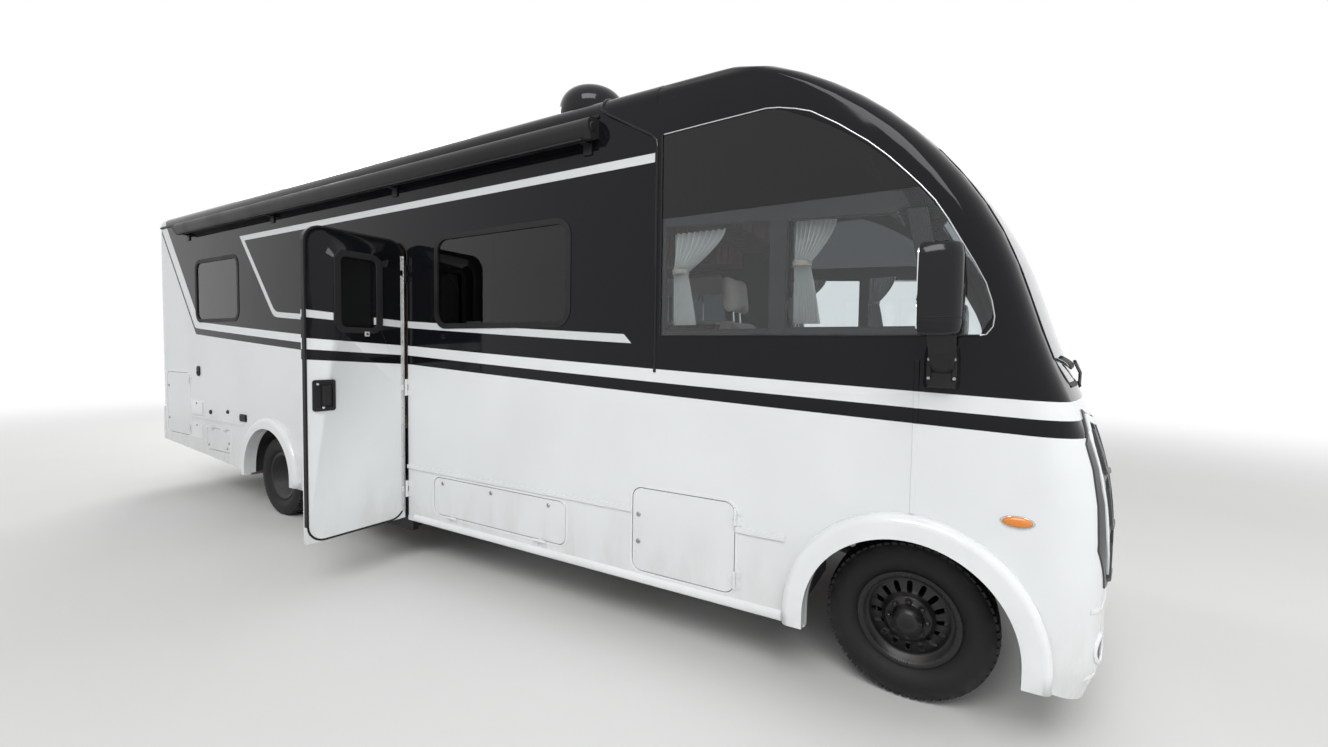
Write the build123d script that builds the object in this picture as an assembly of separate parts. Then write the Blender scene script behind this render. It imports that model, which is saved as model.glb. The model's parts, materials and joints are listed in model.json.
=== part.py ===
from build123d import *
import math
import os

os.makedirs("parts", exist_ok=True)

# Sizes in mm. x runs ahead of the front axle, y to the left of the middle, z up from the ground.
# Driving sizes of the vehicle
WHEELBASE = 5385.0
NOSE = 820.0
REAR_OVERHANG = 2482.0
BODY_WIDTH = 2380.0
WALL = 40.0
SKIRT_Z = 324.0
SPLIT_Z = 740.0
BELT_Z = 1430.0
WALL_TOP = 2900.0
ROOF_Z = 3030.0
ROOF_EDGE = 100.0
ROOF_SKIN = 60.0
FLOOR_Z = 945.0
FLOOR_THICK = 50.0
SEAM_LOW = 20.0
SEAM_HIGH = -1260.0
SEAT_GAP = 0.3
MOVE_GAP = 5.0
ROOF_CLEAR = 90.0
BED_CLEAR = 50.0

HALF = BODY_WIDTH / 2
TAIL = -(WHEELBASE + REAR_OVERHANG)
REAR_AXLE = -WHEELBASE
INSIDE = HALF - WALL
FLOOR_LOW = FLOOR_Z - FLOOR_THICK
REAR_INSIDE = TAIL + WALL
CAP_BEHIND = SEAM_HIGH - HALF / 4
DOME_X = -1965.0
DOME_Y = 360 - HALF

# Wheels
TYRE_DIA = 744.0
TYRE_WIDTH = 223.0
RIM_RADIUS = 206.5
BEAD_HALF = 76.0
FLANGE_RADIUS = 222.0
FLANGE_THICK = 7.0
FRONT_WHEEL_Y = HALF - 312
REAR_OUTER_Y = HALF - 167.5
TWIN_PITCH = 280.0
SPINDLE_RADIUS = 30.0
REAR_TUBE_RADIUS = 38.0
BARREL_THICK = 12.0
DISC_THICK = 12.0
SLOT_COUNT = 16
SLOT_RING = 142.0
KINGPIN_Y = FRONT_WHEEL_Y - 133
KINGPIN_RADIUS = 16.0
STEER_ARM = 180.0
ROD_RADIUS = 12.0
AXLE_Z = TYRE_DIA / 2

# Wheel arches
ARCH_Z = 413.0
ARCH_RADIUS = 420.0
FLARE_WIDTH = 100.0
FLARE_OUT = 60.0
FLARE_LOW = 340.0
WELL_RADIUS = 470.0
WELL_SKIN = 10.0
WELL_PLATE_LOW = 600.0

# Frame
RAIL_Y = 435.0
RAIL_THICK = 55.0
RAIL_LOW = 600.0
RAIL_TOP = 770.0
RAIL_FRONT = 600.0
BEAM_WIDE = 60.0
BEAM_SHORT = 10.0
BEAM_REACH = INSIDE - BEAM_SHORT
CROSS_WIDE = 40.0

# Entry door
DOOR_HINGE_X = -3370.0
DOOR_WIDTH = 674.0
DOOR_LOW = 345.0
DOOR_TOP = 2366.0
DOOR_ROUND = 110.0
DOOR_OPEN = 90.0
STEP_LOW = 252.0
STEP_DEPTH = 270.0
STEP_COUNT = 2
STEP_SKIN = 12.0

# Hinges
PIN_RADIUS = 4.0
PIN_GAP = 0.3
BARREL_RADIUS = 9.0
HINGE_OUT = 12.0
LEAF_THICK = 4.0
LEAF_LONG = 34.0
EDGE_FROM_PIN = 6.0

# Roof, awning and mirrors
AWNING_FRONT = -1640.0
AWNING_REAR = TAIL + 647
AWNING_TOP = 2894.0
AWNING_HIGH = 126.0
AWNING_DEEP = 105.0
AWNING_ROLL = 50.0
MIRROR_X = 110.0
MIRROR_REACH = 310.0
MIRROR_LOW = 1677.0
MIRROR_HIGH = 345.0
MIRROR_WIDE = 220.0
SEAT_Y = HALF - 550

# Plan outline of a mirror housing: ahead of its middle, inward from its outer end
MIRROR_PLAN = ((-75, 0), (20, 0), (58, 28), (75, 80), (60, 150), (20, 205), (-75, MIRROR_WIDE))

# Covers on the right side behind the rear wheel: rear x, front x, low z, high z, height off the wall
HATCH_ROWS = (
    (REAR_AXLE - 1745, REAR_AXLE - 1455, 845.0, 1000.0, 9.0),
    (REAR_AXLE - 1745, REAR_AXLE - 1455, 587.0, 762.0, 9.0),
    (REAR_AXLE - 625, REAR_AXLE - 485, 850.0, 922.0, 14.0),
    (REAR_AXLE - 1580, REAR_AXLE - 1510, 1262.0, 1370.0, 12.0),
)
HATCH_ROUND = 12.0

# Filler caps on the same side: x, z, radius
CAP_ROWS = ((REAR_AXLE - 1275, 895.0, 24.0), (REAR_AXLE - 885, 923.0, 20.0))
CAP_PROUD = 12.0

# Marker lamps on both sides: x, z, half length, half height
MARKER_ROWS = ((390.0, 965.0, 50.0, 21.0), (REAR_AXLE + 585, 693.0, 28.0, 14.0))
MARKER_PROUD = 12.0

# Tow receiver, a 2 inch square socket in a 2.5 inch tube
SOCKET = 50.8
RECEIVER_WALL = 6.35
RECEIVER_Z = 460.0
SOCKET_LONG = 180.0
RECEIVER_OUT = 83.0
HITCH_PIN_RADIUS = 7.95
PIN_FROM_MOUTH = 62.0

# Windows in both side walls: name, rear end x, front end x, sill z, head z
WINDOW_ROWS = (
    ("middle", -3050.0, -1850.0, 1750.0, 2370.0),
    ("rear", REAR_AXLE - 1575, REAR_AXLE - 615, 1845.0, 2475.0),
)
WINDOW_ROUND = 100.0
FRAME_LIP = 14.0
FRAME_FACE = 22.0
FRAME_PROUD = 4.0
GLASS_THICK = 6.0
GLASS_DEPTH = 6.0
REAR_WINDOW = (-450.0, 450.0, 1750.0, 2300.0)

# Baggage doors: name, side of the vehicle, rear x, front x, low z, high z, hinged edge
BAGGAGE_ROWS = (
    ("long_door_right", -1, -3075.0, -1860.0, 420.0, 690.0, "low"),
    ("long_door_left", 1, -3075.0, -1860.0, 420.0, 690.0, "low"),
    ("square_door", -1, -1386.0, -773.0, 390.0, 857.0, "front"),
    ("tall_door", -1, TAIL + 87, TAIL + 693, 600.0, 1290.0, "front"),
    ("access_door", -1, REAR_AXLE - 1385, REAR_AXLE - 821, 500.0, 735.0, "high"),
)
BAGGAGE_THICK = 30.0
BAGGAGE_ROUND = 60.0
TUB_INNER = RAIL_Y + 115
TUB_SKIN = 10.0
TUB_MARGIN = 12.0

# Outline of the front cap in the middle plane: reach ahead of the front axle, height
NOSE_LINE = (
    (NOSE, 900.0),
    (NOSE - 200, 1640.0),
    (NOSE - 357, 2090.0),
    (NOSE - 585, 2450.0),
    (NOSE - 902, 2754.0),
    (NOSE - 1325, 2982.0),
    (NOSE - 1820, ROOF_Z),
)
NOSE_LOW = (NOSE - 60, 215.0)
NOSE_CHIN = (NOSE - 3, 400.0)
CAP_SECTIONS = 22
BOW_RADIUS = 4000.0
CORNER_LOW = 250.0
CORNER_HIGH = 150.0
SCREEN_LOW = 1490.0
SCREEN_TOP = 2590.0
SCREEN_HALF = HALF - 150
SCREEN_ROUND = 110.0
BEZEL_LOW = 640.0
BEZEL_TOP = 1395.0
BEZEL_INNER = HALF - 590
BEZEL_OUTER = HALF - 105
GRILLE_LOW = 640.0
GRILLE_TOP = 1240.0
GRILLE_HALF = BEZEL_INNER - 60
GRILLE_BARS = 6
FOG_Y = HALF - 175
FOG_Z = 470.0
FOG_RADIUS = 60.0
FOG_LENS = 42.0
FOG_RIM = 8.0

# The bounding box is centred on the origin, so the vehicle is carried forward and to the left
REAR_REACH = -TAIL + RECEIVER_OUT
DOOR_REACH = HALF + HINGE_OUT + EDGE_FROM_PIN + DOOR_WIDTH
ORIGIN = Vector((REAR_REACH - NOSE) / 2, (DOOR_REACH - HALF - MIRROR_REACH) / 2, 0)

made = {}


def keep(name, *solids):
    """Collect solids under one node name."""
    made.setdefault(name, []).extend(solids)


def block(x0, x1, y0, y1, z0, z1):
    """Box between two corners."""
    middle = Pos((x0 + x1) / 2, (y0 + y1) / 2, (z0 + z1) / 2)
    return middle * Box(abs(x1 - x0), abs(y1 - y0), abs(z1 - z0))


def rod(start, end, radius):
    """Round bar between two points."""
    line = Vector(*end) - Vector(*start)
    plane = Plane(origin=start, z_dir=line)
    return plane * Pos(0, 0, line.length / 2) * Cylinder(radius, line.length)


def slab(sketch, y0, y1):
    """Side view outline made solid between two values of y."""
    low, high = sorted((y0, y1))
    return extrude(Plane.XZ.offset(-high) * sketch, high - low)


def front_slab(sketch, x0, x1):
    """Front view outline made solid between two values of x."""
    return extrude(Plane.YZ.offset(x0) * sketch, x1 - x0)


def panel_y(side, depth):
    """Place y of a depth below the outer face of one side wall."""
    return side * (HALF - depth)


def rounded(x0, x1, z0, z1, radius):
    """Rounded rectangle between two corners."""
    return Pos((x0 + x1) / 2, (z0 + z1) / 2) * RectangleRounded(x1 - x0, z1 - z0, radius)


def arch(axle_x, radius, low):
    """Round topped wheel arch outline, open down to a height."""
    legs = Pos(axle_x, (ARCH_Z + low) / 2) * Rectangle(2 * radius, ARCH_Z - low)
    below = Pos(axle_x, low - radius) * Rectangle(3 * radius, 2 * radius)
    return Pos(axle_x, ARCH_Z) * Circle(radius) + legs - below


# Front cap, built from level sections that follow the outline of the nose
nose_curve = Spline(*NOSE_LINE, tangents=((0, 1), (-1, 0)))


def nose_point(step, inset):
    """Point of the nose outline at a share of its run, moved inward by an inset."""
    share = step / CAP_SECTIONS
    point = nose_curve @ share
    run = (nose_curve % share).normalized()
    return point.X - run.Y * inset, point.Y + run.X * inset


def half_width(z, inset):
    """Half the body's width at a height, with the rounded roof edge."""
    edge = ROOF_EDGE - inset
    rise = z - (ROOF_Z - ROOF_EDGE)
    if rise <= 0:
        return HALF - inset
    return HALF - ROOF_EDGE + math.sqrt(max(edge * edge - rise * rise, 0.0))


def corner_radius(z):
    """Plan radius of the front corners, larger in the bumper than beside the windscreen."""
    share = min(max((z - 1000) / 600, 0), 1)
    return CORNER_LOW + (CORNER_HIGH - CORNER_LOW) * share


def cap_section(reach, z, inset, back):
    """Level section of the front cap: straight sides, round corners and a bowed front."""
    half = half_width(z, inset)
    corner = corner_radius(z) - inset
    bow = BOW_RADIUS - inset
    bow_x = reach - bow
    corner_y = half - corner
    corner_x = bow_x + math.sqrt((bow - corner) ** 2 - corner_y ** 2)
    turn = math.atan2(corner_y, corner_x - bow_x)
    joint = (bow_x + bow * math.cos(turn), bow * math.sin(turn))
    mid_turn = (turn + math.pi / 2) / 2
    mid = (corner_x + corner * math.cos(mid_turn), corner_y + corner * math.sin(mid_turn))
    outline = [
        Line((back, -half), (corner_x, -half)),
        ThreePointArc((corner_x, -half), (mid[0], -mid[1]), (joint[0], -joint[1])),
        ThreePointArc((joint[0], -joint[1]), (reach, 0), joint),
        ThreePointArc(joint, mid, (corner_x, half)),
        Line((corner_x, half), (back, half)),
        Line((back, half), (back, -half)),
    ]
    return Pos(0, 0, z) * make_face(outline)


def cap_body(inset, back, low_z):
    """Closed body inside the cap's outer face, moved inward by an inset."""
    sections = [cap_section(NOSE_LOW[0] - inset, low_z, inset, back)]
    sections.append(cap_section(NOSE_CHIN[0] - inset, NOSE_CHIN[1], inset, back))
    for step in range(CAP_SECTIONS + 1):
        reach, z = nose_point(step, inset)
        sections.append(cap_section(reach, z, inset, back))
    return loft(sections, ruled=True)


def cap_skin(outer, inner):
    """Shell of the front cap between two insets, open below and behind."""
    shell = cap_body(outer, CAP_BEHIND, NOSE_LOW[1]) - cap_body(inner, CAP_BEHIND - 50, NOSE_LOW[1] - 90)
    return shell & block(SEAM_HIGH, NOSE + 50, -HALF - 50, HALF + 50, 0, ROOF_Z + 50)


def side_window(inset):
    """Outline of the large window in each side of the front cap."""
    rear = -1225 + inset
    low = 1685 + inset
    points = ((rear, 2735 - inset), (-640, 2752 - inset), (62 - inset, 2225 - inset), (288 - inset, 1775))
    head = Line(points[0], points[1])
    brow = ThreePointArc(points[1], points[2], points[3])
    tip = Line(points[3], (240 - inset, low))
    sill = Line((240 - inset, low), (rear, low))
    back = Line((rear, low), points[0])
    return make_face([head, brow, tip, sill, back])


def screen(inset):
    """Front view outline of the windscreen."""
    wide = SCREEN_HALF - inset
    return rounded(-wide, wide, SCREEN_LOW + inset, SCREEN_TOP - inset, SCREEN_ROUND)


def bezel(side, inset):
    """Front view outline of a lamp bezel at one corner."""
    inner = BEZEL_INNER + inset
    outer = BEZEL_OUTER - inset
    low = BEZEL_LOW + inset
    top = BEZEL_TOP - inset
    points = [
        (side * inner, low + 60),
        (side * (inner + 110), low),
        (side * (outer - 90), low + 60),
        (side * outer, low + 230),
        (side * outer, top - 120),
        (side * (outer - 150), top),
        (side * (inner + 90), top - 60),
    ]
    return make_face(Polyline(*points, close=True))


def make_front_cap():
    """Painted front cap with its windows and lamp openings cut."""
    cap = cap_skin(0, WALL)
    cap -= block(SEAM_HIGH - 100, SEAM_LOW, -HALF - 50, HALF + 50, 0, BELT_Z)
    chin = Polyline(
        (300, 100), (1000, 100), (1000, 215), (NOSE - 40, 215), (440, 345), (300, 345), close=True)
    cap -= slab(make_face(chin), -HALF - 50, HALF + 50)
    cap -= slab(arch(0, ARCH_RADIUS, 100), -HALF - 50, HALF + 50)
    cap -= slab(side_window(0), -HALF - 50, HALF + 50)
    cap -= front_slab(screen(0), -150, NOSE + 50)
    for side in (-1, 1):
        cap -= front_slab(bezel(side, 0), 300, NOSE + 50)
    cap -= front_slab(rounded(-GRILLE_HALF, GRILLE_HALF, GRILLE_LOW, GRILLE_TOP, 60), 500, NOSE + 50)
    keep("front_cap", cap)


def make_front_glass():
    """Windscreen and the large side windows of the cap."""
    pane = cap_skin(3, 3 + GLASS_THICK) & front_slab(screen(SEAT_GAP), -150, NOSE + 50)
    keep("windscreen", pane)
    for side in (-1, 1):
        outline = side_window(SEAT_GAP)
        keep("side_glass", slab(outline, panel_y(side, 3), panel_y(side, 3 + GLASS_THICK)))


def make_lamps():
    """Black bezels with three lamps each, and the grille between them."""
    bezel_skin = cap_skin(-5, WALL)
    lens_skin = cap_skin(14, 14 + GLASS_THICK)
    lamp_zones = ((0.66, 0.92), (0.37, 0.62), (0.09, 0.33))
    tall = BEZEL_TOP - BEZEL_LOW
    for side in (-1, 1):
        frame = bezel_skin & front_slab(bezel(side, SEAT_GAP), 300, NOSE + 50)
        for low_share, high_share in lamp_zones:
            low = BEZEL_LOW + low_share * tall
            high = BEZEL_LOW + high_share * tall
            y0, y1 = sorted((side * (BEZEL_INNER + 160), side * (BEZEL_OUTER - 155)))
            hole = rounded(y0, y1, low, high, 18)
            lens = rounded(y0 + SEAT_GAP, y1 - SEAT_GAP, low + SEAT_GAP, high - SEAT_GAP, 18)
            frame -= front_slab(hole, 300, NOSE + 50)
            keep("headlamps", lens_skin & front_slab(lens, 300, NOSE + 50))
        keep("lamp_bezels", frame)
    edge = SEAT_GAP
    outline = rounded(-GRILLE_HALF + edge, GRILLE_HALF - edge, GRILLE_LOW + edge, GRILLE_TOP - edge, 60)
    rim = rounded(-GRILLE_HALF + 35, GRILLE_HALF - 35, GRILLE_LOW + 35, GRILLE_TOP - 35, 40)
    pitch = (GRILLE_TOP - GRILLE_LOW - 70) / (GRILLE_BARS + 1)
    bars = outline - rim
    for bar in range(GRILLE_BARS):
        bars += Pos(0, GRILLE_LOW + 35 + pitch * (bar + 1)) * Rectangle(2 * GRILLE_HALF - 60, 26)
    keep("grille", bezel_skin & front_slab(bars, 500, NOSE + 50))


def make_fog_lamps():
    """Round fog lamps seated low on both corners of the front cap."""
    rim_skin = cap_skin(-FOG_RIM, -SEAT_GAP)
    lens_skin = cap_skin(-FOG_RIM / 2, -SEAT_GAP)
    for side in (-1, 1):
        place = Pos(side * FOG_Y, FOG_Z)
        rim = rim_skin & front_slab(place * (Circle(FOG_RADIUS) - Circle(FOG_LENS)), 300, NOSE + 50)
        lens = lens_skin & front_slab(place * Circle(FOG_LENS), 300, NOSE + 50)
        keep("fog_lamps", rim + lens)


def body_section(inset, low):
    """Front view outline of the body with rounded roof edges, down to a height."""
    half = HALF - inset
    edge = ROOF_EDGE - inset
    top = ROOF_Z - inset
    left = edge * (1 - math.sqrt(0.5))
    line = [
        Line((-half, low), (-half, top - edge)),
        ThreePointArc((-half, top - edge), (-half + left, top - left), (-half + edge, top)),
        Line((-half + edge, top), (half - edge, top)),
        ThreePointArc((half - edge, top), (half - left, top - left), (half, top - edge)),
        Line((half, top - edge), (half, low)),
        Line((half, low), (-half, low)),
    ]
    return make_face(line)


def make_roof():
    """Roof skin behind the front cap, resting on both walls."""
    shell = front_slab(body_section(0, WALL_TOP), REAR_INSIDE, SEAM_HIGH)
    shell -= front_slab(body_section(ROOF_SKIN, WALL_TOP - 50), REAR_INSIDE - 10, SEAM_HIGH + 10)
    keep("roof", shell)


def make_rear_wall():
    """Rear wall over the full width, with its window cut."""
    wall = front_slab(body_section(0, 500), TAIL, REAR_INSIDE)
    outer = wall.faces().sort_by(Axis.X)[0]
    sides = outer.edges().filter_by(lambda edge: edge.center().Z > 520)
    wall = fillet(sides, 25)
    wall -= front_slab(rounded(*REAR_WINDOW, WINDOW_ROUND), TAIL - 20, REAR_INSIDE + 20)
    keep("rear_wall", wall)


def skirt_low(x):
    """Height of the lower skirt edge, which rises behind the rear wheel."""
    start = REAR_AXLE - ARCH_RADIUS
    if x > start:
        return SKIRT_Z
    return SKIRT_Z + 40 + (start - x) / (start - TAIL) * 140


def side_cuts(side):
    """Everything cut through one side wall and its skirt."""
    deep = (panel_y(side, -30), panel_y(side, WALL + 30))
    cuts = [slab(arch(axle, ARCH_RADIUS, 100), *deep) for axle in (0, REAR_AXLE)]
    for _name, x0, x1, z0, z1 in WINDOW_ROWS:
        cuts.append(slab(rounded(x0, x1, z0, z1, WINDOW_ROUND), *deep))
    for _name, door_side, x0, x1, z0, z1, _edge in BAGGAGE_ROWS:
        if door_side == side:
            cuts.append(slab(rounded(x0, x1, z0, z1, BAGGAGE_ROUND), *deep))
    if side < 0:
        cuts.append(slab(door_outline(-MOVE_GAP), *deep))
    return cuts


def door_outline(inset):
    """Closed outline of the entry door."""
    front = DOOR_HINGE_X - EDGE_FROM_PIN - inset
    rear = DOOR_HINGE_X - EDGE_FROM_PIN - DOOR_WIDTH + inset
    top = DOOR_TOP - inset
    low = DOOR_LOW + inset
    if inset < 0:
        low = SKIRT_Z - 10
    turn = DOOR_ROUND
    bite = turn * (1 - math.sqrt(0.5))
    line = [
        Line((rear, low), (rear, top - turn)),
        ThreePointArc((rear, top - turn), (rear + bite, top - bite), (rear + turn, top)),
        Line((rear + turn, top), (front - turn, top)),
        ThreePointArc((front - turn, top), (front - bite, top - bite), (front, top - turn)),
        Line((front, top - turn), (front, low)),
        Line((front, low), (rear, low)),
    ]
    return make_face(line)


def make_side(side):
    """Upper wall, lower skirt and moulding of one side."""
    label = "right" if side < 0 else "left"
    deep = (panel_y(side, 0), panel_y(side, WALL))
    wall_line = Polyline(
        (REAR_INSIDE, SPLIT_Z), (SEAM_LOW, SPLIT_Z), (SEAM_LOW, BELT_Z), (SEAM_HIGH, BELT_Z),
        (SEAM_HIGH, WALL_TOP), (REAR_INSIDE, WALL_TOP), close=True)
    start = REAR_AXLE - ARCH_RADIUS
    skirt_line = Polyline(
        (REAR_INSIDE, skirt_low(REAR_INSIDE)), (start, skirt_low(start - 1)), (start, SKIRT_Z),
        (SEAM_LOW, SKIRT_Z), (SEAM_LOW, SPLIT_Z), (REAR_INSIDE, SPLIT_Z), close=True)
    wall = slab(make_face(wall_line), *deep)
    skirt = slab(make_face(skirt_line), *deep)
    rib_y = (panel_y(side, -9), panel_y(side, 0))
    skirt += slab(rounded(REAR_AXLE + 560, -520, SPLIT_Z - 28, SPLIT_Z, 8), *rib_y)
    wall += slab(rounded(TAIL + 737, REAR_AXLE - 540, 808, 836, 8), *rib_y)
    for cut in side_cuts(side):
        wall -= cut
        skirt -= cut
    keep(label + "_wall", wall)
    keep(label + "_skirt", *skirt.solids())


def window_outlines(x0, x1, z0, z1):
    """Flange, frame, opening and pane outlines of a framed window."""
    flange = rounded(x0 - FRAME_LIP, x1 + FRAME_LIP, z0 - FRAME_LIP, z1 + FRAME_LIP, WINDOW_ROUND + FRAME_LIP)
    ring = rounded(x0 + SEAT_GAP, x1 - SEAT_GAP, z0 + SEAT_GAP, z1 - SEAT_GAP, WINDOW_ROUND)
    inner = WINDOW_ROUND - FRAME_FACE
    gone = rounded(x0 + FRAME_FACE, x1 - FRAME_FACE, z0 + FRAME_FACE, z1 - FRAME_FACE, inner)
    clear = FRAME_FACE + SEAT_GAP
    pane = rounded(x0 + clear, x1 - clear, z0 + clear, z1 - clear, inner)
    return flange, ring, gone, pane


def make_windows():
    """Rubber frames and panes of the framed windows."""
    deep = GLASS_DEPTH + GLASS_THICK
    for side in (-1, 1):
        for _name, x0, x1, z0, z1 in WINDOW_ROWS:
            flange, ring, gone, pane = window_outlines(x0, x1, z0, z1)
            frame = slab(flange, panel_y(side, -FRAME_PROUD), panel_y(side, 0))
            frame += slab(ring, panel_y(side, 0), panel_y(side, WALL))
            frame -= slab(gone, panel_y(side, -20), panel_y(side, WALL + 20))
            keep("window_frames", frame)
            keep("side_glass", slab(pane, panel_y(side, GLASS_DEPTH), panel_y(side, deep)))
    flange, ring, gone, pane = window_outlines(*REAR_WINDOW)
    frame = front_slab(flange, TAIL - FRAME_PROUD, TAIL) + front_slab(ring, TAIL, REAR_INSIDE)
    keep("window_frames", frame - front_slab(gone, TAIL - 20, REAR_INSIDE + 20))
    keep("side_glass", front_slab(pane, TAIL + GLASS_DEPTH, TAIL + deep))


def make_arches():
    """Flares outside and wheel wells inside the four arches."""
    cab_space = cap_body(WALL + SEAT_GAP, CAP_BEHIND, NOSE_LOW[1] - 90)
    for side in (-1, 1):
        for axle in (0, REAR_AXLE):
            low = FLARE_LOW if axle == 0 else FLARE_LOW + 10
            ring = arch(axle, ARCH_RADIUS + FLARE_WIDTH, low) - arch(axle, ARCH_RADIUS, low - 10)
            flare = slab(ring, panel_y(side, -FLARE_OUT), panel_y(side, 0))
            face = flare.faces().sort_by(Axis.Y)[0 if side < 0 else -1]
            outer = face.edges().filter_by(GeomType.CIRCLE)
            flare = fillet(outer.sort_by(SortBy.RADIUS)[-1:], FLARE_OUT * 0.6)
            keep("arch_flares", flare)
            plate_y = FRONT_WHEEL_Y - 333 if axle == 0 else REAR_OUTER_Y - 422.5
            outside = arch(axle, WELL_RADIUS + WELL_SKIN, FLARE_LOW + 20)
            inside = arch(axle, WELL_RADIUS, FLARE_LOW - 10)
            tunnel = slab(outside - inside, side * plate_y, side * (INSIDE - SEAT_GAP))
            outline = arch(axle, WELL_RADIUS + WELL_SKIN, FLARE_LOW)
            plate = slab(outline, side * plate_y, side * (plate_y + 12))
            plate -= block(axle - 900, axle + 900, -INSIDE, INSIDE, 0, WELL_PLATE_LOW)
            well = tunnel + plate
            keep("wheel_wells", well & cab_space if axle == 0 else well)


def make_frame():
    """Rails, cross beams and brackets, each a plain bar that butts against its neighbours."""
    rail_in = RAIL_Y - RAIL_THICK
    for side in (-1, 1):
        rail = block(REAR_INSIDE + 60, RAIL_FRONT, side * rail_in, side * RAIL_Y, RAIL_LOW, RAIL_TOP)
        keep("chassis_frame", rail)
    # Beams on the rails: place x, inner reach, outer reach
    beam_rows = (
        (500, 0, 900), (-560, 310, BEAM_REACH), (-1620, 0, BEAM_REACH), (-2450, 0, 530),
        (DOOR_HINGE_X + 150, 0, BEAM_REACH), (DOOR_HINGE_X - 780, 0, BEAM_REACH),
        (REAR_AXLE + 555, 0, BEAM_REACH), (REAR_AXLE - 575, 0, BEAM_REACH),
        (REAR_AXLE - 1535, 0, BEAM_REACH), (REAR_INSIDE + 130, 0, 530),
    )
    for x, inner, outer in beam_rows:
        span = (x - BEAM_WIDE / 2, x + BEAM_WIDE / 2)
        if inner == 0:
            keep("chassis_frame", block(*span, -outer, outer, RAIL_TOP, FLOOR_LOW))
            continue
        for side in (-1, 1):
            keep("chassis_frame", block(*span, side * inner, side * outer, RAIL_TOP, FLOOR_LOW))
    half = CROSS_WIDE / 2
    for x in (570, -1620, DOOR_HINGE_X - 780, REAR_AXLE + 555, REAR_AXLE - 575, REAR_INSIDE + 130):
        keep("chassis_frame", block(x - half, x + half, -rail_in, rail_in, RAIL_LOW + 20, RAIL_TOP - 20))
    for side in (-1, 1):
        keep("chassis_frame", block(-60, 60, side * RAIL_Y, side * 540, RAIL_LOW, RAIL_LOW + 60))
        keep("chassis_frame", block(-990, -910, side * rail_in, side * RAIL_Y, 560, RAIL_LOW))
        for x in (REAR_AXLE + 640, REAR_AXLE - 640):
            keep("chassis_frame", block(x - 45, x + 45, side * RAIL_Y, side * 572, 640, 720))


def make_receiver():
    """Tow receiver: a square socket tube on a bar that hangs from the rails."""
    half = SOCKET / 2 + RECEIVER_WALL
    inner = SOCKET / 2
    mouth = TAIL - RECEIVER_OUT
    bar = REAR_INSIDE + 130
    pin_x = mouth + PIN_FROM_MOUTH
    tube = block(mouth, bar - 30, -half, half, RECEIVER_Z - half, RECEIVER_Z + half)
    tube -= block(mouth - 10, mouth + SOCKET_LONG, -inner, inner, RECEIVER_Z - inner, RECEIVER_Z + inner)
    tube -= rod((pin_x, -half - 10, RECEIVER_Z), (pin_x, half + 10, RECEIVER_Z), HITCH_PIN_RADIUS)
    keep("tow_receiver", tube)
    keep("tow_receiver", block(bar - 30, bar + 30, -420, 420, RECEIVER_Z - half, RECEIVER_Z + half))
    for side in (-1, 1):
        keep("tow_receiver", block(bar - 30, bar + 30, side * 360, side * 420, RECEIVER_Z + half, RAIL_LOW))


def make_axles():
    """Front beam with its springs and arms, and the driven rear axle with its leaf springs."""
    arm = KINGPIN_Y - 55
    beam = block(-35, 35, -arm, arm, AXLE_Z - 40, AXLE_Z + 40)
    for side in (-1, 1):
        beam += block(-30, 30, side * (arm - 10), side * KINGPIN_Y, AXLE_Z - 32, AXLE_Z + 32)
        beam += Pos(0, side * KINGPIN_Y, AXLE_Z) * Cylinder(32, 64)
        beam += Pos(0, side * KINGPIN_Y, AXLE_Z) * Cylinder(KINGPIN_RADIUS, 130)
        beam += Pos(0, side * 490, (AXLE_Z + 40 + RAIL_LOW) / 2) * Cylinder(48, RAIL_LOW - AXLE_Z - 40)
        beam += rod((0, side * 350, AXLE_Z), (-950, side * 405, 535), 24)
        beam += block(-990, -910, side * (RAIL_Y - RAIL_THICK), side * RAIL_Y, 505, 560)
    keep("front_axle", beam)
    tube_end = REAR_OUTER_Y - TWIN_PITCH / 2 + 80
    axle = rod((REAR_AXLE, -tube_end, AXLE_Z), (REAR_AXLE, tube_end, AXLE_Z), REAR_TUBE_RADIUS)
    axle += rod((REAR_AXLE, -620, AXLE_Z), (REAR_AXLE, 620, AXLE_Z), 55)
    axle += Pos(REAR_AXLE, 0, AXLE_Z) * Sphere(165)
    axle += rod((-1450, 0, 460), (REAR_AXLE + 40, 0, 460), 38)
    for side in (-1, 1):
        low = 448.0
        spring = [
            ThreePointArc((REAR_AXLE - 640, 590), (REAR_AXLE, low), (REAR_AXLE + 640, 590)),
            Line((REAR_AXLE + 640, 590), (REAR_AXLE + 640, 640)),
            ThreePointArc((REAR_AXLE + 640, 640), (REAR_AXLE, low + 62), (REAR_AXLE - 640, 640)),
            Line((REAR_AXLE - 640, 640), (REAR_AXLE - 640, 590)),
        ]
        axle += slab(make_face(spring), side * 492, side * 568)
        axle += block(REAR_AXLE - 60, REAR_AXLE + 60, side * 486, side * 574, AXLE_Z + 20, low + 6)
    keep("rear_axle", axle)


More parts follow.
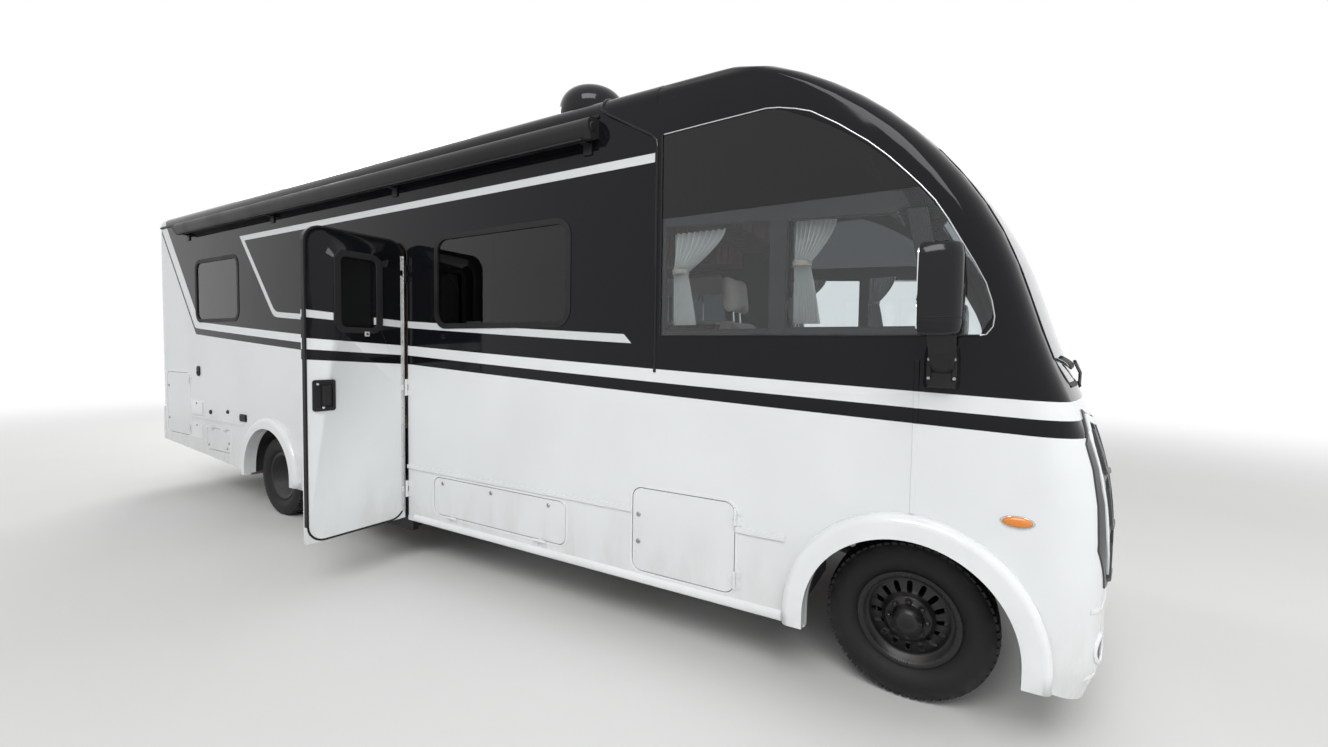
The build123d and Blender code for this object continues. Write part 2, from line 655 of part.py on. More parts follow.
def make_underside():
    """Engine, exhaust and tanks."""
    engine = block(-720, 380, -280, 280, 450, 1130) + block(-1450, -720, -150, 150, 400, 720)
    keep("engine_block", engine)
    path = FilletPolyline(
        (-720, -225, 500), (REAR_AXLE - 315, -225, 500), (REAR_AXLE - 575, -225, 350),
        (REAR_AXLE - 575, -INSIDE, 350), radius=110)
    pipe = sweep(Plane(origin=path @ 0, z_dir=path % 0) * Circle(32), path)
    pipe += rod((REAR_AXLE + 685, -225, 500), (REAR_AXLE + 1185, -225, 500), 72)
    keep("exhaust", pipe)
    keep("tanks", block(-3180, -1800, 70, 370, 440, RAIL_TOP - SEAT_GAP))
    keep("tanks", block(REAR_AXLE - 1665, REAR_AXLE - 665, -140, 370, 560, RAIL_TOP - SEAT_GAP))
    keep("tanks", block(REAR_AXLE + 595, DOOR_HINGE_X - 740, 620, INSIDE - 30, 430, RAIL_TOP - SEAT_GAP))


def make_floor():
    """Floor with the holes for the engine, the step well and the tall compartment."""
    reach = INSIDE - SEAT_GAP
    floor = block(REAR_INSIDE + SEAT_GAP, 430, -reach, reach, FLOOR_LOW, FLOOR_Z)
    floor -= block(-790, 500, -330, 330, 0, FLOOR_Z + 100)
    front = DOOR_HINGE_X - EDGE_FROM_PIN
    rear = front - DOOR_WIDTH
    floor -= block(rear, front, -HALF, -INSIDE + STEP_DEPTH * STEP_COUNT, 0, FLOOR_Z + 100)
    _name, _side, x0, x1, _z0, _z1, _edge = BAGGAGE_ROWS[3]
    spare = TUB_MARGIN + SEAT_GAP
    floor -= block(x0 - 60, x1 + spare, -HALF, -TUB_INNER + SEAT_GAP, 0, FLOOR_Z + 100)
    keep("floor", floor)


def make_entry_step():
    """Step well behind the entry door, with its sill below the skirt."""
    front = DOOR_HINGE_X - EDGE_FROM_PIN - SEAT_GAP
    rear = front - DOOR_WIDTH + 2 * SEAT_GAP
    outer = -INSIDE
    rise = (FLOOR_Z - STEP_LOW) / (STEP_COUNT + 1)
    well = block(rear, front, -HALF, outer + STEP_DEPTH, STEP_LOW, STEP_LOW + STEP_SKIN)
    for step in range(STEP_COUNT):
        nose_y = outer + STEP_DEPTH * (step + 1)
        z = STEP_LOW + rise * (step + 1)
        well += block(rear, front, nose_y - STEP_SKIN, nose_y, z - rise, z)
        if step + 1 < STEP_COUNT:
            well += block(rear, front, nose_y - STEP_SKIN, nose_y + STEP_DEPTH, z - STEP_SKIN, z)
    inner = outer + STEP_DEPTH * STEP_COUNT
    top_riser = STEP_LOW + rise * STEP_COUNT
    well += block(rear, front, inner - STEP_SKIN, inner, top_riser - STEP_SKIN, FLOOR_Z)
    for x in (rear, front - STEP_SKIN):
        for step in range(STEP_COUNT):
            y0 = outer + STEP_DEPTH * step
            z0 = STEP_LOW + rise * step
            well += block(x, x + STEP_SKIN, y0, y0 + STEP_DEPTH, z0, FLOOR_LOW - 2 * step)
    well += block(rear, front, -HALF, outer, STEP_LOW, DOOR_LOW - MOVE_GAP)
    well += block(rear - 60, front + 60, -HALF, outer, STEP_LOW, SKIRT_Z)
    keep("entry_step", well)


def make_tubs():
    """Compartment tubs behind the baggage doors, hung from the floor."""
    for name, side, x0, x1, z0, z1, _edge in BAGGAGE_ROWS:
        out_y = side * (INSIDE - SEAT_GAP)
        in_y = side * TUB_INNER
        top = z1 + TUB_MARGIN if name == "tall_door" else FLOOR_LOW
        rear = max(x0 - TUB_MARGIN, REAR_INSIDE + SEAT_GAP)
        tub = block(rear, x1 + TUB_MARGIN, out_y, in_y, z0 - TUB_MARGIN, top)
        skin = TUB_SKIN
        tub -= block(rear + skin, x1 + TUB_MARGIN - skin, side * (INSIDE + 50), in_y + side * skin,
                     z0 - TUB_MARGIN + skin, top - skin)
        keep("baggage_tubs", tub)


def hinge_parts(plane, spans):
    """Body half and door half of a hinge on a plane whose z runs along the pin.

    The plane's +x points to the fixed panel and its +y into the vehicle.
    """
    body = None
    door = None
    for start, end in spans:
        third = (end - start) / 3
        pin = plane * Pos(0, 0, (start + end) / 2) * Cylinder(PIN_RADIUS, end - start)
        body = pin if body is None else body + pin
        for low in (start, end - third):
            lug = Pos(0, 0, low + third / 2) * Cylinder(BARREL_RADIUS, third)
            leaf = Pos(LEAF_LONG / 2, HINGE_OUT - LEAF_THICK / 2 - 0.5, low + third / 2)
            lug += leaf * Box(LEAF_LONG, LEAF_THICK + 1, third)
            body += plane * lug
        gap = 1.0
        barrel = Cylinder(BARREL_RADIUS, third - 2 * gap)
        leaf = Box(LEAF_LONG, LEAF_THICK + 1, third - 2 * gap)
        barrel += Pos(-LEAF_LONG / 2, HINGE_OUT - LEAF_THICK / 2 - 0.5, 0) * leaf
        barrel -= Cylinder(PIN_RADIUS + PIN_GAP, third)
        placed = plane * Pos(0, 0, (start + end) / 2) * barrel
        door = placed if door is None else door + placed
    return body, door


def make_entry_door():
    """Entry door standing open, with its window and hinge."""
    panel = slab(door_outline(0), -HALF, -INSIDE)
    front = DOOR_HINGE_X - EDGE_FROM_PIN
    glass = (front - 465, front - 222, 1729.0, 2191.0)
    grow = 16.0
    frame = (glass[0] - grow, glass[1] + grow, glass[2] - grow, glass[3] + grow)
    panel -= slab(rounded(*frame, 45), -HALF - 10, -INSIDE + 10)
    ring = slab(rounded(frame[0] - 14, frame[1] + 14, frame[2] - 14, frame[3] + 14, 59), -HALF - 3, -HALF)
    ring += slab(rounded(*frame, 45), -HALF, -INSIDE)
    ring -= slab(rounded(*glass, 30), -HALF - 20, -INSIDE + 20)
    panel += ring
    tight = (glass[0] + SEAT_GAP, glass[1] - SEAT_GAP, glass[2] + SEAT_GAP, glass[3] - SEAT_GAP)
    pane = slab(rounded(*tight, 30), -HALF + 8, -HALF + 8 + GLASS_THICK)
    axis_y = -HALF - HINGE_OUT
    plane = Plane(origin=(DOOR_HINGE_X, axis_y, 0), x_dir=(1, 0, 0), z_dir=(0, 0, 1))
    body, barrel = hinge_parts(plane, ((500, 620), (1250, 1370), (2080, 2200)))
    swing = Axis((DOOR_HINGE_X, axis_y, 0), (0, 0, 1))
    keep("entry_door", (panel + barrel).rotate(swing, DOOR_OPEN))
    keep("entry_door_glass", pane.rotate(swing, DOOR_OPEN))
    return body


def make_baggage_doors():
    """Baggage doors shut in their openings, each with its hinge; returns the fixed halves."""
    fixed = {-1: [], 1: []}
    for name, side, x0, x1, z0, z1, edge in BAGGAGE_ROWS:
        gap = MOVE_GAP
        outline = rounded(x0 + gap, x1 - gap, z0 + gap, z1 - gap, BAGGAGE_ROUND - gap)
        door = slab(outline, panel_y(side, 0), panel_y(side, BAGGAGE_THICK))
        axis_y = side * (HALF + HINGE_OUT)
        inward = (0, -side, 0)
        if edge == "front":
            origin = (x1 + 1, axis_y, 0)
            outward = (1, 0, 0)
            spans = ((z0 + 40, z0 + 120), (z1 - 110, z1 - 30))
        elif edge == "low":
            origin = (0, axis_y, z0 - 1)
            outward = (0, 0, -1)
            spans = ((x0 + 150, x0 + 250), (x1 - 250, x1 - 150))
        else:
            origin = (0, axis_y, z1 + 1)
            outward = (0, 0, 1)
            spans = ((x0 + 100, x0 + 180), (x1 - 180, x1 - 100))
        along = Vector(*outward).cross(Vector(*inward))
        if along.X + along.Z < 0:
            spans = tuple((-b, -a) for a, b in spans)
        plane = Plane(origin=origin, x_dir=outward, z_dir=along)
        body, barrel = hinge_parts(plane, spans)
        keep(name, door + barrel)
        fixed[side].append(body)
    return fixed


def tyre_profile():
    """Half section of a tyre, radius against width, turned about its axle."""
    top = TYRE_DIA / 2
    wide = TYRE_WIDTH / 2
    line = [
        Line((RIM_RADIUS + 0.5, -BEAD_HALF), (RIM_RADIUS + 0.5, BEAD_HALF)),
        Line((RIM_RADIUS + 0.5, BEAD_HALF), (FLANGE_RADIUS + 4, BEAD_HALF)),
        ThreePointArc((FLANGE_RADIUS + 4, BEAD_HALF), (292, wide), (top - 22, wide - 16)),
        Line((top - 22, wide - 16), (top, wide - 38)),
        Line((top, wide - 38), (top, -wide + 38)),
        Line((top, -wide + 38), (top - 22, -wide + 16)),
        ThreePointArc((top - 22, -wide + 16), (292, -wide), (FLANGE_RADIUS + 4, -BEAD_HALF)),
        Line((FLANGE_RADIUS + 4, -BEAD_HALF), (RIM_RADIUS + 0.5, -BEAD_HALF)),
    ]
    return make_face(line)


def turned(sketch, x, y, side):
    """Radius against width section turned about a wheel's axle; width points outboard."""
    plane = Plane(origin=(x, y, AXLE_Z), x_dir=(0, 0, 1), z_dir=(-side, 0, 0))
    return revolve(plane * sketch, Axis((x, y, AXLE_Z), (0, 1, 0)), 360)


def barrel_profile():
    """Half section of a rim's barrel with its two flanges."""
    barrel = RIM_RADIUS - BARREL_THICK
    flange = BEAD_HALF + SEAT_GAP + FLANGE_THICK
    rim = Pos((barrel + RIM_RADIUS) / 2, 0) * Rectangle(BARREL_THICK, 2 * flange)
    for side in (-1, 1):
        y = side * (BEAD_HALF + SEAT_GAP + FLANGE_THICK / 2)
        rim += Pos((barrel + FLANGE_RADIUS) / 2, y) * Rectangle(FLANGE_RADIUS - barrel, FLANGE_THICK)
    return rim


def dished_profile(lean):
    """Half section of a twin wheel's rim, with a deep disc that ends between both wheels."""
    flat = lean * TWIN_PITCH / 2
    reach = RIM_RADIUS - BARREL_THICK + 4
    disc = Polyline(
        (62, flat), (112, flat), (185, flat - lean * 70), (reach, flat - lean * 70),
        (reach, flat - lean * 82), (180, flat - lean * 82), (108, flat - lean * DISC_THICK),
        (62, flat - lean * DISC_THICK), close=True)
    return barrel_profile() + make_face(disc)


def rim_profile(disc_y, hub_radius):
    """Half section of a front rim with its disc at a width from the middle plane."""
    rim = barrel_profile()
    barrel = RIM_RADIUS - BARREL_THICK
    crown = 26.0
    lean = math.copysign(1, disc_y)
    disc = Polyline(
        (hub_radius, disc_y), (95, disc_y), (120, disc_y - lean * crown),
        (barrel + 4, disc_y - lean * (crown + 20)), (barrel + 4, disc_y - lean * (crown + 32)),
        (116, disc_y - lean * (crown + 12)), (91, disc_y - lean * 12),
        (hub_radius, disc_y - lean * 12), close=True)
    return rim + make_face(disc)


def slots(x, y):
    """Ring of slots through a wheel disc."""
    cutters = []
    for turn in range(SLOT_COUNT):
        angle = 360 * turn / SLOT_COUNT
        shape = SlotOverall(52, 24)
        plane = Plane(origin=(x, y, AXLE_Z), x_dir=(0, 0, 1), z_dir=(0, 1, 0))
        cutters.append(extrude(plane * Rot(0, 0, angle) * Pos(SLOT_RING, 0) * shape, 75, both=True))
    return cutters


def make_wheels():
    """Front wheels on their knuckles and twin rear wheels on their hubs."""
    for side, label in ((1, "left"), (-1, "right")):
        wheel_y = side * FRONT_WHEEL_Y
        keep("front_" + label + "_tyre", turned(tyre_profile(), 0, wheel_y, side))
        rim = turned(rim_profile(70, SPINDLE_RADIUS + PIN_GAP), 0, wheel_y, side)
        rim -= slots(0, wheel_y + side * 40)
        bore = SPINDLE_RADIUS + PIN_GAP
        hub = Polyline(
            (bore, -50), (75, -50), (75, 60), (62, 90), (62, 118), (0, 118), (0, 106), (bore, 106),
            close=True)
        rim += turned(make_face(hub), 0, wheel_y, side)
        disc = Polyline((74, -46), (150, -46), (150, -24), (74, -24), close=True)
        rim += turned(make_face(disc), 0, wheel_y, side)
        keep("front_" + label + "_rim", rim)
        tyres = []
        rims = None
        middle = REAR_OUTER_Y - TWIN_PITCH / 2
        for row, lean in ((0, -1), (1, 1)):
            y = side * (REAR_OUTER_Y - TWIN_PITCH * row)
            tyres.append(turned(tyre_profile(), REAR_AXLE, y, side))
            one = turned(dished_profile(lean), REAR_AXLE, y, side)
            if row == 0:
                one -= slots(REAR_AXLE, y - side * 100)
            rims = one if rims is None else rims + one
        keep("rear_" + label + "_tyres", *tyres)
        bore = REAR_TUBE_RADIUS + PIN_GAP
        drum = Polyline(
            (bore, middle - 240), (150, middle - 240), (150, middle - 62), (96, middle - 62),
            (96, middle - 6), (70, middle - 6), (70, middle + 70), (48, middle + 100), (0, middle + 100),
            (0, middle + 88), (bore, middle + 88), close=True)
        rims += turned(make_face(drum), REAR_AXLE, 0, side)
        keep("rear_" + label + "_rims", rims)


def make_knuckles():
    """Steering knuckles with fork, spindle and arm, and the tie rod between them."""
    reach = 42.5
    for side, label in ((1, "left"), (-1, "right")):
        y = side * KINGPIN_Y
        knuckle = None
        for level in (-1, 1):
            plate_z = AXLE_Z + level * reach
            plate = Pos(0, y, plate_z) * Cylinder(34, 20)
            plate += block(-28, 28, y, y + side * 62, plate_z - 10, plate_z + 10)
            knuckle = plate if knuckle is None else knuckle + plate
        knuckle += block(-28, 28, y + side * 42, y + side * 62, AXLE_Z - reach - 10, AXLE_Z + reach + 10)
        tip = FRONT_WHEEL_Y + 100
        knuckle += rod((0, y + side * 60, AXLE_Z), (0, side * tip, AXLE_Z), SPINDLE_RADIUS)
        knuckle -= Pos(0, y, AXLE_Z) * Cylinder(KINGPIN_RADIUS + PIN_GAP, 200)
        arm_z = AXLE_Z - reach
        knuckle += block(-STEER_ARM, -25, y - 9, y + 9, arm_z - 10, arm_z + 10)
        knuckle += Pos(-STEER_ARM, y, arm_z - 18) * Cylinder(8, 44)
        keep(label + "_knuckle", knuckle)
    rod_z = AXLE_Z - reach - 26
    tie = rod((-STEER_ARM, -KINGPIN_Y + 12, rod_z), (-STEER_ARM, KINGPIN_Y - 12, rod_z), ROD_RADIUS)
    for side in (-1, 1):
        tie += Pos(-STEER_ARM, side * KINGPIN_Y, rod_z) * Cylinder(15, 26)
        bore = 8 + PIN_GAP if side > 0 else 8 + 1
        tie -= Pos(-STEER_ARM, side * KINGPIN_Y, rod_z) * Cylinder(bore, 60)
    keep("tie_rod", tie)


def make_roof_fittings():
    """Air unit, vents and aerial dome on the roof, and the awning case on the right wall."""
    unit = block(REAR_AXLE + 435, REAR_AXLE + 1285, -360, 360, ROOF_Z, ROOF_Z + 270)
    unit = fillet(unit.edges().filter_by(Axis.Z), 90)
    unit = fillet(unit.faces().sort_by(Axis.Z)[-1].edges(), 60)
    keep("roof_air_unit", unit)
    for x in (-3100, REAR_AXLE - 1215):
        lid = block(x - 200, x + 200, -200, 200, ROOF_Z, ROOF_Z + 110)
        lid = fillet(lid.edges().filter_by(Axis.Z), 50)
        keep("roof_vents", chamfer(lid.faces().sort_by(Axis.Z)[-1].edges(), 30))
    dome = Pos(DOME_X, DOME_Y, ROOF_Z + 120) * Cylinder(210, 240)
    keep("aerial_dome", fillet(dome.faces().sort_by(Axis.Z)[-1].edges(), 130))
    low = AWNING_TOP - AWNING_HIGH
    out = -HALF - AWNING_DEEP
    roll = AWNING_ROLL
    mid = Vector(out + roll, AWNING_TOP - 4 - roll)
    crown = mid + Vector(0, roll)
    chin = mid + Vector(-roll, 0).rotate(Axis.Z, 35)
    section = [
        Line((-HALF, low + 20), (-HALF, AWNING_TOP)),
        Line((-HALF, AWNING_TOP), crown),
        ThreePointArc(crown, mid - Vector(roll, 0), chin),
        Polyline(chin, (out + 22, low + 10), (out + 30, low), (out + 60, low), (-HALF, low + 20)),
    ]
    keep("awning_case", front_slab(make_face(section), AWNING_REAR, AWNING_FRONT))


def make_mirrors():
    """Outside mirrors on their pedestals."""
    for side in (-1, 1):
        outer = HALF + MIRROR_REACH
        plan = [(MIRROR_X + ahead, side * (outer - inward)) for ahead, inward in MIRROR_PLAN]
        housing = extrude(Plane.XY.offset(MIRROR_LOW) * make_face(Polyline(*plan, close=True)), MIRROR_HIGH)
        housing = fillet(housing.edges().filter_by(Axis.Z), 16)
        housing = fillet(housing.faces().sort_by(Axis.Z)[-1].edges(), 15)
        housing = fillet(housing.faces().sort_by(Axis.Z)[0].edges(), 15)
        foot = block(MIRROR_X - 35, MIRROR_X + 45, side * HALF, side * (HALF + 34), 1465, 1640)
        foot += block(MIRROR_X - 25, MIRROR_X + 30, side * HALF, side * (outer - 70), 1590, 1640)
        post_y = (side * (outer - 150), side * (outer - 70))
        foot += block(MIRROR_X - 25, MIRROR_X + 30, *post_y, 1590, MIRROR_LOW + 60)
        keep("mirrors", housing + foot)


def make_side_fittings():
    """Hatches, filler caps and marker lamps on the sides."""
    for x0, x1, z0, z1, proud in HATCH_ROWS:
        cover = slab(rounded(x0, x1, z0, z1, HATCH_ROUND), -HALF - proud, -HALF)
        keep("service_hatches", chamfer(cover.faces().sort_by(Axis.Y)[0].edges(), 3))
    for x, z, radius in CAP_ROWS:
        filler = slab(Pos(x, z) * Circle(radius), -HALF - CAP_PROUD, -HALF)
        keep("service_hatches", chamfer(filler.faces().sort_by(Axis.Y)[0].edges(), 4))
    for side in (-1, 1):
        outer = side * (HALF + MARKER_PROUD)
        for x, z, long, high in MARKER_ROWS:
            lens = slab(Pos(x, z) * Ellipse(long, high), side * HALF, outer)
            face = min(lens.faces(), key=lambda face: abs(face.center().Y - outer))
            keep("marker_lamps", chamfer(face.edges(), 4))


def make_rear_fittings():
    """Rear bumper and tail lamps."""
    bumper = block(TAIL - 62, TAIL, -HALF, HALF, 500, 880)
    edges = bumper.faces().sort_by(Axis.X)[0].edges()
    bumper = fillet(edges, 30)
    keep("rear_bumper", bumper)
    for side in (-1, 1):
        lamp = block(TAIL - 16, TAIL, side * (HALF - 190), side * (HALF - 70), 960, 1330)
        keep("tail_lamps", fillet(lamp.faces().sort_by(Axis.X)[0].edges(), 10))


def make_cab():
    """Dashboard with the engine cover, steering wheel and the two seats."""
    line = Polyline(
        (60, FLOOR_Z), (425, FLOOR_Z), (560, 1300), (430, 1420), (30, 1370), (-30, 1250), (60, 1180),
        close=True)
    dash = slab(make_face(line), -INSIDE + 230, INSIDE - 230)
    dash -= block(-100, 430, -330, 330, FLOOR_Z - 50, 1155)
    cover = block(-810, 60, -345, 345, FLOOR_Z, 1170) - block(-798, 80, -333, 333, FLOOR_Z - 50, 1158)
    tilt = 35.0
    hub = Vector(-235, SEAT_Y - 40, 1460)
    plane = Plane(origin=hub, z_dir=(-math.cos(math.radians(tilt)), 0, math.sin(math.radians(tilt))))
    wheel = plane * Torus(195, 15)
    wheel += plane * Pos(0, 0, -12) * Cylinder(52, 36)
    for turn in (90, 210, 330):
        wheel += plane * Rot(0, 0, turn) * Pos(100, 0, -4) * Box(180, 30, 12)
    keep("steering_wheel", wheel)
    keep("dashboard", dash + cover + plane * Pos(0, 0, -190) * Cylinder(30, 320))
    for side in (-1, 1):
        y = side * SEAT_Y
        seat = block(-880, -600, y - 150, y + 150, FLOOR_Z, 1200)
        cushion = fillet(block(-1000, -480, y - 240, y + 240, 1200, 1350).edges(), 30)
        back_line = Polyline((-1010, 1260), (-880, 1260), (-980, 2060), (-1090, 2060), close=True)
        back = fillet(slab(make_face(back_line), y - 235, y + 235).edges(), 35)
        keep("cab_seats", seat + cushion + back)


def make_furniture():
    """Galley, cupboards, sofa and bed bases, and the cushions on them."""
    reach = INSIDE - 1
    roof_low = ROOF_Z - ROOF_SKIN
    high_reach = INSIDE - ROOF_CLEAR
    bed_reach = INSIDE - BED_CLEAR
    bed_rear = REAR_INSIDE + 17
    bed_front = REAR_AXLE - 515
    keep("furniture", block(-3300, -1700, 560, reach, FLOOR_Z, 1840))
    cupboard = block(-4300, -1700, 820, reach, 2400, roof_low - 90)
    keep("furniture", cupboard + block(-4300, -1700, 820, high_reach, 2500, roof_low))
    keep("furniture", block(-1640, -1290, -high_reach, high_reach, 2520, roof_low))
    keep("furniture", block(-3040, -1760, -reach, -600, FLOOR_Z, 1290))
    wall = block(-4640, -4610, -bed_reach, reach, FLOOR_Z, 2700)
    wall -= block(-4700, -4500, -300, 330, FLOOR_Z - 10, 2600)
    keep("furniture", wall + block(-4640, -4610, -high_reach, high_reach, 2600, roof_low))
    keep("furniture", block(bed_rear, bed_front, -520, bed_reach - 20, FLOOR_Z, 1390))
    for x0, x1, y0, y1, z0, z1 in (
            (-3040, -1760, -reach + 129, -590, 1290, 1430),
            (-3040, -1760, -reach + 1, -reach + 127, 1290, 1730),
            (bed_rear, bed_front + 20, -540, bed_reach, 1390, 1590)):
        cushion = block(x0, x1, y0, y1, z0, z1)
        keep("cushions", fillet(cushion.edges(), 28))


make_front_cap()
make_front_glass()
make_lamps()
make_fog_lamps()
make_roof()
make_rear_wall()
make_side(-1)
make_side(1)
make_windows()
make_arches()
make_frame()
make_receiver()
make_axles()
make_underside()
make_floor()
make_entry_step()
make_tubs()
entry_hinge = make_entry_door()
fixed_hinges = make_baggage_doors()
make_wheels()
make_knuckles()
make_roof_fittings()
make_mirrors()
make_side_fittings()
make_rear_fittings()
make_cab()
make_furniture()

# The fixed half of each hinge belongs to the panel that it is screwed to
fixed_hinges[-1].append(entry_hinge)
for side, label in ((-1, "right"), (1, "left")):
    for body in fixed_hinges[side]:
        for piece in body.solids():
            node = label + ("_wall" if piece.center().Z > SPLIT_Z else "_skirt")
            solids = made[node]
            near = min(solids, key=lambda solid: solid.distance_to(piece))
            solids[solids.index(near)] = near + piece

for name, solids in made.items():
    placed = [solid.moved(Location(ORIGIN)) for part in solids for solid in part.solids()]
    export_step(placed[0] if len(placed) == 1 else Compound(placed), "parts/" + name + ".step")
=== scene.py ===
"""Motorhome: paint, trim, glass, wheels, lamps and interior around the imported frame.

Lengths are metres. Points are given in vehicle coordinates: x runs ahead of the front axle, y to the
vehicle's left and z up from the ground. ORIGIN carries them into the frame.
"""

from __future__ import annotations

import json
import logging
import math
from collections.abc import Sequence
from dataclasses import dataclass, field
from enum import Enum

import bmesh
import bpy
from mathutils import Matrix, Vector
from mathutils.bvhtree import BVHTree

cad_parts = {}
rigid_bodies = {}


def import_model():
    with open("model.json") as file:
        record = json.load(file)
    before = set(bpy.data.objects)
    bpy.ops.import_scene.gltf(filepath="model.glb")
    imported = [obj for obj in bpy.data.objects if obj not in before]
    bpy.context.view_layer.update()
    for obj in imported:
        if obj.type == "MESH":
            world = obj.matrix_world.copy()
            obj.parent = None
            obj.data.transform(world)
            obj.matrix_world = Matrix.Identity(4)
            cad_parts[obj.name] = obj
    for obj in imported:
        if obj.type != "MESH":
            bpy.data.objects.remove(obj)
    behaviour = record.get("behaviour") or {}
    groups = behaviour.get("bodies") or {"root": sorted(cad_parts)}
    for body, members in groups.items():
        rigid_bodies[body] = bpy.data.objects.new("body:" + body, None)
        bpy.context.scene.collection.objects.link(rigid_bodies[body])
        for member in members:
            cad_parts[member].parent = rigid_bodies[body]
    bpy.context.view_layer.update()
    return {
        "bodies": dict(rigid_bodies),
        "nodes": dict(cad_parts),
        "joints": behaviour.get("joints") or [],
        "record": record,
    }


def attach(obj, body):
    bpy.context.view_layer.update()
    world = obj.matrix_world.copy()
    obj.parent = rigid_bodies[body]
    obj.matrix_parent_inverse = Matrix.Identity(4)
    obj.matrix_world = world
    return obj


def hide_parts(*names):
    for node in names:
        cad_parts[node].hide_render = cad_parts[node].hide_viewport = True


LOG = logging.getLogger("motorhome")

ORIGIN = Vector((3.565, 0.191, 0.0))
REAR_AXLE = -5.385
HALF = 1.19
TAIL = -7.867
AXLE_Z = 0.372
ROOF_Z = 3.03
SAME_PLACE = 1e-6
SAME_CORNER = 2e-5

Point = tuple[float, float, float]
Point2 = tuple[float, float]
Colour = tuple[float, float, float]


class Side(Enum):
    """The two sides of the vehicle, as the sign of y."""

    RIGHT = -1.0
    LEFT = 1.0

    @property
    def label(self) -> str:
        """The side as it stands in the names of pieces."""
        return self.name.lower()


class Axis(Enum):
    """Axes that a profile is turned about or pushed along."""

    X = 0
    Y = 1
    Z = 2


# Node arithmetic


class Field:
    """A value that varies over a surface, with plain arithmetic that builds Math nodes."""

    def __init__(self, tree: bpy.types.NodeTree, socket: bpy.types.NodeSocket) -> None:
        """Wrap an output socket of a tree."""
        self.tree = tree
        self.socket = socket

    def apply(self, operation: str, *others: Field | float) -> Field:
        """Return a Math node's result.

        Args:
            operation: Name of the Math node's operation.
            others: The second and third values, as fields or numbers.

        Returns:
            The node's output as a field.
        """
        node = self.tree.nodes.new("ShaderNodeMath")
        node.operation = operation
        self.tree.links.new(self.socket, node.inputs[0])
        for place, other in enumerate(others, start=1):
            if isinstance(other, Field):
                self.tree.links.new(other.socket, node.inputs[place])
            else:
                node.inputs[place].default_value = other
        return Field(self.tree, node.outputs[0])

    def __add__(self, other: Field | float) -> Field:
        """Sum."""
        return self.apply("ADD", other)

    def __sub__(self, other: Field | float) -> Field:
        """Difference."""
        return self.apply("SUBTRACT", other)

    def __mul__(self, other: Field | float) -> Field:
        """Product."""
        return self.apply("MULTIPLY", other)

    def above(self, other: Field | float) -> Field:
        """1 where this is greater than the other, and 0 elsewhere."""
        return self.apply("GREATER_THAN", other)

    def below(self, other: Field | float) -> Field:
        """1 where this is less than the other, and 0 elsewhere."""
        return self.apply("LESS_THAN", other)

    def lowest(self, other: Field | float) -> Field:
        """Lesser of two values."""
        return self.apply("MINIMUM", other)

    def highest(self, other: Field | float) -> Field:
        """Greater of two values."""
        return self.apply("MAXIMUM", other)

    def flip(self) -> Field:
        """One minus this."""
        return (self * -1.0) + 1.0

    def between(self, low: float, high: float) -> Field:
        """1 where this lies between two numbers."""
        return self.above(low) * self.below(high)

    def ramp(self, low: float, high: float) -> Field:
        """Smooth rise from 0 at one value to 1 at another."""
        node = self.tree.nodes.new("ShaderNodeMapRange")
        node.interpolation_type = "SMOOTHSTEP"
        self.tree.links.new(self.socket, node.inputs["Value"])
        node.inputs["From Min"].default_value = low
        node.inputs["From Max"].default_value = high
        return Field(self.tree, node.outputs["Result"])


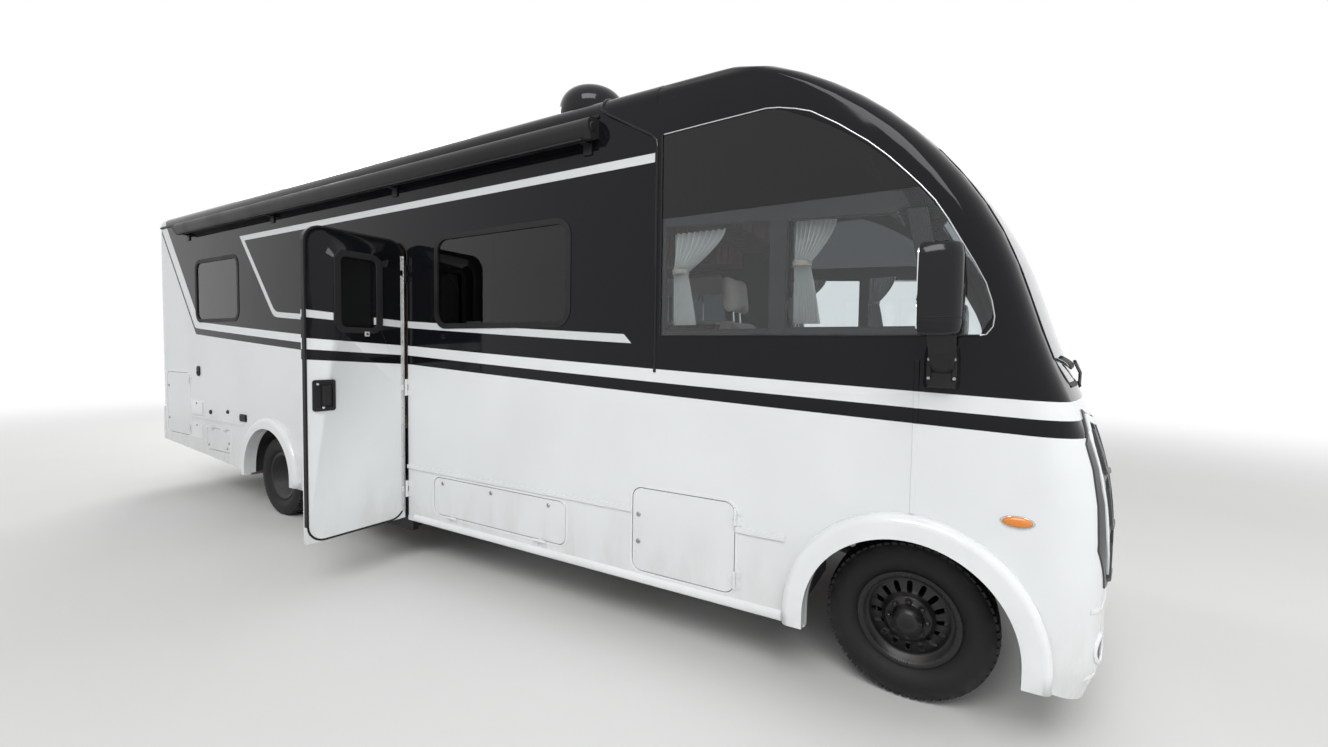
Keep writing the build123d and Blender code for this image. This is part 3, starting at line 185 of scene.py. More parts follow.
class Surface:
    """A material in the making: its node tree, object coordinates and shader."""

    def __init__(self, name: str) -> None:
        """Start a material with a single Principled shader."""
        self.material = bpy.data.materials.new(name)
        self.material.use_nodes = True
        self.tree = self.material.node_tree
        self.shader = self.tree.nodes["Principled BSDF"]
        coords = self.tree.nodes.new("ShaderNodeTexCoord")
        self.object_coords = coords.outputs["Object"]
        shift = self.tree.nodes.new("ShaderNodeVectorMath")
        shift.operation = "SUBTRACT"
        shift.inputs[1].default_value = ORIGIN
        self.tree.links.new(self.object_coords, shift.inputs[0])
        split = self.tree.nodes.new("ShaderNodeSeparateXYZ")
        self.tree.links.new(shift.outputs[0], split.inputs[0])
        self.x = Field(self.tree, split.outputs["X"])
        self.y = Field(self.tree, split.outputs["Y"])
        self.z = Field(self.tree, split.outputs["Z"])

    def facing(self, axis: Axis) -> Field:
        """Component of the surface's normal along an axis."""
        geometry = self.tree.nodes.new("ShaderNodeNewGeometry")
        split = self.tree.nodes.new("ShaderNodeSeparateXYZ")
        self.tree.links.new(geometry.outputs["Normal"], split.inputs[0])
        return Field(self.tree, split.outputs[axis.value])

    def noise(self, scale: float, detail: float = 3.0, stretch: Point = (1.0, 1.0, 1.0)) -> Field:
        """Noise over the object coordinates.

        Args:
            scale: Waves per metre.
            detail: Octaves of finer noise.
            stretch: Factor on each coordinate, to draw the pattern out.

        Returns:
            The noise, mostly between 0.3 and 0.7.
        """
        mapping = self.tree.nodes.new("ShaderNodeMapping")
        mapping.inputs["Scale"].default_value = stretch
        self.tree.links.new(self.object_coords, mapping.inputs["Vector"])
        node = self.tree.nodes.new("ShaderNodeTexNoise")
        node.inputs["Scale"].default_value = scale
        node.inputs["Detail"].default_value = detail
        self.tree.links.new(mapping.outputs[0], node.inputs["Vector"])
        return Field(self.tree, node.outputs["Fac"])

    def mix(self, share: Field, first: Colour | bpy.types.NodeSocket, second: Colour) -> bpy.types.NodeSocket:
        """Colour that goes from the first to the second as a share goes from 0 to 1."""
        node = self.tree.nodes.new("ShaderNodeMix")
        node.data_type = "RGBA"
        self.tree.links.new(share.socket, node.inputs["Factor"])
        colour_inputs = [socket for socket in node.inputs if socket.type == "RGBA"]
        if isinstance(first, bpy.types.NodeSocket):
            self.tree.links.new(first, colour_inputs[0])
        else:
            colour_inputs[0].default_value = (*first, 1.0)
        colour_inputs[1].default_value = (*second, 1.0)
        return [socket for socket in node.outputs if socket.type == "RGBA"][0]

    def colour(self, socket: bpy.types.NodeSocket) -> None:
        """Feed the shader's colour."""
        self.tree.links.new(socket, self.shader.inputs["Base Color"])

    def feed(self, name: str, value: Field) -> None:
        """Feed one of the shader's sockets with a field."""
        self.tree.links.new(value.socket, self.shader.inputs[name])

    def set(self, **values: float) -> None:
        """Set the shader's sockets to plain numbers, with underscores for spaces."""
        for name, value in values.items():
            self.shader.inputs[name.replace("_", " ")].default_value = value

    def bump(self, height: Field, distance: float) -> None:
        """Make the surface uneven by a height field."""
        node = self.tree.nodes.new("ShaderNodeBump")
        node.inputs["Distance"].default_value = distance
        self.tree.links.new(height.socket, node.inputs["Height"])
        self.tree.links.new(node.outputs[0], self.shader.inputs["Normal"])


# Finishes

DUST = (0.36, 0.33, 0.28)


@dataclass(frozen=True)
class Finish:
    """A plain finish with uneven colour, gloss and texture."""

    name: str
    colour: Colour
    roughness: float = 0.4
    metallic: float = 0.0
    coat: float = 0.0
    mottle: float = 0.08
    patch: float = 4.0
    grain: float = 220.0
    relief: float = 0.0002
    dust: float = 0.0
    specular: float = 0.5
    made: dict[str, bpy.types.Material] = field(default_factory=dict, compare=False)

    def shade(self, factor: float) -> Colour:
        """The colour made lighter or darker."""
        return tuple(min(1.0, channel * factor) for channel in self.colour)

    def material(self) -> bpy.types.Material:
        """Build the material once and return it."""
        if self.name not in self.made:
            self.made[self.name] = self.build()
        return self.made[self.name]

    def build(self) -> bpy.types.Material:
        """Mottled colour, uneven gloss, fine relief and dust on what faces up."""
        surface = Surface(self.name)
        patches = surface.noise(self.patch, 5.0).ramp(0.35, 0.65)
        colour = surface.mix(patches, self.shade(1.0 - self.mottle), self.shade(1.0 + self.mottle))
        fine = surface.noise(self.grain, 2.0)
        if self.dust > 0.0:
            settled = surface.facing(Axis.Z).ramp(0.2, 1.0) * patches * self.dust
            colour = surface.mix(settled, colour, DUST)
        surface.colour(colour)
        surface.feed("Roughness", (patches * 0.12 + fine * 0.06) + (self.roughness - 0.09))
        surface.set(Metallic=self.metallic, Coat_Weight=self.coat, Coat_Roughness=0.04,
            Specular_IOR_Level=self.specular)
        surface.bump(fine, self.relief)
        return surface.material


class Scheme(Enum):
    """Which panel's coordinates a paint scheme is read from."""

    FIXED = "fixed"
    OPEN_DOOR = "open_door"


@dataclass(frozen=True)
class CoachPaint(Finish):
    """Gloss gelcoat with the belt stripes, the swept rear band and the pinstripes."""

    scheme: Scheme = Scheme.FIXED
    black: Colour = (0.006, 0.0065, 0.008)
    silver: Colour = (0.66, 0.68, 0.69)
    hinge: Point2 = (-3.37, -1.202)
    belt_white: float = 0.07
    belt_black: float = 0.065
    belt_curve: Point = (0.0022, -0.0405, 1.4535)
    pin_top: float = 2.65
    cap_rear: float = -1.27
    dust_top: float = 0.85
    dust_full: float = 0.25

    def along(self, surface: Surface) -> Field:
        """Distance ahead of the front axle that the pattern is read at."""
        if self.scheme is Scheme.OPEN_DOOR:
            return surface.y + (self.hinge[0] - self.hinge[1])
        return surface.x

    def build(self) -> bpy.types.Material:
        """Black above the belt, white below and behind, with stripes between."""
        surface = Surface(self.name)
        x = self.along(surface)
        z = surface.z
        bend, slope, level = self.belt_curve
        belt = x * x * bend + x * slope + level
        above_belt = z - belt
        ahead = (x - ((z - 1.735) * -0.74 - 6.82)) * 0.47
        swept = (ahead + self.belt_white) * 4.3 - self.belt_white
        edge = ahead.lowest(swept).apply("SMOOTH_MIN", above_belt, 0.03)
        is_black = edge.above(0.0)
        is_band = edge.between(-self.belt_white - self.belt_black, -self.belt_white)
        thin = (x + ((z - 2.633) * 0.8 + 5.94)) * 0.78
        pin = thin.apply("SMOOTH_MIN", above_belt - 0.13, 0.08)
        tip = x.below(z * -1.0 + 0.238)
        is_pin = pin.between(0.0, 0.048) * tip * z.below(self.pin_top)
        is_upper = z.between(2.602, self.pin_top) * thin.above(0.0) * x.below(self.cap_rear)
        light = is_pin.highest(is_upper)
        dark = is_black.highest(is_band) * light.flip()
        roof = z.above(ROOF_Z - 0.012) * surface.facing(Axis.Z).above(0.9) * x.below(-1.4)
        dark = dark * roof.flip()
        haze = surface.noise(1.3, 4.0).ramp(0.35, 0.7)
        white = surface.mix(haze, self.colour, self.shade(0.95))
        paint = surface.mix(light, white, self.silver)
        paint = surface.mix(dark, paint, self.black)
        grime = z.ramp(self.dust_top, self.dust_full) * surface.noise(6.0, 6.0,
            (1.0, 1.0, 0.3)).ramp(0.38, 0.75) * 0.28
        surface.colour(surface.mix(grime, paint, DUST))
        surface.feed("Roughness", grime * 1.4 + surface.noise(3.0, 4.0) * 0.05 + 0.045)
        surface.set(Specular_IOR_Level=0.2)
        surface.bump(surface.noise(2.2, 2.0) * 1.0 + surface.noise(90.0, 2.0) * 0.01, 0.0016)
        return surface.material


@dataclass(frozen=True)
class Glass(Finish):
    """Tinted glass with a faint film of dust."""

    def build(self) -> bpy.types.Material:
        """Smooth transmission with a tint, under a thin film of dust."""
        surface = Surface(self.name)
        film = surface.noise(2.5, 5.0).ramp(0.4, 0.8) * 0.05
        surface.feed("Roughness", film * 0.2)
        surface.colour(surface.mix(film, self.colour, DUST))
        surface.set(Transmission_Weight=1.0, IOR=1.45, Coat_Weight=0.3, Coat_Roughness=0.0)
        return surface.material


@dataclass(frozen=True)
class CoachGlass(Glass):
    """Glass of the side windows: clear in the cab's panes, smoked above them and in the living space."""

    smoke: Colour = (0.035, 0.04, 0.045)
    clear: Colour = (0.8, 0.84, 0.85)
    cab_rear: float = -1.5
    brow: float = 2.3

    def build(self) -> bpy.types.Material:
        """Tint that changes with the pane."""
        surface = Surface(self.name)
        film = surface.noise(2.5, 5.0).ramp(0.4, 0.8) * 0.04
        cab = surface.x.above(self.cab_rear) * surface.z.below(self.brow)
        tint = surface.mix(cab, self.smoke, self.clear)
        brow = surface.x.above(self.cab_rear) * surface.z.above(self.brow)
        surface.colour(surface.mix(brow, tint, self.colour))
        surface.feed("Roughness", film * 0.1)
        surface.set(Transmission_Weight=1.0, IOR=1.45)
        return surface.material


@dataclass(frozen=True)
class Cloth(Finish):
    """Woven fabric with a sheen."""

    weave: float = 900.0

    def build(self) -> bpy.types.Material:
        """Threads crossing at right angles over a mottled colour."""
        surface = Surface(self.name)
        warp = (surface.x * self.weave).apply("SINE")
        weft = (surface.z * self.weave + surface.y * self.weave).apply("SINE")
        threads = warp * weft * 0.5 + 0.5
        patches = surface.noise(self.patch, 4.0).ramp(0.3, 0.7)
        colour = surface.mix(patches, self.shade(0.9), self.shade(1.1))
        surface.colour(surface.mix(threads * 0.35, colour, self.shade(0.6)))
        surface.feed("Roughness", threads * 0.1 + 0.8)
        surface.set(Sheen_Weight=0.4)
        surface.bump(threads, 0.0004)
        return surface.material


@dataclass(frozen=True)
class Wood(Finish):
    """Veneer with grain along the height."""

    def build(self) -> bpy.types.Material:
        """Long streaks of lighter and darker wood."""
        surface = Surface(self.name)
        streak = surface.noise(3.0, 8.0, (6.0, 6.0, 0.5)).ramp(0.35, 0.65)
        pores = surface.noise(60.0, 4.0, (4.0, 4.0, 0.2))
        colour = surface.mix(streak, self.shade(0.7), self.shade(1.25))
        surface.colour(surface.mix(pores.ramp(0.6, 0.75) * 0.5, colour, self.shade(0.4)))
        surface.feed("Roughness", pores * 0.2 + 0.3)
        surface.set(Coat_Weight=0.3)
        surface.bump(pores, 0.0002)
        return surface.material


@dataclass(frozen=True)
class Tread(Finish):
    """Tyre rubber, dusty in the grooves and scuffed on the shoulders."""

    centre: Point2 = (0.0, AXLE_Z)

    def build(self) -> bpy.types.Material:
        """Rings on the sidewall and a dusty outer edge."""
        surface = Surface(self.name)
        across = surface.x - self.centre[0]
        up = surface.z - self.centre[1]
        radius = (across * across + up * up).apply("SQRT")
        rings = (radius * 900.0).apply("SINE") * radius.between(0.24, 0.34)
        wear = surface.noise(14.0, 6.0).ramp(0.35, 0.7) * radius.ramp(0.3, 0.372) * 0.35
        surface.colour(surface.mix(wear, self.colour, (0.1, 0.095, 0.085)))
        surface.feed("Roughness", wear * 0.4 + 0.62)
        surface.set(Specular_IOR_Level=0.3)
        surface.bump(rings * 0.15 + surface.noise(300.0, 2.0), 0.0006)
        return surface.material


def seen_share(tree: bpy.types.NodeTree) -> Field:
    """1 for what the camera sees, straight, mirrored or through glass, and 0 for light."""
    path = tree.nodes.new("ShaderNodeLightPath")
    rays = [Field(tree, path.outputs[name]) for name in ("Is Camera Ray", "Is Glossy Ray",
        "Is Transmission Ray")]
    return rays[0].highest(rays[1]).highest(rays[2])


@dataclass(frozen=True)
class StudioFloor(Finish):
    """Pale studio floor that keeps the shadow and turns white where it is seen far away."""

    near: float = 6.0
    far: float = 17.0
    middle: float = 3.5

    def build(self) -> bpy.types.Material:
        """A matt pale floor with a very faint mottle, plain white past a distance."""
        surface = Surface(self.name)
        patches = surface.noise(0.6, 4.0).ramp(0.3, 0.7)
        surface.colour(surface.mix(patches, self.shade(0.99), self.shade(1.01)))
        surface.set(Roughness=0.75)
        tree = surface.tree
        across = surface.x + self.middle
        reach = (across * across + surface.y * surface.y).apply("SQRT")
        white = tree.nodes.new("ShaderNodeEmission")
        white.inputs["Strength"].default_value = 1.0
        blend = tree.nodes.new("ShaderNodeMixShader")
        share = reach.ramp(self.near, self.far) * seen_share(tree)
        tree.links.new(share.socket, blend.inputs[0])
        tree.links.new(surface.shader.outputs[0], blend.inputs[1])
        tree.links.new(white.outputs[0], blend.inputs[2])
        tree.links.new(blend.outputs[0], tree.nodes["Material Output"].inputs["Surface"])
        return surface.material


PAINT = CoachPaint("gelcoat", (0.8, 0.82, 0.83))
DOOR_PAINT = CoachPaint("gelcoat_on_the_open_door", (0.8, 0.82, 0.83), scheme=Scheme.OPEN_DOOR)
WHITE = Finish("white_gelcoat", (0.8, 0.82, 0.83), 0.1, coat=0.6, mottle=0.03, relief=0.00008)
BLACK_GLOSS = Finish("black_gloss", (0.006, 0.0065, 0.008), 0.1, coat=0.1, relief=0.00008, specular=0.25)
BLACK_SATIN = Finish("black_satin", (0.012, 0.012, 0.013), 0.42, mottle=0.25, dust=0.15, specular=0.3)
BLACK_GRAINED = Finish("black_grained_plastic", (0.015, 0.015, 0.016), 0.55, relief=0.0006, dust=0.15,
    specular=0.3)
BEZEL_GREY = Finish("dark_grey_moulding", (0.05, 0.052, 0.056), 0.38, relief=0.0001, specular=0.4)
REFLECTOR = Finish("smoked_reflector", (0.16, 0.165, 0.17), 0.2, metallic=1.0, relief=0.0)
RUBBER = Finish("rubber_seal", (0.012, 0.012, 0.012), 0.6, mottle=0.25, relief=0.0004, specular=0.3)
WHEEL_BLACK = Finish("black_wheel_paint", (0.01, 0.01, 0.011), 0.36, mottle=0.3, dust=0.2, specular=0.4)
CHROME = Finish("bright_metal", (0.62, 0.63, 0.65), 0.14, metallic=1.0, mottle=0.04, relief=0.00005)
SILVER = Finish("silver_paint", (0.62, 0.63, 0.64), 0.25, metallic=0.2, coat=0.5, mottle=0.04)
ZINC = Finish("zinc_plated_steel", (0.42, 0.42, 0.41), 0.35, metallic=0.9, mottle=0.15, dust=0.3)
STEEL = Finish("chassis_steel", (0.045, 0.045, 0.048), 0.5, metallic=0.3, mottle=0.35, relief=0.0005,
    dust=0.6)
CAST = Finish("cast_iron", (0.13, 0.11, 0.095), 0.7, metallic=0.5, mottle=0.35, relief=0.0012, dust=0.6)
PIPE = Finish("exhaust_steel", (0.3, 0.26, 0.22), 0.45, metallic=0.8, mottle=0.3, relief=0.0003, dust=0.4)
GREY = Finish("grey_moulding", (0.42, 0.42, 0.42), 0.5, mottle=0.08, relief=0.0003, dust=0.2)
BEIGE = Finish("beige_lining", (0.62, 0.56, 0.46), 0.6, mottle=0.06, relief=0.0003)
ROOF_SHEET = Finish("roof_membrane", (0.78, 0.79, 0.78), 0.5, mottle=0.05, relief=0.0006, dust=0.35)
AMBER = Finish("amber_lens", (0.85, 0.25, 0.01), 0.12, coat=0.8, mottle=0.1, relief=0.0008, grain=90.0)
RED = Finish("red_lens", (0.55, 0.01, 0.01), 0.12, coat=0.8, mottle=0.15, relief=0.0008, grain=90.0)
LENS = Glass("clear_lens", (0.75, 0.78, 0.8))
TINTED = Glass("tinted_glass", (0.42, 0.47, 0.5))
DARK_GLASS = Glass("dark_glass", (0.09, 0.1, 0.11))
SIDE_GLASS = CoachGlass("side_window_glass", (0.055, 0.062, 0.066))
MIRROR = Finish("mirror_face", (0.85, 0.86, 0.87), 0.03, metallic=1.0, mottle=0.01, relief=0.0)
SEAT_CLOTH = Cloth("seat_cloth", (0.2, 0.17, 0.145))
PALE_CLOTH = Cloth("pale_cloth", (0.55, 0.5, 0.43))
CURTAIN = Cloth("sheer_curtain", (0.85, 0.85, 0.84), weave=2500.0)
VENEER = Wood("walnut_veneer", (0.23, 0.12, 0.06))
FLOORING = Wood("plank_floor", (0.34, 0.25, 0.17))
WORKTOP = Finish("pale_worktop", (0.6, 0.58, 0.55), 0.25, coat=0.4, mottle=0.35, grain=220.0, relief=0.0001)
FLOOR = StudioFloor("studio_floor", (0.74, 0.74, 0.73))


# Mesh building


def moved(point: Sequence[float]) -> Vector:
    """Carry a point from vehicle coordinates into the frame."""
    return Vector(point) + ORIGIN


def circle(sides: int) -> list[Point2]:
    """Cosine and sine of each step round a circle."""
    angles = [2 * math.pi * turn / sides for turn in range(sides)]
    return [(math.cos(angle), math.sin(angle)) for angle in angles]


def corners(low: Point2, high: Point2) -> list[Point2]:
    """Rectangle between two corners, anticlockwise."""
    return [low, (high[0], low[1]), high, (low[0], high[1])]


def stand(outline: Sequence[Point2], axis: Axis, place: float) -> list[Point]:
    """Flat outline across an axis, at a place along it; its two numbers are the other axes in order."""
    return [(*point[:axis.value], place, *point[axis.value:]) for point in outline]


@dataclass
class Shape:
    """Vertices and faces of one piece, in vehicle coordinates."""

    points: list[Vector] = field(default_factory=list)
    faces: list[tuple[int, ...]] = field(default_factory=list)

    def add(self, points: Sequence[Sequence[float]], faces: Sequence[Sequence[int]]) -> None:
        """Add points with the faces between them."""
        start = len(self.points)
        self.points.extend(Vector(point) for point in points)
        self.faces.extend(tuple(start + index for index in face) for face in faces)

    def box(self, low: Point, high: Point) -> Shape:
        """Add a box between two corners."""
        ends = [(x, y, z) for x in (low[0], high[0]) for y in (low[1], high[1]) for z in (low[2], high[2])]
        self.add(ends, ((0, 1, 3, 2), (4, 6, 7, 5), (0, 4, 5, 1), (2, 3, 7, 6), (0, 2, 6, 4), (1, 5, 7, 3)))
        return self

    def skin(self, rings: Sequence[Sequence[Sequence[float]]], closed: bool = True,
            caps: bool = True) -> Shape:
        """Add a skin over rings of equal length.

        Args:
            rings: The rings in order, each a list of points.
            closed: Whether each ring joins its own end.
            caps: Whether the first and last ring are filled.

        Returns:
            The shape itself.
        """
        count = len(rings[0])
        points = [point for ring in rings for point in ring]
        faces = []
        for row in range(len(rings) - 1):
            for column in range(count if closed else count - 1):
                after = (column + 1) % count
                base = row * count
                faces.append((base + column, base + after, base + count + after, base + count + column))
        if caps and closed:
            faces.append(tuple(range(count)))
            faces.append(tuple((len(rings) - 1) * count + index for index in range(count)))
        self.add(points, faces)
        return self

    def rod(self, start: Point, end: Point, radius: float, sides: int = 20,
            tip: float | None = None) -> Shape:
        """Add a round bar, tapered to another radius where one is given."""
        line = Vector(end) - Vector(start)
        across = line.orthogonal().normalized()
        over = line.cross(across).normalized()
        ends = ((start, radius), (end, radius if tip is None else tip))
        return self.skin([[Vector(place) + (across * cosine + over * sine) * size
            for cosine, sine in circle(sides)] for place, size in ends])

    def hollow(self, rings: Sequence[Sequence[Sequence[float]]]) -> Shape:
        """Add a skin over rings and back to the first."""
        return self.skin([*rings, rings[0]], caps=False)

    def turned(self, profile: Sequence[Point2], centre: Point, axis: Axis = Axis.Y, sides: int = 48,
               way: float = 1.0) -> Shape:
        """Add a profile of (radius, place along the axis) turned about an axis.

        A profile that starts on the axis is open there, and any other joins its own end.

        Args:
            profile: The points of the outline.
            centre: A point on the axis.
            axis: Axis that the profile is turned about.
            sides: Steps round the axis.
            way: 1 to measure along the axis, -1 to measure against it.

        Returns:
            The shape itself.
        """
        first = (axis.value + 1) % 3
        second = (axis.value + 2) % 3
        rings = []
        for cosine, sine in circle(sides):
            ring = []
            for radius, place in profile:
                point = Vector(centre)
                point[axis.value] += place * way
                point[first] += radius * cosine
                point[second] += radius * sine
                ring.append(point)
            rings.append(ring)
        rings.append(rings[0])
        return self.skin(rings, closed=profile[0][0] > 0.0, caps=False)

    def prism(self, outline: Sequence[Point2], axis: Axis, low: float, high: float) -> Shape:
        """Add an outline pushed along an axis."""
        return self.skin([stand(outline, axis, place) for place in (low, high)])

    def plate(self, low: Point2, high: Point2, radius: float, axis: Axis, start: float, end: float,
              steps: int = 6) -> Shape:
        """Add a plate with rounded corners, pushed along an axis."""
        return self.prism(rounded_outline(low, high, radius, steps), axis, start, end)

    def pipe(self, path: Sequence[Sequence[float]], radius: float, sides: int = 12,
            closed: bool = False) -> Shape:
        """Add a round tube along a path of points."""
        line = [Vector(point) for point in path]
        count = len(line)
        rings = []
        across = None
        for index, point in enumerate(line):
            before = line[index - 1] if index or closed else point
            after = line[(index + 1) % count] if index < count - 1 or closed else point
            run = (after - before).normalized()
            if across is None:
                across = run.orthogonal().normalized()
            across = (across - run * across.dot(run)).normalized()
            over = run.cross(across)
            rings.append([point + (across * cosine + over * sine) * radius for cosine, sine in circle(sides)])
        if closed:
            rings.append(rings[0])
        return self.skin(rings, caps=not closed)

    def mirrored(self) -> Shape:
        """Copy with the other sign of y."""
        points = [Vector((point.x, -point.y, point.z)) for point in self.points]
        return Shape(points, list(self.faces))

    def mesh(self, name: str) -> bpy.types.Mesh:
        """Make a mesh in frame coordinates with merged points and outward faces."""
        mesh = bpy.data.meshes.new(name)
        mesh.from_pydata([moved(point) for point in self.points], [], self.faces)
        work = bmesh.new()
        work.from_mesh(mesh)
        bmesh.ops.remove_doubles(work, verts=work.verts, dist=SAME_PLACE)
        bmesh.ops.recalc_face_normals(work, faces=work.faces)
        work.to_mesh(mesh)
        work.free()
        return mesh


def rounded_outline(low: Point2, high: Point2, radius: float, steps: int = 6) -> list[Point2]:
    """Rounded rectangle between two corners, anticlockwise."""
    centres = ((high[0] - radius, high[1] - radius, 0), (low[0] + radius, high[1] - radius, 1),
               (low[0] + radius, low[1] + radius, 2), (high[0] - radius, low[1] + radius, 3))
    outline = []
    for x, z, quarter in centres:
        for step in range(steps + 1):
            angle = math.pi / 2 * (quarter + step / steps)
            outline.append((x + radius * math.cos(angle), z + radius * math.sin(angle)))
    return outline


def in_scene(name: str, data: bpy.types.ID) -> bpy.types.Object:
    """New object of a mesh, lamp or camera, in the scene."""
    thing = bpy.data.objects.new(name, data)
    bpy.context.scene.collection.objects.link(thing)
    return thing


def evaluated(holder: bpy.types.Object) -> bpy.types.Mesh:
    """Mesh of an object with its modifiers worked out."""
    graph = bpy.context.evaluated_depsgraph_get()
    return bpy.data.meshes.new_from_object(holder.evaluated_get(graph))


class Yard:
    """Turns shapes into dressed pieces that ride on the frame."""

    bevel_segments = 2
    bevel_from = 40.0

    def __init__(self, frame: dict) -> None:
        """Keep the loaded frame."""
        self.frame = frame
        self.made: list[str] = []

    def finish(self, piece: bpy.types.Object, finish: Finish, body: str,
            replaces: Sequence[str] = ()) -> None:
        """Give a piece its material, body and replaced nodes."""
        if not piece.data.materials:
            piece.data.materials.append(finish.material())
        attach(piece, body)
        if replaces:
            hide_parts(*replaces)
        self.made.append(piece.name)
        LOG.info("%s rides on %s", piece.name, body)

    def piece(self, name: str, shape: Shape | bpy.types.Mesh, finish: Finish, body: str = "coach",
              bevel: float = 0.0, crease: float = 32.0, replaces: Sequence[str] = ()) -> bpy.types.Object:
        """Make one piece.

        Args:
            name: The piece's name.
            shape: Its shape or finished mesh.
            finish: Its finish.
            body: The body that it rides on.
            bevel: Width of the bevel on its sharp edges.
            crease: Angle in degrees past which an edge stays sharp.
            replaces: The nodes that it stands for.

        Returns:
            The object.
        """
        mesh = shape.mesh(name) if isinstance(shape, Shape) else shape
        mesh.shade_smooth()
        mesh.set_sharp_from_angle(angle=math.radians(crease))
        piece = in_scene(name, mesh)
        if bevel > 0.0:
            modifier = piece.modifiers.new("edges", "BEVEL")
            modifier.width = bevel
            modifier.segments = self.bevel_segments
            modifier.limit_method = "ANGLE"
            modifier.angle_limit = math.radians(self.bevel_from)
            modifier.harden_normals = True
        self.finish(piece, finish, body, replaces)
        return piece


class Repeat:
    """Copies of a small shape along a line or round an axis, made with Geometry Nodes."""

    def __init__(self) -> None:
        """Build the node tree once."""
        tree = bpy.data.node_groups.new("copies_in_a_row", "GeometryNodeTree")
        face = tree.interface
        face.new_socket("Geometry", in_out="INPUT", socket_type="NodeSocketGeometry")
        self.count = face.new_socket("Count", in_out="INPUT", socket_type="NodeSocketInt")
        self.step = face.new_socket("Step", in_out="INPUT", socket_type="NodeSocketVector")
        self.turn = face.new_socket("Turn", in_out="INPUT", socket_type="NodeSocketVector")
        self.paint = face.new_socket("Material", in_out="INPUT", socket_type="NodeSocketMaterial")
        face.new_socket("Geometry", in_out="OUTPUT", socket_type="NodeSocketGeometry")
        given = tree.nodes.new("NodeGroupInput")
        line = tree.nodes.new("GeometryNodeMeshLine")
        line.mode = "OFFSET"
        index = tree.nodes.new("GeometryNodeInputIndex")
        turned = tree.nodes.new("ShaderNodeVectorMath")
        turned.operation = "SCALE"
        copies = tree.nodes.new("GeometryNodeInstanceOnPoints")
        real = tree.nodes.new("GeometryNodeRealizeInstances")
        dressed = tree.nodes.new("GeometryNodeSetMaterial")
        result = tree.nodes.new("NodeGroupOutput")
        for source, start, target, end in ((given, "Count", line, "Count"),
                (given, "Step", line, "Offset"), (given, "Turn", turned, 0), (index, 0, turned, "Scale"),
                (line, 0, copies, "Points"), (given, "Geometry", copies, "Instance"),
                (turned, 0, copies, "Rotation"), (copies, 0, real, 0), (real, 0, dressed, "Geometry"),
                (given, "Material", dressed, "Material"), (dressed, 0, result, 0)):
            tree.links.new(source.outputs[start], target.inputs[end])
        self.tree = tree

    def mesh(self, name: str, shape: Shape, pivot: Point, finish: Finish, count: int,
             step: Point = (0.0, 0.0, 0.0), turn: Point = (0.0, 0.0, 0.0)) -> bpy.types.Mesh:
        """Make a plain mesh of the copies.

        Args:
            name: Name of the mesh.
            shape: The first copy, in vehicle coordinates.
            pivot: The point that copies turn about.
            finish: The finish of the copies.
            count: How many there are.
            step: Offset from one to the next.
            turn: Rotation from one to the next, in radians.

        Returns:
            The mesh, with its place in it.
        """
        template = shape.mesh(name)
        template.transform(Matrix.Translation(-moved(pivot)))
        holder = in_scene(name + "_template", template)
        modifier = holder.modifiers.new("copies", "NODES")
        modifier.node_group = self.tree
        modifier[self.count.identifier] = count
        modifier[self.step.identifier] = step
        modifier[self.turn.identifier] = turn
        modifier[self.paint.identifier] = finish.material()
        mesh = evaluated(holder)
        holder.modifiers.clear()
        bpy.data.objects.remove(holder)
        mesh.transform(Matrix.Translation(moved(pivot)))
        return mesh


@dataclass
class Assembly:
    """Part of the coach that makes its pieces in the yard, on one body unless a piece names another."""

    yard: Yard
    repeat: Repeat
    body = "coach"

    def piece(self, name: str, shape: Shape | bpy.types.Mesh, finish: Finish, body: str = "",
              **extra: object) -> bpy.types.Object:
        """Make one piece."""
        return self.yard.piece(name, shape, finish, body or self.body, **extra)

    def both(self, name: str, shape: Shape, finish: Finish, **extra: object) -> None:
        """Make a right-hand piece and its mirror image."""
        self.piece(name + "_right", shape, finish, **extra)
        self.piece(name + "_left", shape.mirrored(), finish, **extra)

    def row(self, name: str, shape: Shape, pivot: Point, finish: Finish, count: int,
            step: Point = (0.0, 0.0, 0.0), turn: Point = (0.0, 0.0, 0.0), **extra: object) -> None:
        """Make one piece of equal copies, with the arguments of Repeat.mesh."""
        self.piece(name, self.repeat.mesh(name, shape, pivot, finish, count, step, turn), finish, **extra)


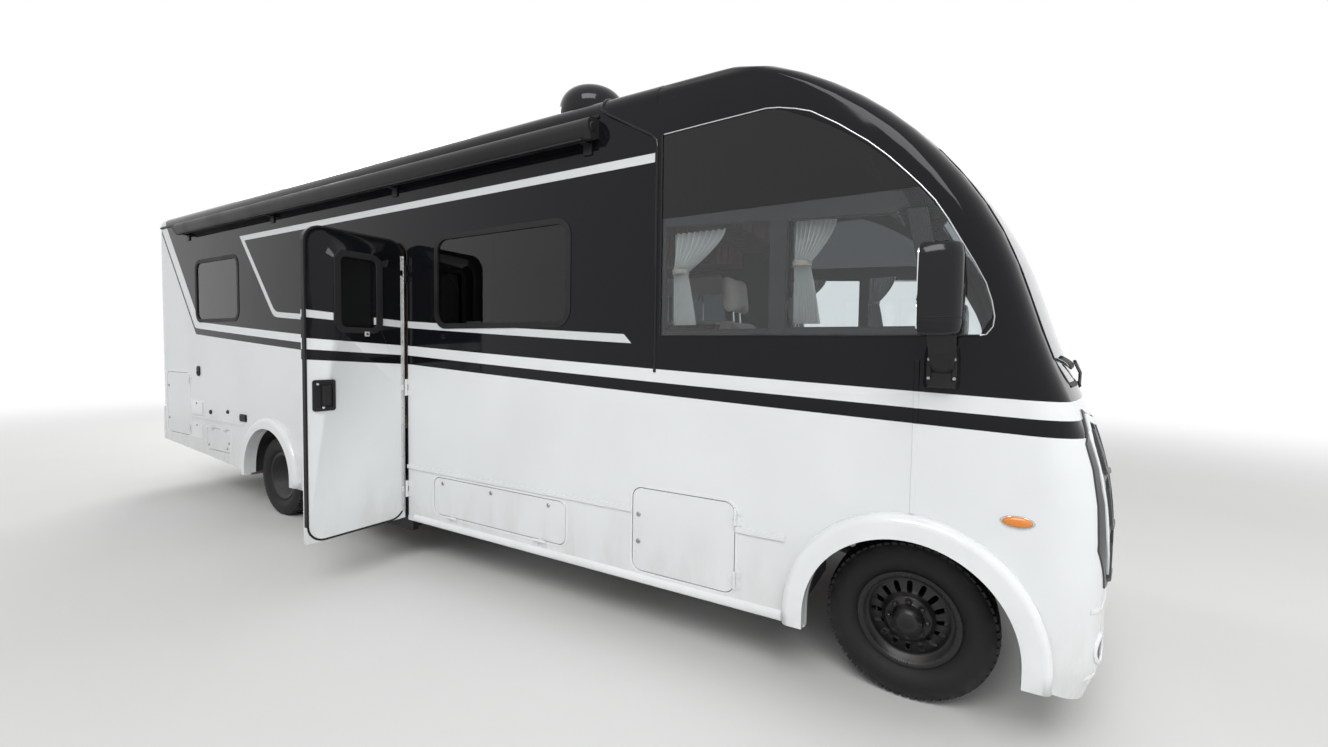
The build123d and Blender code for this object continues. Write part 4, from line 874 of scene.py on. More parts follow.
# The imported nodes

NODE_FINISH: dict[str, Finish] = {name: finish for finish, names in (
    (PAINT, "front_cap right_wall left_wall right_skirt left_skirt rear_wall roof long_door_right"),
    (PAINT, "long_door_left square_door tall_door access_door"),
    (DOOR_PAINT, "entry_door"),
    (WHITE, "arch_flares rear_bumper service_hatches"),
    (TINTED, "windscreen"),
    (SIDE_GLASS, "side_glass"),
    (DARK_GLASS, "entry_door_glass headlamps"),
    (LENS, "fog_lamps"),
    (AMBER, "marker_lamps"),
    (RED, "tail_lamps"),
    (RUBBER, "window_frames front_left_tyre front_right_tyre rear_left_tyres rear_right_tyres"),
    (WHEEL_BLACK, "front_left_rim front_right_rim rear_left_rims rear_right_rims"),
    (BLACK_GLOSS, "mirrors aerial_dome"),
    (BLACK_SATIN, "grille awning_case"),
    (BLACK_GRAINED, "entry_step dashboard steering_wheel tanks"),
    (BEZEL_GREY, "lamp_bezels"),
    (GREY, "baggage_tubs"),
    (ROOF_SHEET, "roof_air_unit roof_vents"),
    (STEEL, "wheel_wells chassis_frame tow_receiver tie_rod"),
    (CAST, "front_axle rear_axle engine_block left_knuckle right_knuckle"),
    (PIPE, "exhaust"),
    (FLOORING, "floor"),
    (VENEER, "furniture"),
    (SEAT_CLOTH, "cab_seats"),
    (PALE_CLOTH, "cushions"),
) for name in names.split()}

CURVED_NODES: dict[str, float] = {"front_cap": 20.0, "roof": 24.0, "windscreen": 20.0, "side_glass": 20.0,
    "arch_flares": 30.0, "lamp_bezels": 24.0, "headlamps": 24.0, "grille": 24.0, "aerial_dome": 30.0,
    "roof_air_unit": 30.0, "roof_vents": 30.0, "tail_lamps": 30.0, "steering_wheel": 40.0,
    "front_axle": 35.0, "rear_axle": 35.0, "exhaust": 35.0, "tanks": 35.0, "rear_bumper": 30.0,
    "front_left_rim": 30.0, "front_right_rim": 30.0, "rear_left_rims": 30.0, "rear_right_rims": 30.0,
    "left_knuckle": 35.0, "right_knuckle": 35.0, "tie_rod": 35.0, "entry_door": 20.0,
    "window_frames": 30.0}


NODE_BODY: dict[str, str] = {"entry_door": "entry_door", "left_knuckle": "left_knuckle",
    "right_knuckle": "right_knuckle", "tie_rod": "tie_rod", "front_left_rim": "front_left_wheel",
    "front_right_rim": "front_right_wheel", "rear_left_rims": "rear_left_wheels",
    "rear_right_rims": "rear_right_wheels"}


def dress_nodes(frame: dict) -> None:
    """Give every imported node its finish."""
    for name, node in frame["nodes"].items():
        node.data.materials.clear()
        node.data.materials.append(NODE_FINISH[name].material())


def smooth_nodes(yard: Yard) -> None:
    """Stand a merged copy with smooth shading in for each curved node."""
    for name, crease in CURVED_NODES.items():
        mesh = yard.frame["nodes"][name].data.copy()
        mesh.name = name + "_smooth"
        work = bmesh.new()
        work.from_mesh(mesh)
        bmesh.ops.remove_doubles(work, verts=work.verts, dist=SAME_CORNER)
        bmesh.ops.dissolve_degenerate(work, edges=work.edges, dist=SAME_PLACE)
        work.to_mesh(mesh)
        work.free()
        yard.piece(name + "_smooth", mesh, NODE_FINISH[name], NODE_BODY.get(name, "coach"), crease=crease,
            replaces=[name])


# Wheels


@dataclass
class Wheels(Assembly):
    """Tyres with their tread, and the fastenings on the rims."""

    radius: float = 0.372
    width: float = 0.223
    groove: float = 0.009
    lugs: int = 64
    front_y: float = 0.878
    outer_y: float = 1.0225
    inner_y: float = 0.7425
    nut_count: int = 8

    def carcass(self) -> list[Point2]:
        """Outline of the tyre without its tread blocks, (radius, place across)."""
        half = self.width / 2
        deep = self.radius - self.groove
        side = [(0.208, -0.074), (0.226, -0.076), (0.232, -0.084), (0.25, -0.1), (0.272, -0.1095),
                (0.292, -half), (0.315, -0.11), (0.334, -0.103), (0.35, -0.0965), (0.357, -0.088),
                (0.361, -0.074)]
        rows = [(-0.058, -0.052), (-0.022, -0.016), (0.016, 0.022), (0.052, 0.058)]
        line = list(side)
        for low, high in rows:
            line += [(deep + 0.0005, low), (deep - 0.004, low + 0.001), (deep - 0.004, high - 0.001),
                     (deep + 0.0005, high)]
        line += [(radius, -place) for radius, place in reversed(side)]
        return line

    def tread(self, y: float, x: float) -> list[Shape]:
        """First block of each tread row."""
        rows = ((-0.094, -0.06, 0.0), (-0.05, -0.024, 0.5), (-0.014, 0.014, 0.0), (0.024, 0.05, 0.5),
                (0.06, 0.094, 0.0))
        low = self.radius - self.groove - 0.003
        blocks = []
        pitch = 2 * math.pi / self.lugs
        for start, end, stagger in rows:
            rings = []
            for place in (start, end):
                drop = 0.01 if abs(place) > 0.09 else 0.0012 * (abs(place) / 0.06) ** 2
                ring = []
                for turn, high in ((-0.36, False), (-0.36, True), (0.36, True), (0.36, False)):
                    radius = self.radius - drop if high else low - (0.012 if abs(place) > 0.09 else 0.0)
                    lean = 0.12 * (1 if place == start else -1) * (1 if abs(start + end) > 0.05 else -1)
                    angle = pitch * (turn + lean + stagger)
                    ring.append((x + radius * math.sin(angle), y + place, AXLE_Z + radius * math.cos(angle)))
                rings.append(ring)
            blocks.append(Shape().skin(rings))
        return blocks

    def tyre(self, name: str, x: float, ys: Sequence[float], body: str, node: str) -> None:
        """Make the tyres of one wheel body."""
        finish = Tread("tyre_rubber_" + name, (0.012, 0.012, 0.013), 0.7, centre=(x, AXLE_Z))
        for order, y in enumerate(ys):
            label = name if len(ys) == 1 else name + ("_outer", "_inner")[order]
            shape = Shape().turned(self.carcass(), (x, y, AXLE_Z), sides=96)
            self.piece("tyre_" + label, shape, finish, body, replaces=[node])
            for row, block in enumerate(self.tread(y, x)):
                self.row(f"tread_{label}_{row}", block, (x, y, AXLE_Z), finish, self.lugs,
                         turn=(0.0, 2 * math.pi / self.lugs, 0.0), body=body)

    def front_hub(self, side: Side, body: str) -> None:
        """Hub cap, boss and nuts of a front wheel."""
        way = side.value
        y = way * self.front_y
        label = side.label
        face = 0.07
        cap = [(0.0, face + 0.052), (0.03, face + 0.052), (0.044, face + 0.049), (0.053, face + 0.042),
               (0.0575, face + 0.03), (0.059, face + 0.001), (0.0, face + 0.001)]
        self.piece("hub_cap_front_" + label, Shape().turned(cap, (0, y, AXLE_Z), way=way), WHEEL_BLACK,
            body, crease=40)
        badge = [(0.0, face + 0.054), (0.024, face + 0.054), (0.027, face + 0.0525),
            (0.027, face + 0.051), (0.0, face + 0.051)]
        self.piece("hub_boss_front_" + label, Shape().turned(badge, (0, y, AXLE_Z), way=way), BLACK_SATIN,
            body)
        self.nuts("front_" + label, 0.0, y + way * face, way, 0.082, body)

    def nuts(self, label: str, x: float, y: float, way: float, ring: float, body: str) -> None:
        """Ring of wheel nuts with their washers."""
        nut = Shape()
        centre = (x, y, AXLE_Z + ring)
        nut.turned([(0.0, 0.02), (0.006, 0.02), (0.0105, 0.017), (0.0125, 0.012), (0.0125, 0.002),
            (0.0, 0.002)], centre, sides=6, way=way)
        nut.turned([(0.0, 0.004), (0.017, 0.004), (0.018, 0.0), (0.0, 0.0)], centre, sides=20, way=way)
        self.row("wheel_nuts_" + label, nut, (x, y, AXLE_Z), WHEEL_BLACK, self.nut_count,
                 turn=(0.0, 2 * math.pi / self.nut_count, 0.0), body=body)

    def build(self) -> None:
        """Make all six tyres and the fastenings."""
        for side in Side:
            label = side.label
            self.tyre("front_" + label, 0.0, [side.value * self.front_y], f"front_{label}_wheel",
                      f"front_{label}_tyre")
            self.tyre("rear_" + label, REAR_AXLE, [side.value * self.outer_y, side.value * self.inner_y],
                      f"rear_{label}_wheels", f"rear_{label}_tyres")
            self.front_hub(side, f"front_{label}_wheel")
            disc = side.value * (self.outer_y + self.inner_y) / 2 + side.value * 0.012
            self.nuts("rear_" + label, REAR_AXLE, disc, side.value, 0.088, f"rear_{label}_wheels")


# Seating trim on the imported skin


class Skin:
    """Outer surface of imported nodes, which trim is seated on."""

    ahead = 3.0
    aft = (-1.0, 0.0, 0.0)

    def __init__(self, frame: dict, *names: str) -> None:
        """Gather the faces of the named nodes, in vehicle coordinates."""
        points: list[Vector] = []
        faces: list[tuple[int, ...]] = []
        for name in names:
            mesh = frame["nodes"][name].data
            start = len(points)
            points.extend(vertex.co - ORIGIN for vertex in mesh.vertices)
            faces.extend(tuple(start + index for index in polygon.vertices) for polygon in mesh.polygons)
        self.tree = BVHTree.FromPolygons(points, faces)

    def hit(self, start: Sequence[float], way: Sequence[float]) -> tuple[Vector, Vector]:
        """First point of the skin along a line of sight, with its normal.

        Args:
            start: Where the line starts, outside the vehicle.
            way: The line's direction.

        Returns:
            The point and the outward normal there.
        """
        point, normal, _index, _reach = self.tree.ray_cast(Vector(start), Vector(way))
        if point is None:
            raise ValueError(f"no skin ahead of {tuple(start)}")
        if normal.dot(Vector(way)) > 0:
            normal = -normal
        return point, normal

    def front(self, y: float, z: float) -> tuple[Vector, Vector]:
        """Point of the nose at a place in the front view."""
        return self.hit((self.ahead, y, z), self.aft)

    def ribbon(self, path: Sequence[Point2], width: float, proud: float, sink: float = 0.004,
               steps: int = 12, round_off: float = 0.35) -> Shape:
        """Strip that follows the nose along a path of the front view.

        Args:
            path: Corner points (y, z) of the middle line.
            width: The strip's width.
            proud: How far its top stands off the skin.
            sink: How far its foot reaches into the skin.
            steps: Points on each run of the path.
            round_off: Share of the height lost at the strip's edges.

        Returns:
            The strip.
        """
        line: list[Vector] = []
        for start, end in zip(path, path[1:]):
            line += [Vector(start).lerp(Vector(end), step / steps) for step in range(steps)]
        line.append(Vector(path[-1]))
        rings = []
        for index, place in enumerate(line):
            before = line[max(index - 1, 0)]
            after = line[min(index + 1, len(line) - 1)]
            run = (after - before).normalized()
            over = Vector((-run.y, run.x))
            ring = []
            for share, height in ((-0.5, -sink), (-0.5, proud * (1 - round_off)), (-0.3, proud),
                    (0.3, proud), (0.5, proud * (1 - round_off)), (0.5, -sink)):
                spot = place + over * (width * share)
                point, normal = self.front(spot.x, spot.y)
                ring.append(point + normal * height)
            rings.append(ring)
        return Shape().skin(rings)


def frame_at(point: Vector, normal: Vector) -> Matrix:
    """Matrix whose z axis is a normal at a point, with x level."""
    out = normal.normalized()
    level = Vector((0, 0, 1)).cross(out)
    level = level.normalized() if level.length > 1e-4 else Vector((1, 0, 0))
    over = out.cross(level)
    place = Matrix((level, over, out)).transposed().to_4x4()
    place.translation = point
    return place


def placed(shape: Shape, place: Matrix) -> Shape:
    """Copy of a shape carried by a matrix."""
    return Shape([place @ point for point in shape.points], list(shape.faces))


def joined(*shapes: Shape) -> Shape:
    """One shape that holds several."""
    whole = Shape()
    for shape in shapes:
        whole.add(shape.points, shape.faces)
    return whole


# Soft pieces


@dataclass
class Pad:
    """Stuffed pad: a crowned closed form whose sides pull in between its corners."""

    low: Point
    high: Point
    crown: float = 0.35
    pull: float = 0.03
    edge: float = 0.22
    channels: int = 0
    channel_axis: Axis = Axis.Y
    channel_depth: float = 0.01
    thin: Axis = Axis.Z
    grid: int = 36

    def shape(self) -> Shape:
        """The pad with its sewn channels."""
        middle = (Vector(self.low) + Vector(self.high)) / 2
        half = (Vector(self.high) - Vector(self.low)) / 2
        thin = self.thin.value
        flat = [index for index in range(3) if index != thin]
        rings = []
        count = self.grid
        shape = Shape()
        layers = (-1.0, -0.8, -0.4, 0.0, 0.4, 0.8, 1.0)
        for layer in layers:
            ring = []
            tuck = self.edge * (1 - math.sqrt(max(0.0, 1 - layer ** 4))) * half[thin]
            for side in range(4):
                for step in range(count):
                    share = 2 * step / count - 1
                    corner = {0: (share, -1.0), 1: (1.0, share), 2: (-share, 1.0), 3: (-1.0, -share)}[side]
                    ring.append(self.outline(middle, half, flat, thin, corner, layer, tuck))
            rings.append(ring)
        shape.skin(rings, caps=False)
        for way in (-1.0, 1.0):
            self.cover(shape, middle, half, flat, thin, way)
        return shape

    def outline(self, middle: Vector, half: Vector, flat: list[int], thin: int, corner: Point2, layer: float,
                tuck: float) -> Vector:
        """One point of the pad's side."""
        first, second = self.squared(corner)
        point = Vector(middle)
        point[flat[0]] += first * (half[flat[0]] - tuck)
        point[flat[1]] += second * (half[flat[1]] - tuck)
        point[thin] += layer * half[thin] * (1 - self.crown)
        return point

    def squared(self, corner: Point2) -> Point2:
        """Place on the outline with rounded corners and sides that pull in."""
        first, second = corner
        round_off = 0.06 * (abs(first) * abs(second)) ** 6
        pull_first = self.pull * (1 - second * second) * abs(first) ** 4
        pull_second = self.pull * (1 - first * first) * abs(second) ** 4
        return first * (1 - pull_first - round_off), second * (1 - pull_second - round_off)

    def cover(self, shape: Shape, middle: Vector, half: Vector, flat: list[int], thin: int,
            way: float) -> None:
        """One face of the pad, crowned and sewn."""
        count = self.grid
        tuck = self.edge * half[thin]
        points = []
        for row in range(count + 1):
            for column in range(count + 1):
                first = 2 * column / count - 1
                second = 2 * row / count - 1
                spot = self.squared((first, second))
                point = Vector(middle)
                point[flat[0]] += spot[0] * (half[flat[0]] - tuck)
                point[flat[1]] += spot[1] * (half[flat[1]] - tuck)
                rise = (1 - abs(first) ** 5) * (1 - abs(second) ** 5)
                height = half[thin] * ((1 - self.crown) + self.crown * rise ** 0.5)
                height -= self.channel_depth * self.seam(first, second, flat) * rise ** 0.5
                point[thin] += way * height
                points.append(point)
        faces = []
        for row in range(count):
            for column in range(count):
                base = row * (count + 1) + column
                faces.append((base, base + 1, base + count + 2, base + count + 1))
        shape.add(points, faces)

    def seam(self, first: float, second: float, flat: list[int]) -> float:
        """Depth share of the sewn channels at a place of the cover."""
        if not self.channels:
            return 0.0
        along = first if flat[0] == self.channel_axis.value else second
        place = (along + 1) / 2 * self.channels
        gap = abs(place - round(place))
        if round(place) in (0, self.channels):
            return 0.0
        return math.exp(-(gap * 14) ** 2)


@dataclass
class Curtain:
    """Gathered sheer curtain, tied back at one height."""

    x: float
    y: float
    low: float
    high: float
    cloth: float
    wide_top: float
    wide_tie: float
    wide_low: float
    tie: float = 0.42
    pleats: int = 9
    steps: int = 96
    columns: int = 108
    rows: int = 26

    def width(self, share: float) -> float:
        """Hanging width at a share of the height from the top."""
        if share < self.tie:
            ease = (share / self.tie) ** 1.6
            return self.wide_top + (self.wide_tie - self.wide_top) * ease
        ease = ((share - self.tie) / (1 - self.tie)) ** 0.8
        return self.wide_tie + (self.wide_low - self.wide_tie) * ease

    def depth(self, width: float) -> float:
        """Pleat depth that takes up the cloth over a hanging width."""
        low, high = 0.0, 0.12
        for _turn in range(24):
            middle = (low + high) / 2
            if self.run(width, middle) < self.cloth:
                low = middle
            else:
                high = middle
        return low

    def run(self, width: float, depth: float) -> float:
        """Length of the pleated line over a hanging width."""
        total = 0.0
        last = None
        for step in range(self.steps + 1):
            share = step / self.steps
            spot = (share * width, depth * math.sin(share * self.pleats * 2 * math.pi))
            if last is not None:
                total += math.hypot(spot[0] - last[0], spot[1] - last[1])
            last = spot
        return total

    def shape(self) -> Shape:
        """The hung cloth as one open sheet."""
        rings = []
        tall = self.high - self.low
        for row in range(self.rows + 1):
            share = row / self.rows
            width = self.width(share)
            depth = self.depth(width)
            z = self.high - tall * share
            ring = []
            for column in range(self.columns + 1):
                place = column / self.columns
                wave = math.sin(place * self.pleats * 2 * math.pi + 0.5 * math.sin(share * 3 + place * 5))
                ring.append((self.x + width * place, self.y + depth * wave, z))
            rings.append(ring)
        return Shape().skin(rings, closed=False, caps=False)


# Body trim


@dataclass
class BodyTrim(Assembly):
    """Seam mouldings, the drip rail and the lower edge of the body."""

    seam_x: float = -1.256
    roof_x: float = -1.62
    front_seam_x: float = 0.02
    belt_z: float = 1.49
    arch_top: float = 0.936
    drip_z: float = 2.915

    def build(self) -> None:
        """Make the mouldings of both sides."""
        edge = ROOF_Z - 0.1
        y = -HALF + 0.002
        over = [(self.roof_x, -1.09 - 0.1 * math.sin(turn), edge + 0.1 * math.cos(turn))
                for turn in (math.pi / 2 * step / 8 for step in range(8))]
        rise = [(self.roof_x, 0.0, ROOF_Z), (self.roof_x, -0.6, ROOF_Z)] + over
        down = [(-1.6, y, 2.93), (-1.57, y, 2.905), (-1.29, y, 2.745), (self.seam_x - 0.006, y, 2.715),
                (self.seam_x, y, 2.68), (self.seam_x, y, self.belt_z)]
        back = Shape().pipe(rise + down, 0.009, sides=14)
        self.both("cap_back_moulding", back, BLACK_GLOSS, crease=60)
        front = Shape().prism([(-0.011 + self.front_seam_x, -HALF + 0.001),
            (0.011 + self.front_seam_x, -HALF + 0.001), (0.009 + self.front_seam_x, -HALF - 0.005),
            (-0.009 + self.front_seam_x, -HALF - 0.005)], Axis.Z, self.arch_top, 1.585)
        self.both("cap_front_moulding", front, PAINT, bevel=0.002)
        belt = Shape().prism(corners((self.seam_x, 1.424), (self.front_seam_x, 1.436)), Axis.Y,
            -HALF - 0.0012, -HALF + 0.001)
        self.both("cap_lower_joint", belt, PAINT)
        rail = Shape().prism([(-HALF + 0.001, self.drip_z - 0.014), (-HALF - 0.01, self.drip_z - 0.012),
            (-HALF - 0.014, self.drip_z - 0.002), (-HALF - 0.014, self.drip_z + 0.004),
            (-HALF - 0.009, self.drip_z + 0.004), (-HALF - 0.008, self.drip_z - 0.005),
            (-HALF + 0.001, self.drip_z + 0.012)], Axis.X, TAIL + 0.03, self.roof_x - 0.02)
        self.both("drip_rail", rail, BLACK_SATIN, bevel=0.001)
        corner = Shape().prism([(TAIL - 0.002, -HALF + 0.04), (TAIL - 0.002, -HALF + 0.016),
            (TAIL + 0.004, -HALF + 0.004), (TAIL + 0.016, -HALF - 0.002), (TAIL + 0.045, -HALF - 0.002),
            (TAIL + 0.045, -HALF + 0.001), (TAIL + 0.02, -HALF + 0.012), (TAIL + 0.006, -HALF + 0.04)],
            Axis.Z, 0.9, 2.9)
        self.both("rear_corner_moulding", corner, WHITE, crease=50)
        self.lower_edge()

    def lower_edge(self) -> None:
        """Rolled lower edge of the skirt between the arches."""
        def lip(start: float, end: float, z: float) -> Shape:
            """One length of the rolled edge."""
            profile = [(-HALF + 0.002, z - 0.002), (-HALF - 0.004, z), (-HALF - 0.01, z + 0.012),
                (-HALF - 0.01, z + 0.03), (-HALF - 0.004, z + 0.046), (-HALF + 0.002, z + 0.05)]
            return Shape().prism(profile, Axis.X, start, end)
        right = joined(lip(-3.3, -0.53, 0.326), lip(-4.84, -4.13, 0.326))
        self.piece("skirt_edge_right", right, WHITE, bevel=0.002, crease=50)
        self.piece("skirt_edge_left", lip(-4.84, -0.53, 0.326).mirrored(), WHITE, bevel=0.002, crease=50)


@dataclass
class SideWindows(Assembly):
    """Bars, gaskets, shades and curtains of the side windows."""

    glass_y: float = 1.178
    bar: float = 0.035

    def arc_points(self) -> list[Point2]:
        """Upper outline of the cab window in the side view, from its rear corner to its front tip."""
        return [(-1.215, 2.735), (-1.0, 2.743), (-0.66, 2.753),
                (-0.6, 2.744), (-0.52, 2.722), (-0.45, 2.696), (-0.33, 2.618), (-0.202, 2.52), (-0.12, 2.445),
                (-0.04, 2.36), (0.012, 2.302), (0.065, 2.236), (0.115, 2.155), (0.163, 2.066), (0.21, 1.98),
                (0.254, 1.891), (0.276, 1.82), (0.287, 1.76), (0.283, 1.72), (0.262, 1.69), (0.235, 1.685)]

    def cab_window(self) -> None:
        """Bars, pane gaskets and bright line of the cab windows."""
        y = -self.glass_y
        bright = Shape().pipe(stand(self.arc_points(), Axis.Y, -HALF - 0.0012), 0.0032, sides=8)
        self.both("cab_window_bright_line", bright, CHROME, crease=60)
        sill = Shape().pipe([(x, -HALF - 0.0005, 1.685) for x in (-1.225, -0.6, 0.0, 0.24)], 0.0045, sides=8)
        rear = Shape().pipe([(-1.226, -HALF - 0.0005, z) for z in (1.685, 2.2, 2.735)], 0.0045, sides=8)
        self.both("cab_window_seal", joined(sill, rear), RUBBER, crease=60)
        bars = Shape()
        for inset, outline in ((0.0, [(-1.225, 2.262), (-0.1, 2.205), (-0.03, 2.235), (-0.06, 2.29),
                (-0.25, 2.325), (-1.225, 2.355)]), (0.0006, [(-0.632, 1.69), (-0.552, 1.69),
                (-0.552, 2.23), (-0.632, 2.24)]), (0.0012, corners((-1.225, 1.686), (-0.63, 1.716))),
                (0.0012, [(-0.553, 1.686), (0.1, 1.686), (0.085, 1.722), (-0.553, 1.722)]),
                (0.0018, [(0.06, 1.7), (0.135, 1.7), (0.035, 2.215), (-0.04, 2.215)]),
                (0.0024, corners((-1.225, 1.69), (-1.204, 2.27)))):
            bars.prism(outline, Axis.Y, y + inset, y + self.bar)
        self.both("cab_window_bars", bars, BLACK_SATIN, bevel=0.003)
        for label, outline in (
                ("rear", [(-1.204, 1.716), (-0.632, 1.716), (-0.632, 2.228), (-1.204, 2.26)]),
                ("front", [(-0.552, 1.722), (0.06, 1.722), (-0.034, 2.196), (-0.552, 2.222)])):
            ring = Shape().pipe(stand(outline, Axis.Y, y + 0.004), 0.005, sides=8, closed=True)
            self.both("cab_pane_gasket_" + label, ring, RUBBER, crease=60)

    def framed(self) -> None:
        """Sliding bars and shades of the framed windows."""
        for label, x0, x1, z0, z1 in (("middle", -3.05, -1.85, 1.75, 2.37),
                ("rear", -6.96, -6.0, 1.845, 2.475)):
            middle = x0 + (x1 - x0) * 0.47
            y = -self.glass_y + 0.001
            bars = Shape().box((middle - 0.017, y, z0 + 0.022), (middle + 0.017, y + 0.016, z1 - 0.022))
            bars.box((middle + 0.017, y + 0.004, z0 + 0.022), (x1 - 0.03, y + 0.012, z0 + 0.038))
            bars.box((middle + 0.017, y + 0.004, z1 - 0.038), (x1 - 0.03, y + 0.012, z1 - 0.022))
            self.both("window_slide_" + label, bars, BLACK_SATIN, bevel=0.002)
            shade = Shape().plate((x0 + 0.03, z1 - 0.2), (x1 - 0.03, z1 - 0.035), 0.05, Axis.Y, y + 0.03,
                y + 0.034)
            rail = Shape().rod((x0 + 0.06, y + 0.036, z1 - 0.2), (x1 - 0.06, y + 0.036, z1 - 0.2), 0.01)
            self.both("window_shade_" + label, joined(shade, rail), BEIGE)

    def curtains(self) -> None:
        """Sheer curtains beside the cab panes."""
        for side in Side:
            for label, x, cloth, top in (("rear", -1.195, 0.75, 0.3), ("front", -0.54, 0.62, 0.2)):
                curtain = Curtain(x, side.value * 1.09, 1.745, 2.235, cloth, top, 0.075, 0.13)
                name = f"curtain_{label}_{side.label}"
                piece = self.piece(name, curtain.shape(), CURTAIN, crease=180)
                tie = Shape().turned([(0.04, -0.014), (0.046, -0.012), (0.046, 0.012), (0.04, 0.014)],
                    (x + 0.038, side.value * 1.09, 2.03), Axis.Z, sides=24)
                self.piece("curtain_tie_" + label + "_" + side.label, tie, PALE_CLOTH, crease=50)

    def build(self) -> None:
        """Make every side window's details."""
        self.cab_window()
        self.framed()
        self.curtains()


@dataclass
class EntryDoor(Assembly):
    """Trim, handle and hinge of the entry door, which stands open on its front edge."""

    body = "entry_door"
    face_x: float = -3.382
    back_x: float = -3.422
    hinge_y: float = -1.202
    low: float = 0.345
    high: float = 2.366

    def at(self, reach: float) -> float:
        """Value of y at a distance from the hinge."""
        return self.hinge_y - reach

    def outline(self, inset: float, radius: float) -> list[Point2]:
        """Outline (y, z) of the door, inset from its edge."""
        return rounded_outline((self.at(0.68) + inset, self.low + inset),
            (self.at(0.006) - inset, self.high - inset), radius)

    def ring(self, outer: Sequence[Point2], inner: Sequence[Point2], low: float, high: float) -> Shape:
        """Flat ring between two outlines of equal length, facing x."""
        return Shape().hollow([stand(outline, Axis.X, place) for outline, place in (
            (outer, low), (outer, high), (inner, high), (inner, low))])

    def build(self) -> None:
        """Make the door's trim."""
        edge = self.ring(self.outline(-0.0005, 0.112), self.outline(0.012, 0.1), self.face_x - 0.03,
            self.face_x + 0.0025)
        self.piece("door_edge_seal", edge, RUBBER, bevel=0.001)
        low, high = (self.at(0.503), 1.695), (self.at(0.172), 2.234)
        outer = rounded_outline(low, high, 0.075, 8)
        inner = rounded_outline((low[0] + 0.046, low[1] + 0.036), (high[0] - 0.046, high[1] - 0.04), 0.035, 8)
        trim = self.ring(outer, inner, self.face_x - 0.004, self.face_x + 0.012)
        self.piece("door_window_trim", trim, BLACK_GRAINED, bevel=0.004, crease=40)
        inside = self.ring(outer, inner, self.back_x - 0.014, self.back_x + 0.004)
        self.piece("door_window_trim_inside", inside, GREY, bevel=0.004, crease=40)
        self.handle()
        self.hinge()
        self.inside()

    def handle(self) -> None:
        """Recessed paddle handle with its lock, and the small lock above."""
        plate_low, plate_high = (self.at(0.639), 1.187), (self.at(0.499), 1.388)
        x = self.face_x
        outer = rounded_outline(plate_low, plate_high, 0.016)
        inner = rounded_outline((plate_low[0] + 0.018, plate_low[1] + 0.02),
            (plate_high[0] - 0.018, plate_high[1] - 0.022), 0.01)
        plate = self.ring(outer, inner, x - 0.001, x + 0.01)
        cup = Shape().prism(inner, Axis.X, x - 0.0008, x + 0.002)
        self.piece("handle_plate", joined(plate, cup), BLACK_GRAINED, bevel=0.003)
        paddle = Shape().skin([[(x + 0.004, plate_high[0] - 0.03, z),
            (x + 0.019, plate_high[0] - 0.034, z), (x + 0.021, plate_low[0] + 0.06, z),
            (x + 0.008, plate_low[0] + 0.052, z)] for z in (1.222, 1.236, 1.29, 1.338, 1.35)])
        self.piece("handle_paddle", paddle, BLACK_SATIN, bevel=0.005, crease=40)
        locks = Shape()
        for y, z in ((plate_low[0] + 0.028, 1.362), (plate_low[0] + 0.062, 1.21)):
            locks.turned([(0.0, 0.0), (0.0085, 0.0), (0.0085, 0.004), (0.006, 0.0055), (0.0, 0.0055)],
                (x + 0.009, y, z), Axis.X, 20)
            locks.box((x + 0.0138, y - 0.0008, z - 0.004), (x + 0.0148, y + 0.0008, z + 0.004))
        self.piece("handle_locks", locks, CHROME)
        y, z = self.at(0.289), 1.69
        square = Shape().plate((y - 0.016, z - 0.016), (y + 0.016, z + 0.016), 0.004, Axis.X, x + 0.01,
            x + 0.017)
        self.piece("door_bolt_plate", square, SILVER, bevel=0.001)
        boss = Shape().turned([(0.0, 0.0), (0.008, 0.0), (0.007, 0.004), (0.0, 0.004)], (x + 0.016, y, z),
            Axis.X, 20)
        self.piece("door_bolt_boss", boss, BLACK_SATIN)

    def hinge(self) -> None:
        """Continuous hinge: leaf, knuckles and screws along the door's front edge."""
        x = self.face_x
        y = self.at(0.012)
        leaf = Shape().box((x + 0.0005, self.at(0.034), 0.4), (x + 0.0035, self.at(0.01), 2.26))
        self.piece("hinge_leaf", leaf, SILVER, bevel=0.001)
        knuckle = Shape().turned([(0.0, 0.001), (0.0052, 0.001), (0.006, 0.003), (0.006, 0.028),
            (0.0052, 0.03), (0.0, 0.03)], (x + 0.004, y, 0.4), Axis.Z, 12)
        self.row("hinge_knuckles", knuckle, (x + 0.004, y, 0.4), ZINC, 60, step=(0.0, 0.0, 0.031))
        screw = Shape().turned([(0.0, 0.0), (0.005, 0.0), (0.0042, 0.0016), (0.0, 0.0022)],
            (x + 0.0034, self.at(0.025), 0.44), Axis.X, 10)
        self.row("hinge_screws", screw, (x + 0.0034, self.at(0.025), 0.44), ZINC, 16, step=(0.0, 0.0, 0.12))

